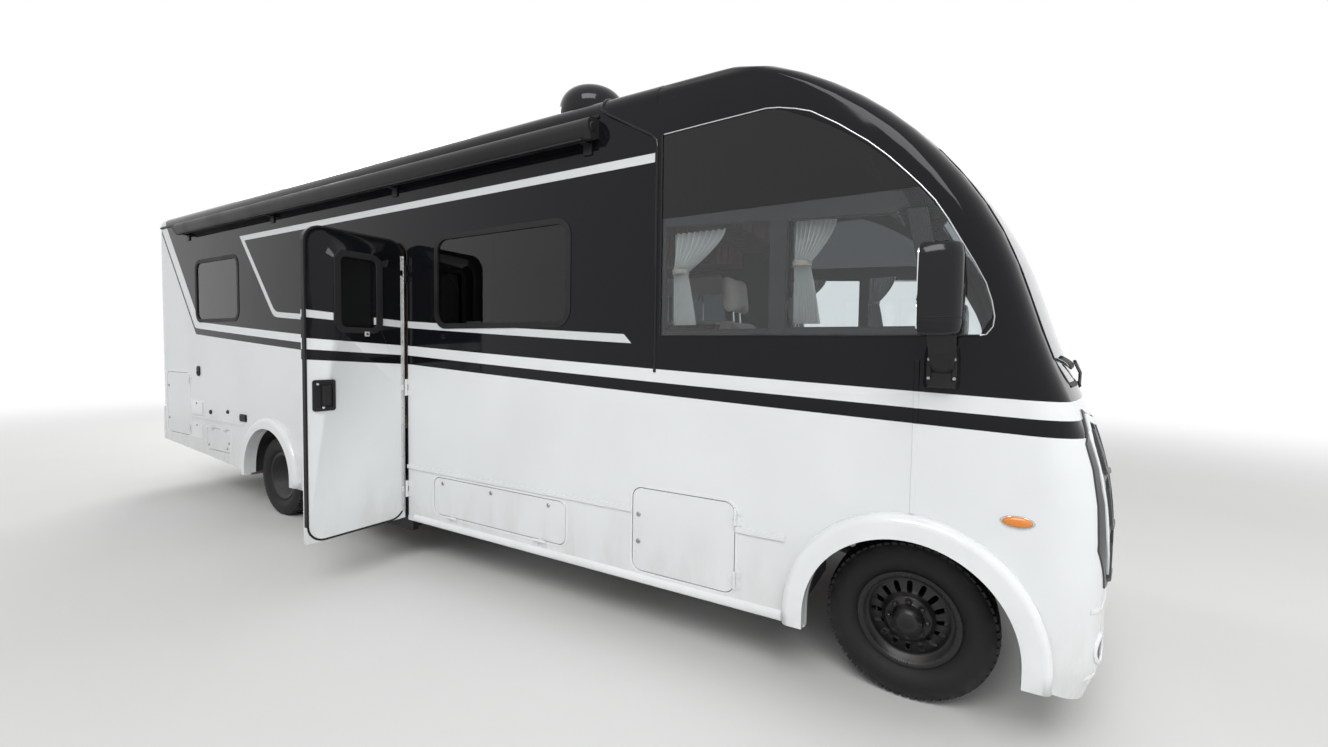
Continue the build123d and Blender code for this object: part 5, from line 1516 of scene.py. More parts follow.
    def inside(self) -> None:
        """Inner panel of the door with its pocket, latch and grab bar."""
        x = self.back_x
        panel = Shape().prism(self.outline(0.035, 0.085), Axis.X, x - 0.006, x - 0.0005)
        self.piece("door_inner_panel", panel, BEIGE, bevel=0.002)
        pocket = Shape().box((x - 0.07, self.at(0.52), 0.62), (x - 0.06, self.at(0.14), 0.9))
        pocket.box((x - 0.07, self.at(0.52), 0.61), (x - 0.005, self.at(0.14), 0.62))
        for reach in (0.14, 0.51):
            pocket.box((x - 0.062, self.at(reach + 0.01), 0.62), (x - 0.005, self.at(reach), 0.9))
        self.piece("door_pocket", pocket, GREY, bevel=0.004)
        latch = Shape().plate((self.at(0.655), 1.2), (self.at(0.52), 1.37), 0.02, Axis.X, x - 0.022,
            x - 0.005)
        latch.box((x - 0.034, self.at(0.64), 1.275), (x - 0.022, self.at(0.55), 1.3))
        self.piece("door_inner_latch", latch, BLACK_GRAINED, bevel=0.004)
        bar = Shape().pipe([(x - 0.006, self.at(0.16), 1.48), (x - 0.045, self.at(0.17), 1.48),
            (x - 0.058, self.at(0.2), 1.48), (x - 0.058, self.at(0.48), 1.48),
            (x - 0.045, self.at(0.51), 1.48), (x - 0.006, self.at(0.52), 1.48)], 0.011, 14)
        self.piece("door_grab_bar", bar, BLACK_SATIN, crease=50)


@dataclass
class Doorway(Assembly):
    """Seal round the entry opening, tread mats and the grab handle beside it."""

    front: float = -3.371
    rear: float = -4.055
    top: float = 2.371
    foot: float = 0.36
    corner: float = 0.11

    def turn(self, x: float, quarter: int) -> list[Point2]:
        """Points round one upper corner of the opening, about a place along it."""
        angles = [math.pi / 2 * (quarter + step / 8) for step in range(1, 8)]
        return [(x + self.corner * math.cos(angle), self.top - self.corner + self.corner * math.sin(angle))
                for angle in angles]

    def build(self) -> None:
        """Make the doorway's details."""
        line = [(self.front + 0.002, self.foot), (self.front + 0.002, self.top - self.corner),
                *self.turn(self.front + 0.002 - self.corner, 0), (self.front - self.corner, self.top),
                (self.rear + self.corner, self.top), *self.turn(self.rear + self.corner, 1),
                (self.rear, self.top - self.corner), (self.rear, self.foot)]
        path = stand(line, Axis.Y, -HALF - 0.001)
        self.piece("doorway_seal", Shape().pipe(path, 0.004, 10), RUBBER, crease=60)
        for index, (y0, y1, z) in enumerate(((-1.145, -0.9, 0.2642), (-0.875, -0.63, 0.4952))):
            mat = Shape().box((-4.02, y0, z), (-3.41, y1, z + 0.003))
            self.piece(f"step_mat_{index}", mat, RUBBER, bevel=0.001)
            rib = Shape().prism([(y0 + 0.008, z + 0.003), (y0 + 0.014, z + 0.003),
                (y0 + 0.0125, z + 0.006), (y0 + 0.0095, z + 0.006)], Axis.X, -4.01, -3.42)
            self.row(f"step_ribs_{index}", rib, (-3.7, y0, z), RUBBER, 17, step=(0.0, 0.0138, 0.0))
        x = self.rear - 0.075
        grab = Shape().pipe([(x, -HALF, 1.05), (x, -HALF - 0.035, 1.052), (x, -HALF - 0.055, 1.075),
            (x, -HALF - 0.058, 1.12), (x, -HALF - 0.058, 1.42), (x, -HALF - 0.055, 1.465),
            (x, -HALF - 0.035, 1.488), (x, -HALF, 1.49)], 0.012, 16)
        for z in (1.05, 1.49):
            grab.turned([(0.0, 0.0), (0.027, 0.0), (0.025, 0.006), (0.014, 0.009), (0.0, 0.009)],
                (x, -HALF, z), Axis.Y, 24, way=-1.0)
        self.piece("grab_handle", grab, BLACK_SATIN, crease=50)


@dataclass
class Baggage(Assembly):
    """Latches, seals and raised frames of the baggage doors."""

    face: float = HALF
    radius: float = 0.06
    long: tuple[Point2, Point2, tuple[Point2, ...]] = (
        (-3.075, 0.42), (-1.86, 0.69), ((-2.98, 0.648), (-2.5, 0.65), (-2.0, 0.65)))
    others: tuple[tuple[str, Point2, Point2, tuple[Point2, ...]], ...] = (
        ("square_door", (-1.386, 0.39), (-0.773, 0.857), ((-1.345, 0.555), (-1.345, 0.705))),
        ("tall_door", (-7.78, 0.6), (-7.174, 1.29), ((-7.735, 0.76), (-7.735, 1.13))),
        ("access_door", (-6.77, 0.5), (-6.206, 0.735), ((-6.72, 0.548), (-6.3, 0.545), (-6.26, 0.6))),
    )

    def seal(self, name: str, side: Side, low: Point2, high: Point2) -> None:
        """Raised frame lip on the body round one door, and the dark gap."""
        def outline(grow: float, rounder: float) -> list[Point2]:
            """Outline of the opening, grown on every side."""
            return rounded_outline((low[0] - grow, low[1] - grow), (high[0] + grow, high[1] + grow),
                self.radius + rounder, 8)

        y = side.value * self.face
        out = side.value * 0.0028
        outer, inner = outline(0.014, 0.014), outline(-0.0006, 0.0)
        lip = Shape().hollow([stand(line, Axis.Y, place) for line, place in (
            (outer, y - out * 0.2), (outer, y + out), (inner, y + out), (inner, y - side.value * 0.02))])
        self.piece(name + "_frame", lip, WHITE, bevel=0.0012)
        gap = Shape().pipe(stand(outline(-0.0028, -0.002), Axis.Y, y - side.value * 0.006), 0.0021, 6,
            closed=True)
        self.piece(name + "_seal", gap, RUBBER, crease=80)

    def latch(self, x: float, z: float, side: Side) -> Shape:
        """Round cam latch with its key slot."""
        way = side.value
        y = way * self.face
        knob = Shape().turned([(0.0, 0.0005), (0.0135, 0.0005), (0.0135, 0.003), (0.0115, 0.0052),
            (0.008, 0.0058), (0.0075, 0.004), (0.0, 0.004)], (x, y, z), Axis.Y, 28, way=way)
        knob.box((x - 0.001, y + way * 0.003, z - 0.005), (x + 0.001, y + way * 0.0066, z + 0.005))
        return knob

    def build(self) -> None:
        """Make the frames, seals and latches."""
        doors = [("long_door_" + side.label, side, *self.long) for side in Side]
        doors += [(name, Side.RIGHT, *rest) for name, *rest in self.others]
        for name, side, low, high, _places in doors:
            self.seal(name, side, low, high)
        for name, side, _low, _high, places in doors:
            knobs = joined(*(self.latch(x, z, side) for x, z in places))
            self.piece(name + "_latches", knobs, ZINC, name)


@dataclass
class ServiceFittings(Assembly):
    """Hatches, inlets and caps of the right side, marker lamps and the exhaust tip."""

    face: float = -HALF

    def hatch(self, name: str, x0: float, x1: float, z0: float, z1: float, finish: Finish,
            proud: float = 0.009) -> None:
        """Small hatch: a frame with a lid and its latch."""
        frame = Shape().plate((x0, z0), (x1, z1), 0.012, Axis.Y, self.face - proud * 0.5, self.face + 0.001)
        lid = Shape().plate((x0 + 0.012, z0 + 0.012), (x1 - 0.012, z1 - 0.012), 0.008, Axis.Y,
            self.face - proud, self.face - proud * 0.5)
        self.piece(name + "_frame", frame, finish, bevel=0.002, replaces=["service_hatches"])
        self.piece(name + "_lid", lid, finish, bevel=0.002, replaces=["service_hatches"])
        knob = Shape().turned([(0.0, 0.0), (0.008, 0.0), (0.007, 0.004), (0.0, 0.004)],
            ((x0 + x1) / 2, self.face - proud, z1 - 0.03), Axis.Y, 20, way=-1.0)
        self.piece(name + "_knob", knob, BLACK_SATIN)

    def cap(self, name: str, x: float, z: float, radius: float, finish: Finish) -> None:
        """Round filler cap or inlet."""
        shape = Shape().turned([(0.0, 0.0), (radius, 0.0), (radius, 0.004), (radius * 0.86, 0.007),
            (radius * 0.82, 0.012), (radius * 0.55, 0.014), (0.0, 0.013)], (x, self.face, z), Axis.Y, 32,
            way=-1.0)
        self.piece(name, shape, finish, crease=40, replaces=["service_hatches"])

    def marker(self, name: str, x: float, z: float, half_x: float, half_z: float, side: Side) -> None:
        """Oval amber marker lamp with a bright rim."""
        def ovals(*profile: Point2) -> list[list[Point]]:
            """Rings of (scale, height) about the lamp's middle."""
            return [[(x + half_x * scale * cosine, side.value * HALF + side.value * out,
                z + half_z * scale * sine) for cosine, sine in circle(36)] for scale, out in profile]

        lens = Shape().skin(ovals((1.0, -0.002), (1.0, 0.006), (0.92, 0.01), (0.7, 0.014), (0.35, 0.016),
            (0.02, 0.0165)))
        rim = Shape().hollow(ovals((1.16, -0.002), (1.16, 0.003), (1.08, 0.007), (1.0, 0.0075),
            (1.0, -0.002)))
        self.piece(name + "_lens", lens, AMBER, crease=40, replaces=["marker_lamps"])
        self.piece(name + "_rim", rim, CHROME, crease=50, replaces=["marker_lamps"])

    def build(self) -> None:
        """Make the fittings."""
        for side in Side:
            label = side.label
            self.marker("front_marker_" + label, 0.39, 0.965, 0.05, 0.021, side)
            self.marker("side_marker_" + label, -4.8, 0.693, 0.028, 0.014, side)
        self.hatch("upper_hatch", -7.13, -6.84, 0.845, 1.0, WHITE)
        self.hatch("lower_hatch", -7.13, -6.84, 0.587, 0.762, WHITE)
        self.hatch("outlet_cover", -6.01, -5.87, 0.85, 0.922, BLACK_GRAINED, 0.014)
        self.cap("water_inlet", -6.66, 0.895, 0.024, BLACK_SATIN)
        self.cap("vent_cap", -6.27, 0.923, 0.02, BLACK_SATIN)
        oval = Shape().plate((-6.965, 1.262), (-6.895, 1.37), 0.034, Axis.Y, self.face - 0.012, self.face, 10)
        knob = Shape().turned([(0.0, 0.0), (0.014, 0.0), (0.012, 0.01), (0.0, 0.011)],
            (-6.93, self.face - 0.011, 1.3), Axis.Y, 24, way=-1.0)
        self.piece("cable_hatch", joined(oval, knob), BLACK_GRAINED, bevel=0.002,
            replaces=["service_hatches"])
        tip = Shape().turned([(0.03, 0.0), (0.04, 0.0), (0.0415, -0.01), (0.0415, -0.13), (0.036, -0.13),
            (0.036, -0.01), (0.03, -0.01)], (REAR_AXLE - 0.575, -1.0, 0.35), Axis.Y, 32)
        self.piece("exhaust_tip", tip, PIPE, crease=40)


class BezelForm(Skin):
    """The even form that both lamp bezels lie on, carried across their lamp openings."""

    levels = (0.698, 0.904, 1.123, 1.342)

    def front(self, y: float, z: float) -> tuple[Vector, Vector]:
        """Point of the form at a place in the front view."""
        reach = 0.004
        spots = [Vector((self.depth(y + dy, z + dz), y + dy, z + dz))
            for dy, dz in ((0, 0), (reach, 0), (0, reach))]
        return spots[0], (spots[1] - spots[0]).cross(spots[2] - spots[0]).normalized()

    def depth(self, y: float, z: float) -> float:
        """Reach of the form: a cubic through the bars between the openings."""
        total = 0.0
        for level in self.levels:
            share = self.bar(y, level)
            for other in self.levels:
                if other != level:
                    share *= (z - other) / (level - other)
            total += share
        return total

    def bar(self, y: float, z: float) -> float:
        """Reach of one bar, looked up a little above and below so that no joint swallows it."""
        hits = [self.tree.ray_cast(Vector((self.ahead, y, z + nudge)), Vector(self.aft))[0]
                for nudge in (-0.004, 0.0, 0.004)]
        return max(hit.x for hit in hits if hit is not None)


@dataclass
class FrontLamps(Assembly):
    """Lamps of the nose: reflectors, projectors, ledges, light strips and fog lamps."""

    skin: Skin
    form: BezelForm
    columns: Point2 = (0.76, 0.93)
    rows: tuple[Point2, ...] = ((1.138, 1.335), (0.919, 1.108), (0.708, 0.889))
    lens_inset: float = 0.023

    def bowl(self, y: float, z: float, half_y: float, half_z: float, depth: float) -> Shape:
        """Faceted reflector bowl behind one lens."""
        rings = []
        for share, back in ((1.0, 0.006), (0.96, 0.012), (0.8, 0.5 * depth), (0.5, 0.85 * depth),
                (0.18, depth)):
            ring = []
            for cosine, sine in circle(32):
                reach = share / max(abs(cosine), abs(sine)) ** 0.8
                place = (y + half_y * cosine * reach, z + half_z * sine * reach)
                ring.append((self.form.depth(*place) - self.lens_inset - back, *place))
            rings.append(ring)
        return Shape().skin(rings, caps=False)

    def build(self) -> None:
        """Make the lamps of both corners."""
        for side in Side:
            label = side.label
            self.strip(side, label)
            for order, (low, high) in enumerate(self.rows):
                y = side.value * sum(self.columns) / 2
                z = (low + high) / 2
                half_y = (self.columns[1] - self.columns[0]) / 2 - 0.008
                bowl = self.bowl(y, z, half_y, (high - low) / 2 - 0.008, 0.055)
                piece = self.piece(f"reflector_{label}_{order}", bowl, REFLECTOR, crease=20)
                piece.modifiers.new("wall", "SOLIDIFY").thickness = 0.0015
                face = self.form.depth(y, z) - self.lens_inset
                bulb = Shape().turned([(0.0, -0.01), (0.012, -0.01), (0.02, -0.02), (0.024, -0.035),
                    (0.02, -0.05)], (face, y, z), Axis.X, 24)
                self.piece(f"projector_{label}_{order}", bulb, LENS, crease=60)
                self.ledge(side, label, order, low, high)
            self.fog(side, label)

    def ledge(self, side: Side, label: str, order: int, low: float, high: float) -> None:
        """Sculpted ledge that wraps the outer and lower edge of one lamp."""
        s = side.value
        path = [(s * 0.944, high - 0.02), (s * 0.946, low + 0.07), (s * 0.936, low + 0.03),
            (s * 0.905, low + 0.006), (s * 0.85, low - 0.004), (s * 0.735, low - 0.01),
            (s * 0.69, low - 0.022)]
        ledge = self.form.ribbon(path, 0.026, 0.012, 0.012, steps=6, round_off=0.7)
        self.piece(f"lamp_ledge_{label}_{order}", ledge, BEZEL_GREY, crease=50)

    def strip(self, side: Side, label: str) -> None:
        """Pale light strip along the outer edge of the bezel."""
        s = side.value
        path = [(s * 0.73, 1.33), (s * 0.93, 1.362), (s * 1.014, 1.285), (s * 1.026, 1.1),
            (s * 1.012, 0.9), (s * 0.94, 0.752)]
        self.piece("light_strip_" + label, self.form.ribbon(path, 0.032, 0.006, steps=10), WHITE, crease=40)
        rim = [(s * 0.64, 0.735), (s * 0.64, 1.315), (s * 0.7, 1.345)]
        self.piece("bezel_inner_rib_" + label, self.form.ribbon(rim, 0.018, 0.008, steps=10), BEZEL_GREY,
            crease=40)

    def fog(self, side: Side, label: str) -> None:
        """Round fog lamp low in the bumper: rim, reflector and lens on the nose's own curve."""
        middle = (side.value * 1.015, 0.47)

        def dish(*profile: Point2) -> list[list[Vector]]:
            """Rings of (radius, height) about the lamp's middle, over the nose's curve."""
            rings = []
            for radius, height in profile:
                spots = [self.skin.front(middle[0] + radius * cosine, middle[1] + radius * sine)
                         for cosine, sine in circle(40)]
                rings.append([point + normal * height for point, normal in spots])
            return rings

        rim = Shape().hollow(dish((0.06, 0.0), (0.06, 0.005), (0.056, 0.008), (0.046, 0.008),
            (0.042, 0.004), (0.042, 0.0)))
        lens = Shape().skin(dish((0.0415, 0.0012), (0.0415, 0.0035), (0.036, 0.005), (0.02, 0.0058),
            (0.004, 0.006)))
        cup = Shape().skin(dish((0.041, 0.0004), (0.041, 0.0008), (0.03, 0.0008), (0.004, 0.0008)))
        for kind, shape, finish in (("rim", rim, WHITE), ("lens", lens, LENS), ("cup", cup, CHROME)):
            self.piece(f"fog_{kind}_{label}", shape, finish, crease=40, replaces=["fog_lamps"])


@dataclass
class NoseTrim(Assembly):
    """Windscreen surround, wipers and bumper creases."""

    skin: Skin

    def build(self) -> None:
        """Make the nose's trim."""
        outline = [(-0.93, 1.49), (0.93, 1.49), (1.04, 1.6), (1.04, 2.48), (0.93, 2.59), (-0.93, 2.59),
            (-1.04, 2.48), (-1.04, 1.6), (-0.93, 1.49)]
        self.piece("windscreen_seal", self.skin.ribbon(outline, 0.02, 0.004, 0.006, steps=10), RUBBER,
            crease=40)
        for level, z in enumerate((0.6, 0.335)):
            crease = self.skin.ribbon([(-1.1, z + 0.035), (-0.8, z), (0.8, z), (1.1, z + 0.035)], 0.02,
                0.004, steps=12)
            self.piece(f"bumper_crease_{level}", crease, WHITE, crease=50)
        for side in Side:
            self.wiper(side)

    def wiper(self, side: Side) -> None:
        """Wiper arm with its blade parked along the foot of the glass."""
        s = side.value
        pivot, normal = self.skin.front(s * 0.12, 1.455)
        label = side.label
        cap = placed(Shape().turned([(0.0, 0.03), (0.014, 0.028), (0.019, 0.018), (0.02, -0.006),
            (0.0, -0.006)], (0, 0, 0), Axis.Z, 24), frame_at(pivot, normal))
        joint = pivot + normal * 0.024
        tip, tip_normal = self.skin.front(s * 0.62, 1.575)
        end = tip + tip_normal * 0.03
        middle = joint.lerp(end, 0.5) + normal * 0.012
        arm = Shape().pipe([joint, joint.lerp(middle, 0.5), middle, middle.lerp(end, 0.5), end], 0.007, 10)
        blade_path = [self.skin.front(s * (0.28 + 0.66 * share), 1.545 + 0.055 * share)
            for share in (step / 10 for step in range(11))]
        blade = Shape().skin([[point + out * 0.001, point + out * 0.012 + Vector((0, 0, 0.008)),
            point + out * 0.022, point + out * 0.012 - Vector((0, 0, 0.008))]
            for point, out in blade_path])
        self.piece("wiper_" + label, joined(cap, arm, blade), BLACK_SATIN, crease=40)


@dataclass
class Mirrors(Assembly):
    """Outside mirrors: shell, glass, neck and foot."""

    inner: float = 1.28
    outer: float = 1.497
    rear: float = 0.035
    front: float = 0.185
    low: float = 1.678
    high: float = 2.02

    def section(self, z: float, shrink: float) -> list[Point]:
        """Level section of the shell at a height."""
        middle = (self.inner + self.outer) / 2
        half = (self.outer - self.inner) / 2
        ring = []
        front_line = ((1.0, 0.1), (0.98, 0.42), (0.86, 0.72), (0.6, 0.93), (0.28, 1.0), (-0.1, 0.955),
            (-0.5, 0.86), (-0.82, 0.7), (-0.97, 0.42), (-1.0, 0.1), (-0.97, 0.0), (-0.5, 0.0),
            (0.0, 0.0), (0.5, 0.0), (0.97, 0.0))
        for across, ahead in front_line:
            y = middle + across * half * (1 - shrink)
            x = self.rear + (self.front - self.rear) * (ahead * (1 - shrink * 0.8) + shrink * 0.3)
            ring.append((x, -y, z))
        return ring

    def build(self) -> None:
        """Make both mirrors."""
        tall = self.high - self.low
        rows = ((0.0, 0.34), (0.012, 0.16), (0.045, 0.06), (0.12, 0.012), (0.3, 0.0), (0.6, 0.0),
            (0.85, 0.015), (0.94, 0.06), (0.985, 0.17), (1.0, 0.36))
        shell = Shape().skin([self.section(self.low + tall * share, shrink) for share, shrink in rows])
        neck = Shape().skin([[(0.112 - wide, -1.19, z0), (0.112 + wide, -1.19, z0),
            (0.112 + wide * 0.8, -1.232, z1), (0.112 - wide * 0.8, -1.232, z1)]
            for wide, z0, z1 in ((0.058, 1.465, 1.478), (0.068, 1.48, 1.5), (0.068, 1.6, 1.59),
            (0.06, 1.645, 1.625))])
        for x in (0.066, 0.158):
            neck.box((x - 0.01, -1.24, 1.5), (x + 0.01, -1.228, 1.6))
        bolts = Shape()
        for x in (0.066, 0.158):
            for z in (1.512, 1.588):
                bolts.turned([(0.0, 0.0), (0.007, 0.0), (0.006, 0.004), (0.0, 0.005)], (x, -1.2395, z),
                    Axis.Y, 12, way=-1.0)
        self.both("mirror_bolts", bolts, ZINC)
        path = [(0.114, -1.215, 1.53, 0.04), (0.114, -1.255, 1.56, 0.042), (0.114, -1.3, 1.602, 0.046),
                (0.114, -1.34, 1.65, 0.05), (0.112, -1.372, 1.7, 0.052)]
        arm = Shape().skin([[(x + wide * cosine, y + wide * 0.8 * sine, z - wide * 0.9 * sine)
            for cosine, sine in circle(16)] for x, y, z, wide in path])
        self.both("mirror_shell", shell, BLACK_GLOSS, bevel=0.004, crease=36, replaces=["mirrors"])
        self.both("mirror_foot", neck, BLACK_SATIN, bevel=0.006, crease=40)
        self.both("mirror_arm", arm, BLACK_SATIN, crease=50)
        upper = rounded_outline((-1.48, 1.815), (-1.298, 2.0), 0.022)
        lower = rounded_outline((-1.48, 1.7), (-1.298, 1.8), 0.02)
        for label, outline in (("main", upper), ("spot", lower)):
            glass = Shape().prism(outline, Axis.X, self.rear - 0.004, self.rear + 0.002)
            self.both("mirror_glass_" + label, glass, MIRROR, bevel=0.001)
        gap = Shape().prism(corners((-1.492, 1.804), (-1.286, 1.811)), Axis.X, self.rear - 0.003,
            self.rear + 0.01)
        self.both("mirror_divider", gap, BLACK_SATIN)
        crease = Shape().pipe([(0.1765, -1.398, 1.735), (0.1855, -1.398, 1.8), (0.1862, -1.398, 1.9),
            (0.1845, -1.398, 1.965)], 0.0022, 8)
        band = Shape().pipe([(x, -y, 1.742) for x, y, _z in self.section(1.742, 0.006)[:10]], 0.0022, 8)
        self.both("mirror_joints", joined(crease, band), RUBBER, crease=60)


@dataclass
class Awning(Assembly):
    """Awning cassette with its end caps, lead rail and wall brackets."""

    front: float = -1.64
    rear: float = -7.22
    top: float = 2.893
    low: float = 2.769
    deep: float = 0.104

    def profile(self, grow: float) -> list[Point2]:
        """Cross section (y, z) of the cassette."""
        back = -HALF
        out = back - self.deep - grow
        points = [(back, self.top), (back - 0.05, self.top), (back - 0.075, self.top - 0.006)]
        centre = (out + 0.048 + grow, self.top - 0.052)
        for step in range(9):
            turn = math.pi / 2 + math.pi * 0.62 * step / 8
            points.append((centre[0] + (0.048 + grow) * math.cos(turn),
                centre[1] + (0.048 + grow) * math.sin(turn)))
        points += [(out + 0.03, self.low + 0.012), (out + 0.036, self.low + 0.002),
            (out + 0.06, self.low), (back - 0.012, self.low + 0.018), (back, self.low + 0.02)]
        return points

    def build(self) -> None:
        """Make the awning."""
        case = Shape().prism(self.profile(0.0), Axis.X, self.rear + 0.035, self.front - 0.035)
        self.piece("awning_case_shell", case, BLACK_SATIN, bevel=0.0015, crease=24, replaces=["awning_case"])
        for label, x0, x1 in (("front", self.front - 0.035, self.front),
                ("rear", self.rear, self.rear + 0.035)):
            cap = Shape().prism(self.profile(0.0005), Axis.X, x0, x1)
            self.piece("awning_end_" + label, cap, BLACK_GRAINED, bevel=0.005, crease=24)
            boss = Shape().turned([(0.0, 0.004), (0.022, 0.004), (0.026, 0.0), (0.026, -0.01),
                (0.0, -0.01)], (x1 if label == "front" else x0, -HALF - 0.056, 2.838), Axis.X, 28,
                way=1.0 if label == "front" else -1.0)
            self.piece("awning_boss_" + label, boss, BLACK_SATIN, crease=40)
        rail = Shape().prism([(-HALF - 0.085, self.low + 0.006), (-HALF - 0.085, self.low - 0.004),
            (-HALF - 0.03, self.low + 0.008), (-HALF - 0.03, self.low + 0.02)], Axis.X, self.rear + 0.06,
            self.front - 0.06)
        self.piece("awning_lead_rail", rail, BLACK_GRAINED, bevel=0.002)
        plates = Shape()
        for x in (-7.1, -5.3, -3.5, self.front - 0.075):
            plates.box((x - 0.03, -HALF - 0.01, self.low - 0.06), (x + 0.03, -HALF + 0.001, self.low + 0.03))
            plates.box((x - 0.024, -HALF - 0.06, self.low - 0.006),
                (x + 0.024, -HALF - 0.008, self.low + 0.004))
        self.piece("awning_brackets", plates, BLACK_SATIN, bevel=0.003)


# Upholstery


@dataclass
class Upholstery(Assembly):
    """Stuffs pads by cloth simulation and keeps each result for its copies."""

    pressure: float = 4.0
    damping: float = 4.0
    quality: int = 5
    frames: int = 20
    kept: dict[str, bpy.types.Mesh] = field(default_factory=dict)

    def remeshed(self, name: str, pad: Pad, voxel: float) -> bpy.types.Mesh:
        """Even mesh over a pad."""
        holder = in_scene(name + "_blank", pad.shape().mesh(name + "_blank"))
        modifier = holder.modifiers.new("even", "REMESH")
        modifier.mode = "VOXEL"
        modifier.voxel_size = voxel
        mesh = evaluated(holder)
        bpy.data.objects.remove(holder)
        return mesh

    def stuffed(self, name: str, pad: Pad, voxel: float, reach: float) -> bpy.types.Mesh:
        """Swell a pad under pressure.

        Args:
            name: Name of the result.
            pad: The slack pad.
            voxel: Size of the even mesh, in metres.
            reach: The furthest that a point may move.

        Returns:
            The swollen mesh.
        """
        mesh = self.remeshed(name, pad, voxel)
        holder = in_scene(name + "_cloth", mesh)
        cloth = holder.modifiers.new("stuffing", "CLOTH")
        cloth.settings.use_pressure = True
        cloth.settings.uniform_pressure_force = self.pressure
        cloth.settings.effector_weights.gravity = 0.0
        cloth.settings.quality = self.quality
        cloth.settings.air_damping = self.damping
        cloth.point_cache.frame_start = 1
        cloth.point_cache.frame_end = self.frames
        scene = bpy.context.scene
        for frame in range(1, self.frames + 1):
            scene.frame_set(frame)
        swollen = evaluated(holder)
        for before, after in zip(mesh.vertices, swollen.vertices):
            move = after.co - before.co
            if move.length > reach:
                after.co = before.co + move.normalized() * reach
        holder.modifiers.clear()
        bpy.data.objects.remove(holder)
        scene.frame_set(1)
        return swollen

    def sew(self, mesh: bpy.types.Mesh, pad: Pad) -> None:
        """Press the sewn channels into both covers."""
        if not pad.channels:
            return
        low = moved(pad.low)
        high = moved(pad.high)
        thin = pad.thin.value
        along = pad.channel_axis.value
        middle = (low[thin] + high[thin]) / 2
        half = (high[thin] - low[thin]) / 2
        for vertex in mesh.vertices:
            share = (vertex.co[along] - low[along]) / (high[along] - low[along]) * pad.channels
            line = round(share)
            if 0 < line < pad.channels:
                rise = min(1.0, abs(vertex.co[thin] - middle) / half)
                press = pad.channel_depth * math.exp(-((share - line) * 9) ** 2) * rise
                vertex.co[thin] -= math.copysign(press, vertex.co[thin] - middle)

    def lean(self, mesh: bpy.types.Mesh, foot: float, slope: float) -> None:
        """Lean an upright pad back from a height."""
        for vertex in mesh.vertices:
            vertex.co.x -= (vertex.co.z - foot) * slope

    def pad(self, name: str, pad: Pad, finish: Finish, fill: float = 0.7, kind: str | None = None,
            shift: Point = (0, 0, 0), slope: float = 0.0, voxel: float = 0.012, reach: float = 0.014,
            replaces: Sequence[str] = ()) -> None:
        """Make one stuffed pad.

        Args:
            name: The piece's name.
            pad: Its slack shape.
            finish: Its cover.
            fill: Not used.
            kind: Name under which its mesh is kept for copies.
            shift: Offset of this copy from the kept mesh.
            slope: How far it leans back, per metre of height.
            voxel: Size of the even mesh.
            reach: The furthest that a point may swell.
            replaces: The nodes that it stands for.
        """
        kind = kind or name
        if kind not in self.kept:
            mesh = self.stuffed(kind, pad, voxel, reach)
            self.sew(mesh, pad)
            self.lean(mesh, pad.low[2], slope)
            self.kept[kind] = mesh
        mesh = self.kept[kind].copy()
        mesh.transform(Matrix.Translation(Vector(shift)))
        piece = self.piece(name, mesh, finish, crease=180, replaces=replaces)


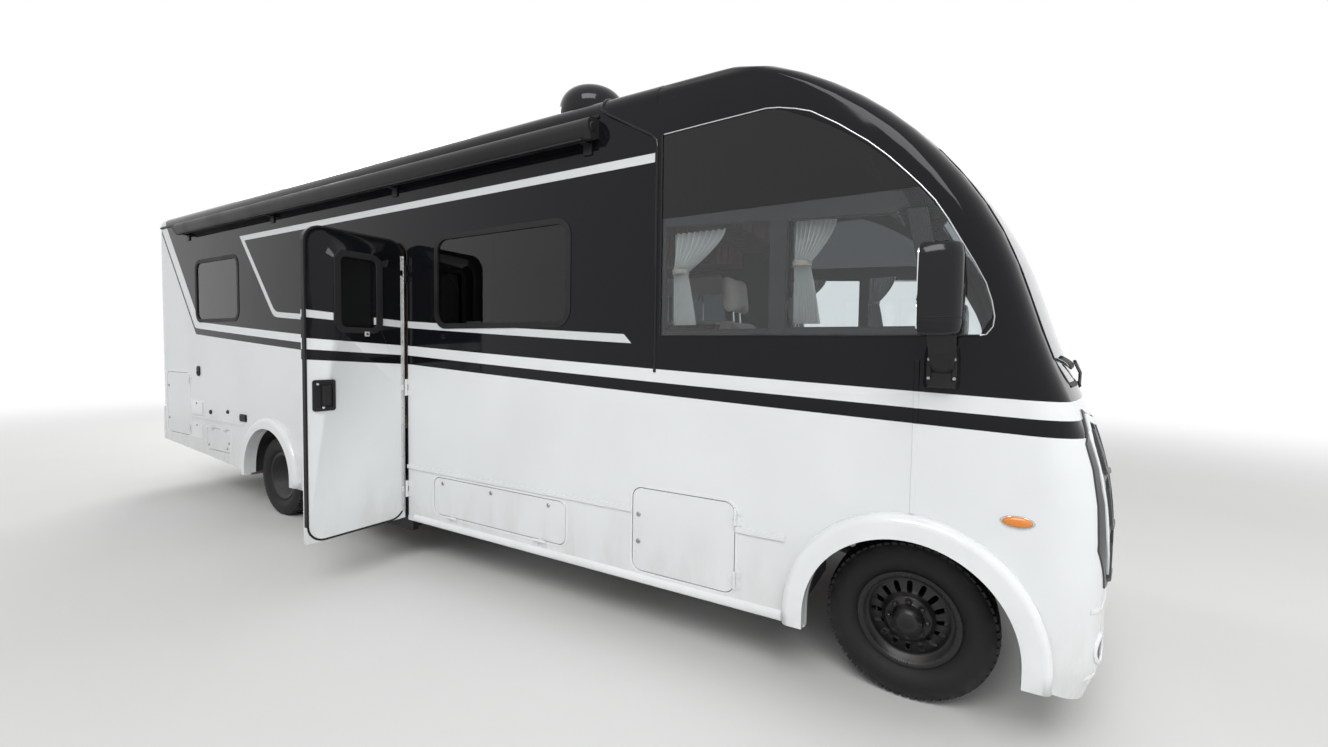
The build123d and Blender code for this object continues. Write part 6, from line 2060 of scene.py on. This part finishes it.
@dataclass
class CabSeats(Assembly):
    """Two captain's seats: swivel base, cushion, back, head rest and arm rests."""

    upholstery: Upholstery
    seat_y: float = 0.64
    slope: float = 0.115

    def build(self) -> None:
        """Make both seats."""
        y = -self.seat_y
        cushion = Pad((-0.985, y - 0.228, 1.215), (-0.495, y + 0.228, 1.34), channels=3,
            channel_axis=Axis.Y, channel_depth=0.012)
        back = Pad((-0.998, y - 0.222, 1.275), (-0.892, y + 0.222, 1.8), thin=Axis.X, channels=4,
            channel_axis=Axis.Z, channel_depth=0.011)
        head = Pad((-0.99, y - 0.135, 1.835), (-0.905, y + 0.135, 2.045), thin=Axis.X, pull=0.06, crown=0.5)
        for side in Side:
            label = side.label
            shift = (0.0, (1 + side.value) * self.seat_y, 0.0)
            self.upholstery.pad("seat_cushion_" + label, cushion, SEAT_CLOTH, kind="seat_cushion",
                shift=shift, replaces=["cab_seats"])
            self.upholstery.pad("seat_back_" + label, back, SEAT_CLOTH, kind="seat_back", shift=shift,
                slope=self.slope, replaces=["cab_seats"])
            lifted = (-(head.low[2] - back.low[2]) * self.slope, shift[1], 0.0)
            self.upholstery.pad("head_rest_" + label, head, PALE_CLOTH, kind="head_rest", shift=lifted,
                slope=self.slope, voxel=0.01, reach=0.01, replaces=["cab_seats"])
            self.base(side, label)

    def base(self, side: Side, label: str) -> None:
        """Pedestal, tray, head rest posts and arm rests of one seat."""
        y = side.value * self.seat_y
        base = Shape().skin([rounded_ring(-0.74, y, *row) for row in (
            (0.15, 0.16, 0.94505), (0.15, 0.16, 0.96), (0.125, 0.125, 0.99), (0.115, 0.115, 1.13),
            (0.135, 0.148, 1.16), (0.14, 0.15, 1.198))])
        self.piece("seat_base_" + label, base, BLACK_GRAINED, crease=40, replaces=["cab_seats"])
        tray = Shape().plate((-0.985, y - 0.215), (-0.505, y + 0.215), 0.06, Axis.Z, 1.199, 1.214)
        self.piece("seat_tray_" + label, tray, BLACK_GRAINED, bevel=0.004)
        posts = Shape()
        for offset in (-0.05, 0.05):
            posts.rod((-1.012, y + offset, 1.78), (-1.018, y + offset, 1.85), 0.007, 12)
        self.piece("head_rest_posts_" + label, posts, CHROME, crease=50)
        arms = Shape()
        for way in (-1, 1):
            line = y + way * 0.236
            arms.skin([stand(corners((line - wide, z0), (line + wide, z1)), Axis.X, -0.955 + x)
                for x, z0, z1, wide in ((0.0, 1.52, 1.57, 0.004), (0.03, 1.5, 1.575, 0.011),
                (0.2, 1.51, 1.572, 0.011), (0.33, 1.53, 1.57, 0.011), (0.35, 1.54, 1.562, 0.011))])
        self.piece("seat_arms_" + label, arms, SEAT_CLOTH, bevel=0.006, crease=50)


def rounded_ring(x: float, y: float, half_x: float, half_y: float, z: float) -> list[Point]:
    """Level ring with rounded corners about a place."""
    outline = rounded_outline((x - half_x, y - half_y), (x + half_x, y + half_y), min(half_x, half_y) * 0.45)
    return stand(outline, Axis.Z, z)


@dataclass
class CabFittings(Assembly):
    """Instruments, screen, vents, sun visors and the steering column's shroud and levers."""

    def build(self) -> None:
        """Make the cab's fittings."""
        hood = Shape().skin([[(0.06, y, 1.372), (0.12, y, top - 0.006), (0.3, y, top), (0.38, y, 1.404)]
            for y, top in ((0.36, 1.386), (0.385, 1.455), (0.45, 1.478), (0.6, 1.486), (0.75, 1.478),
            (0.815, 1.455), (0.84, 1.386))])
        self.piece("instrument_hood", hood, BLACK_GRAINED, bevel=0.006, crease=30)
        face = Shape().plate((0.42, 1.382), (0.78, 1.47), 0.03, Axis.X, 0.0905, 0.1)
        self.piece("instrument_face", face, BLACK_SATIN, bevel=0.002)
        dial = Shape().turned([(0.03, 0.0), (0.034, 0.0), (0.034, 0.008), (0.03, 0.008)],
            (0.082, 0.5, 1.426), Axis.X, 32)
        for tick in range(9):
            angle = math.radians(-120 + 30 * tick)
            y = 0.5 + 0.025 * math.sin(angle)
            z = 1.426 + 0.025 * math.cos(angle)
            dial.box((0.0895, y - 0.0012, z - 0.0012), (0.0903, y + 0.0012, z + 0.0012))
        dial.rod((0.0885, 0.5, 1.426), (0.0885, 0.485, 1.443), 0.0012, 8, 0.0006)
        self.row("dials", dial, (0.082, 0.5, 1.426), SILVER, 3, step=(0.0, 0.1, 0.0))
        screen = Shape().plate((-0.13, 1.395), (0.13, 1.545), 0.01, Axis.X, 0.105, 0.125)
        self.piece("cab_screen", screen, BLACK_GLOSS, bevel=0.003)
        stalk = Shape().rod((0.125, 0.0, 1.46), (0.19, 0.0, 1.385), 0.016)
        self.piece("screen_stalk", stalk, BLACK_SATIN)
        for index, y in enumerate((-0.75, -0.25, 0.25, 0.86)):
            frame = Shape().skin([stand(corners((y - wide, 1.285), (y + wide, 1.345)), Axis.X, x)
                for x, wide in ((0.012, 0.056), (-0.004, 0.056), (-0.004, 0.048), (0.008, 0.048))],
                caps=False)
            self.piece(f"cab_vent_{index}", frame, BLACK_GRAINED, bevel=0.001)
            slat = Shape().box((0.003, y - 0.045, 1.298), (0.012, y + 0.045, 1.301))
            self.row(f"cab_vent_slats_{index}", slat, (0.0, y, 1.298), BLACK_SATIN, 4, step=(0.0, 0.0, 0.011))
        for side in Side:
            y = side.value * 0.58
            visor = Shape().skin([[(x, y - 0.24, z), (x, y + 0.24, z), (x - 0.012, y + 0.24, z - 0.012),
                (x - 0.012, y - 0.24, z - 0.012)] for x, z in ((-0.36, 2.69), (-0.3, 2.64),
                (-0.25, 2.59))])
            self.piece("sun_visor_" + side.label, visor, GREY, bevel=0.005, crease=50)
        shroud = Shape().skin([[(x, 0.6 + half_y * cosine, z + half_z * sine)
            for cosine, sine in circle(28)] for x, z, half_y, half_z in ((-0.205, 1.438, 0.05, 0.046),
            (-0.12, 1.382, 0.062, 0.056), (-0.02, 1.315, 0.068, 0.062), (0.02, 1.285, 0.06, 0.056))])
        self.piece("column_shroud", shroud, BLACK_GRAINED, crease=40)
        for side in Side:
            lever = Shape().rod((-0.15, 0.6 + side.value * 0.045, 1.412),
                (-0.165, 0.6 + side.value * 0.19, 1.438), 0.007, 12, 0.01)
            self.piece("column_lever_" + side.label, lever, BLACK_SATIN, bevel=0.002)


@dataclass
class Living(Assembly):
    """Cabinet fronts, kitchen fittings, light strip, sofa and bed of the living space."""

    upholstery: Upholstery

    def front(self, shape: Shape, x0: float, x1: float, z0: float, z1: float, y: float,
            rail: float = 0.055) -> None:
        """Add one cabinet door with a raised frame and a sunk panel."""
        gap = 0.004
        x0, x1, z0, z1 = x0 + gap, x1 - gap, z0 + gap, z1 - gap
        rings = [stand(corners((x0 + inset, z0 + inset), (x1 - inset, z1 - inset)), Axis.Y, y - out)
            for inset, out in ((0.0, 0.0002), (0.0, 0.018), (rail, 0.018), (rail + 0.008, 0.01),
            (rail + 0.03, 0.01), (rail + 0.045, 0.014))]
        shape.skin(rings)

    def pull(self, x: float, z: float, y: float) -> Shape:
        """Bar handle with two feet."""
        half, out, tip = 0.055, y - 0.018, y - 0.046
        line = [(x - half, out), (x - half, tip + 0.006), (x - half + 0.006, tip), (x + half - 0.006, tip),
                (x + half, tip + 0.006), (x + half, out)]
        return Shape().pipe(stand(line, Axis.Z, z), 0.0045, 10)

    def galley(self) -> None:
        """Worktop, doors, sink and hob of the kitchen."""
        fronts = Shape()
        pulls = Shape()
        y = 0.56
        width = 1.6 / 4
        for index in range(4):
            x0 = -3.3 + width * index
            self.front(fronts, x0, x0 + width, 1.04, 1.6, y)
            self.front(fronts, x0, x0 + width, 1.605, 1.81, y, 0.035)
            for z in (1.55, 1.72):
                pulls = joined(pulls, self.pull(x0 + width / 2, z, y))
        self.piece("galley_fronts", fronts, VENEER, bevel=0.0015)
        self.piece("galley_pulls", pulls, CHROME, crease=50)
        top = Shape().prism([(0.535, 1.8402), (1.149, 1.8402), (1.149, 1.866), (0.541, 1.866),
            (0.535, 1.86)], Axis.X, -3.315, -1.685)
        self.piece("worktop", top, WORKTOP, bevel=0.002)
        bowl = Shape().skin([rounded_ring(-2.05, 0.84, *row) for row in ((0.21, 0.17, 1.8665),
            (0.21, 0.17, 1.8715), (0.185, 0.145, 1.8715), (0.18, 0.14, 1.8668))], caps=False)
        self.piece("sink_rim", bowl, CHROME, crease=40)
        line = [(1.04, 1.866), (1.04, 2.06), (1.03, 2.105), (1.0, 2.13), (0.96, 2.13), (0.93, 2.105),
            (0.92, 2.07)]
        tap = Shape().pipe(stand(line, Axis.X, -2.05), 0.011, 14)
        tap.turned([(0.0, 0.0), (0.024, 0.0), (0.02, 0.012), (0.0, 0.012)], (-2.05, 1.04, 1.8662), Axis.Z, 24)
        self.piece("sink_tap", tap, CHROME, crease=50)
        hob = Shape().plate((-3.05, 0.64), (-2.55, 1.05), 0.02, Axis.Z, 1.8664, 1.874)
        self.piece("hob_plate", hob, BLACK_GLOSS, bevel=0.002)
        ring = Shape().turned([(0.04, 0.0), (0.052, 0.0), (0.05, 0.012), (0.042, 0.012)],
            (-2.93, 0.845, 1.8745), Axis.Z, 28)
        for cosine, sine in circle(4):
            ring.rod((-2.93 + 0.03 * cosine, 0.845 + 0.03 * sine, 1.893),
                (-2.93 + 0.09 * cosine, 0.845 + 0.09 * sine, 1.893), 0.004, 8)
        self.row("hob_rings", ring, (-2.93, 0.845, 1.8745), BLACK_SATIN, 2, step=(0.26, 0.0, 0.0))

    def cupboards(self) -> None:
        """Doors of the overhead cupboards and the bed base."""
        fronts = Shape()
        pulls = Shape()
        width = 2.6 / 6
        for index in range(6):
            x0 = -4.3 + width * index
            self.front(fronts, x0, x0 + width, 2.43, 2.8, 0.82, 0.045)
            pulls = joined(pulls, self.pull(x0 + width / 2, 2.49, 0.82))
        self.piece("cupboard_fronts", fronts, VENEER, bevel=0.0015)
        self.piece("cupboard_pulls", pulls, CHROME, crease=50)
        strip = Shape().box((-4.28, 0.835, 2.3945), (-1.72, 0.855, 2.3995))
        self.piece("cupboard_light", strip, LENS, bevel=0.001)
        base = Shape()
        handles = Shape()
        for index in range(3):
            x0 = -7.78 + 0.62 * index
            self.front(base, x0, x0 + 0.62, 1.02, 1.35, -0.52)
            handles = joined(handles, self.pull(x0 + 0.31, 1.29, -0.52))
        self.piece("bed_base_fronts", base, VENEER, bevel=0.0015)
        self.piece("bed_base_pulls", handles, CHROME, crease=50)

    def soft(self) -> None:
        """Sofa cushions, mattress and pillows."""
        width = 1.28 / 2
        seat = Pad((-3.03, -1.008, 1.302), (-3.04 + width - 0.008, -0.604, 1.42), channels=2,
            channel_axis=Axis.X, channel_depth=0.01)
        back = Pad((-3.03, -1.14, 1.44), (-3.04 + width - 0.008, -1.032, 1.72), thin=Axis.Y, channels=3,
            channel_axis=Axis.X, channel_depth=0.01)
        for index in range(2):
            shift = (width * index, 0.0, 0.0)
            self.upholstery.pad(f"sofa_seat_{index}", seat, PALE_CLOTH, kind="sofa_seat", shift=shift,
                voxel=0.014, replaces=["cushions"])
            self.upholstery.pad(f"sofa_back_{index}", back, PALE_CLOTH, kind="sofa_back", shift=shift,
                voxel=0.014, reach=0.008, replaces=["cushions"])
        bed = Pad((-7.805, -0.535, 1.392), (-5.885, 1.095, 1.585), crown=0.14, pull=0.004, edge=0.1,
            channels=8, channel_axis=Axis.X, channel_depth=0.008, grid=120)
        piece = self.piece("mattress", bed.shape(), PALE_CLOTH, crease=180, replaces=["cushions"])
        pillow = Pad((-7.785, -0.43, 1.588), (-7.395, 0.2, 1.7), crown=0.75, pull=0.1)
        for index in range(2):
            self.upholstery.pad(f"pillow_{index}", pillow, CURTAIN, kind="pillow",
                shift=(0.0, 0.78 * index, 0.0), voxel=0.014, reach=0.012, fill=0.5)

    def build(self) -> None:
        """Make the living space."""
        self.galley()
        self.cupboards()
        self.soft()


# Underside, roof and rear


@dataclass
class Underside(Assembly):
    """Coil springs, dampers, U-bolts, brake drums and tank straps."""

    coil_steps: int = 130

    def build(self) -> None:
        """Make the running gear's details."""
        for side in Side:
            self.coil(side)
            self.damper(side)
            self.rear_spring(side)
            self.drum(side)
        straps = Shape()
        for x in (-2.95, -2.05):
            straps.prism([(0.064, 0.768), (0.064, 0.434), (0.376, 0.434), (0.376, 0.768), (0.3705, 0.768),
                (0.3705, 0.4395), (0.0695, 0.4395), (0.0695, 0.768)], Axis.X, x - 0.022, x + 0.022)
        self.piece("fuel_tank_straps", straps, STEEL, bevel=0.001)

    def coil(self, side: Side) -> None:
        """Front coil spring round its strut."""
        y = side.value * 0.49
        path = []
        for step in range(self.coil_steps + 1):
            angle = 2 * math.pi * step / 20
            share = step / self.coil_steps
            path.append((0.062 * math.cos(angle), y + 0.062 * math.sin(angle), 0.43 + 0.152 * share))
        self.piece("front_coil_" + side.label, Shape().pipe(path, 0.0075, 10), BLACK_SATIN, crease=60)

    def damper(self, side: Side) -> None:
        """Front and rear dampers."""
        s = side.value
        shape = Shape()
        for low, high in (((-0.16, s * 0.5, 0.36), (-0.2, s * 0.46, 0.63)),
                ((REAR_AXLE + 0.2, s * 0.5, 0.36), (REAR_AXLE + 0.42, s * 0.4, 0.61))):
            start, end = Vector(low), Vector(high)
            middle = start.lerp(end, 0.55)
            shape = joined(shape, Shape().rod(tuple(start), tuple(middle), 0.026, 20),
                Shape().rod(tuple(start.lerp(end, 0.3)), tuple(start.lerp(end, 0.86)), 0.031, 20),
                Shape().rod(tuple(middle), tuple(end), 0.009, 12))
            for place in (start, end):
                shape.turned([(0.01, -0.02), (0.02, -0.02), (0.02, 0.02), (0.01, 0.02)], tuple(place),
                    Axis.Y, 20)
        self.piece("dampers_" + side.label, shape, STEEL, crease=40)

    def rear_spring(self, side: Side) -> None:
        """U-bolts and clamp plate over one rear spring."""
        y = side.value * 0.435
        bolts = Shape()
        for x in (REAR_AXLE - 0.075, REAR_AXLE + 0.075):
            for offset in (-0.047, 0.047):
                bolts.rod((x, y + offset, 0.285), (x, y + offset, 0.52), 0.0075, 12)
                bolts.turned([(0.0, 0.0), (0.013, 0.0), (0.013, 0.012), (0.0, 0.012)],
                    (x, y + offset, 0.285), Axis.Z, 6)
            bolts.rod((x, y - 0.0545, 0.52), (x, y + 0.0545, 0.52), 0.0075, 12)
        plate = Shape().box((REAR_AXLE - 0.095, y - 0.062, 0.299), (REAR_AXLE + 0.095, y + 0.062, 0.309))
        self.piece("spring_bolts_" + side.label, bolts, ZINC, crease=40)
        self.piece("spring_plate_" + side.label, plate, STEEL, bevel=0.002)

    def drum(self, side: Side) -> None:
        """Brake drum inside the twin wheels, turning with them."""
        way = side.value
        y = way * 0.7
        drum = Shape().turned([(0.1, 0.0), (0.165, 0.0), (0.17, 0.006), (0.17, 0.045), (0.16, 0.058),
            (0.1, 0.06)], (REAR_AXLE, y, AXLE_Z), Axis.Y, 48, way=way)
        self.piece("brake_drum_" + side.label, drum, CAST, f"rear_{side.label}_wheels", crease=30)


@dataclass
class RoofGear(Assembly):
    """Air unit slots and gasket, vent flanges and ribs, dome base and sealant beads on the roof."""

    def build(self) -> None:
        """Make the roof's details."""
        slot = Shape().box((REAR_AXLE + 0.4335, -0.24, ROOF_Z + 0.07),
            (REAR_AXLE + 0.4345, 0.24, ROOF_Z + 0.078))
        slot.box((REAR_AXLE + 1.2855, -0.24, ROOF_Z + 0.07), (REAR_AXLE + 1.2865, 0.24, ROOF_Z + 0.078))
        self.row("air_unit_slots", slot, (0.0, 0.0, ROOF_Z), BLACK_SATIN, 8, step=(0.0, 0.0, 0.015))
        skirt = Shape().plate((REAR_AXLE + 0.425, -0.37), (REAR_AXLE + 1.295, 0.37), 0.1, Axis.Z,
            ROOF_Z - 0.001, ROOF_Z + 0.012)
        self.piece("air_unit_gasket", skirt, RUBBER, bevel=0.003)
        for index, x in enumerate((-3.1, REAR_AXLE - 1.215)):
            flange = Shape().plate((x - 0.235, -0.235), (x + 0.235, 0.235), 0.03, Axis.Z, ROOF_Z - 0.001,
                ROOF_Z + 0.006)
            self.piece(f"vent_flange_{index}", flange, ROOF_SHEET, bevel=0.002)
            ribs = Shape()
            for offset in (-0.1, 0.0, 0.1):
                ribs.box((x - 0.14, offset - 0.008, ROOF_Z + 0.1095),
                    (x + 0.14, offset + 0.008, ROOF_Z + 0.116))
            self.piece(f"vent_ribs_{index}", ribs, ROOF_SHEET, bevel=0.003)
        base = Shape().turned([(0.205, 0.0), (0.238, 0.0), (0.238, 0.01), (0.222, 0.022), (0.2105, 0.024),
            (0.205, 0.02)], (-1.965, -0.83, ROOF_Z - 0.001), Axis.Z, 64)
        self.piece("dome_base", base, BLACK_GRAINED, crease=40)
        seam = Shape()
        for x in (-2.35, -6.1):
            seam.prism([(x - 0.03, ROOF_Z - 0.002), (x + 0.03, ROOF_Z - 0.002),
                (x + 0.022, ROOF_Z + 0.0025), (x - 0.022, ROOF_Z + 0.0025)], Axis.Y, -1.08, 1.08)
        self.piece("roof_beads", seam, ROOF_SHEET, bevel=0.001)


@dataclass
class Rear(Assembly):
    """Tail lamps, number plate holder, clearance lamps and bumper details."""

    def build(self) -> None:
        """Make the rear's details."""
        for side in Side:
            label = side.label
            y0, y1 = sorted((side.value * 1.008, side.value * 1.112))
            for order, (z0, z1, finish) in enumerate(((0.978, 1.088, RED), (1.094, 1.19, AMBER),
                    (1.196, 1.312, RED))):
                lens = Shape().skin([stand(corners((y0 + inset, z0 + inset), (y1 - inset, z1 - inset)),
                    Axis.X, TAIL - out) for out, inset in ((0.0145, 0.0), (0.022, 0.001), (0.026, 0.006),
                    (0.027, 0.014))])
                self.piece(f"tail_lens_{label}_{order}", lens, finish, bevel=0.002, crease=50)
            frame = Shape().skin([stand(corners((y0 - grow, 0.978 - grow), (y1 + grow, 1.312 + grow)),
                Axis.X, TAIL - out) for out, grow in ((0.001, 0.014), (0.02, 0.014), (0.0225, 0.01),
                (0.0225, 0.002), (0.012, 0.002))])
            self.piece("tail_frame_" + label, frame, BLACK_GLOSS, crease=40, replaces=["tail_lamps"])
            reflector = Shape().plate((side.value * 1.02 - 0.03, 0.72), (side.value * 1.02 + 0.03, 0.78),
                0.008, Axis.X, TAIL - 0.0655, TAIL - 0.0615)
            self.piece("reflector_rear_" + label, reflector, RED, bevel=0.001)
        lamp = Shape().plate((-0.32, 2.845), (-0.22, 2.875), 0.01, Axis.X, TAIL - 0.016, TAIL + 0.0005)
        self.row("clearance_lamps", lamp, (TAIL, -0.27, 2.86), RED, 3, step=(0.0, 0.27, 0.0), bevel=0.004)
        plate = Shape().plate((-0.165, 0.665), (0.165, 0.835), 0.012, Axis.X, TAIL - 0.0655, TAIL - 0.0615)
        self.piece("number_plate_blank", plate, WHITE, bevel=0.001)
        holder = Shape().plate((-0.18, 0.65), (0.18, 0.85), 0.016, Axis.X, TAIL - 0.0635, TAIL - 0.0605)
        self.piece("number_plate_holder", holder, BLACK_SATIN, bevel=0.001)
        pad = Shape().prism([(TAIL - 0.066, 0.846), (TAIL - 0.059, 0.8805), (TAIL - 0.004, 0.8805),
            (TAIL - 0.004, 0.8865), (TAIL - 0.062, 0.8865), (TAIL - 0.07, 0.85)], Axis.Y, -1.1, 1.1)
        self.piece("bumper_tread", pad, BLACK_GRAINED, bevel=0.002)


# Camera, light and floor


@dataclass
class Studio:
    """Camera fitted to the photograph, with plain soft light and a pale floor."""

    focal_px: float = 532.6
    frame_px: Point2 = (1328.0, 747.0)
    yaw: float = 29.92
    pitch: float = 2.48
    roll: float = 0.84
    eye: Point = (0.213, -3.639, 1.608)
    sensor_mm: float = 36.0
    clip_end: float = 200.0
    floor_reach: float = 60.0
    lamps: tuple[tuple[str, Point, Point, Point2, float, bool], ...] = (
        ("key", (1.0, -8.0, 8.5), (-3.0, 0.0, 1.0), (7.0, 4.0), 600.0, True),
        ("front", (8.0, -1.0, 5.0), (-1.0, 0.0, 1.3), (4.0, 3.0), 210.0, False),
        ("rear", (-13.0, 4.0, 6.0), (-4.0, 0.0, 1.5), (5.0, 4.0), 400.0, True),
    )

    def camera(self) -> None:
        """Place the camera."""
        yaw, pitch, roll = (math.radians(angle) for angle in (self.yaw, self.pitch, self.roll))
        ahead = Vector((-math.sin(yaw) * math.cos(pitch), math.cos(yaw) * math.cos(pitch), -math.sin(pitch)))
        level = Vector((math.cos(yaw), math.sin(yaw), 0.0))
        over = level.cross(ahead)
        right = level * math.cos(roll) + over * math.sin(roll)
        up = over * math.cos(roll) - level * math.sin(roll)
        data = bpy.data.cameras.new("photo_camera")
        data.sensor_width = self.sensor_mm
        data.lens = data.sensor_width * self.focal_px / self.frame_px[0]
        data.clip_end = self.clip_end
        camera = in_scene("photo_camera", data)
        place = Matrix((right, up, -ahead)).transposed().to_4x4()
        place.translation = moved(self.eye)
        camera.matrix_world = place
        bpy.context.scene.camera = camera

    def lamp(self, name: str, place: Point, aim: Point, size: Point2, power: float, mirrored: bool) -> None:
        """Add one soft rectangular light, seen in gloss or not."""
        data = bpy.data.lights.new(name, "AREA")
        data.shape = "RECTANGLE"
        data.size, data.size_y = size
        data.energy = power
        lamp = in_scene(name, data)
        lamp.visible_glossy = mirrored
        lamp.location = moved(place)
        lamp.rotation_euler = (Vector(aim) - Vector(place)).to_track_quat("-Z", "Y").to_euler()

    def world(self) -> None:
        """White for the camera and in reflections of the horizon, softer as light."""
        world = bpy.data.worlds.new("studio")
        bpy.context.scene.world = world
        world.use_nodes = True
        tree = world.node_tree
        shine = tree.nodes["Background"]
        coords = tree.nodes.new("ShaderNodeTexCoord")
        split = tree.nodes.new("ShaderNodeSeparateXYZ")
        tree.links.new(coords.outputs["Generated"], split.inputs[0])
        height = Field(tree, split.outputs["Z"])
        seen = seen_share(tree)
        light = height.ramp(-0.05, 0.6) * 0.3 + 0.3
        level = light * seen.flip() + seen
        tree.links.new(level.socket, shine.inputs["Strength"])
        shine.inputs["Color"].default_value = (1.0, 1.0, 1.0, 1.0)

    def floor(self) -> None:
        """Large pale floor."""
        shape = Shape()
        reach = self.floor_reach
        shape.add(stand(corners((-reach, -reach), (reach, reach)), Axis.Z, 0.0), [(0, 1, 2, 3)])
        mesh = shape.mesh("floor_sheet")
        mesh.materials.append(FLOOR.material())
        floor = in_scene("floor_sheet", mesh)

    def build(self) -> None:
        """Make the camera, lamps, world and floor."""
        self.camera()
        self.world()
        self.floor()
        for row in self.lamps:
            self.lamp(*row)
        bpy.context.scene.view_settings.view_transform = "Standard"


def main() -> None:
    """Load the frame, dress it and build every sub-assembly."""
    logging.basicConfig(level=logging.INFO, format="%(message)s")
    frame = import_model()
    Studio().build()
    dress_nodes(frame)
    yard = Yard(frame)
    repeat = Repeat()
    smooth_nodes(yard)
    nose = Skin(frame, "front_cap", "lamp_bezels", "headlamps", "grille", "windscreen")
    lamp_form = BezelForm(frame, "front_cap", "lamp_bezels")
    upholstery = Upholstery(yard, repeat)
    for kind, *extra in ((Wheels,), (BodyTrim,), (SideWindows,), (EntryDoor,), (Doorway,), (Baggage,),
            (ServiceFittings,), (FrontLamps, nose, lamp_form), (NoseTrim, nose), (Mirrors,), (Awning,),
            (CabSeats, upholstery), (CabFittings,), (Living, upholstery), (Underside,), (RoofGear,),
            (Rear,)):
        kind(yard, repeat, *extra).build()
    LOG.info("%d pieces", len(yard.made))


if __name__ == "__main__":
    main()
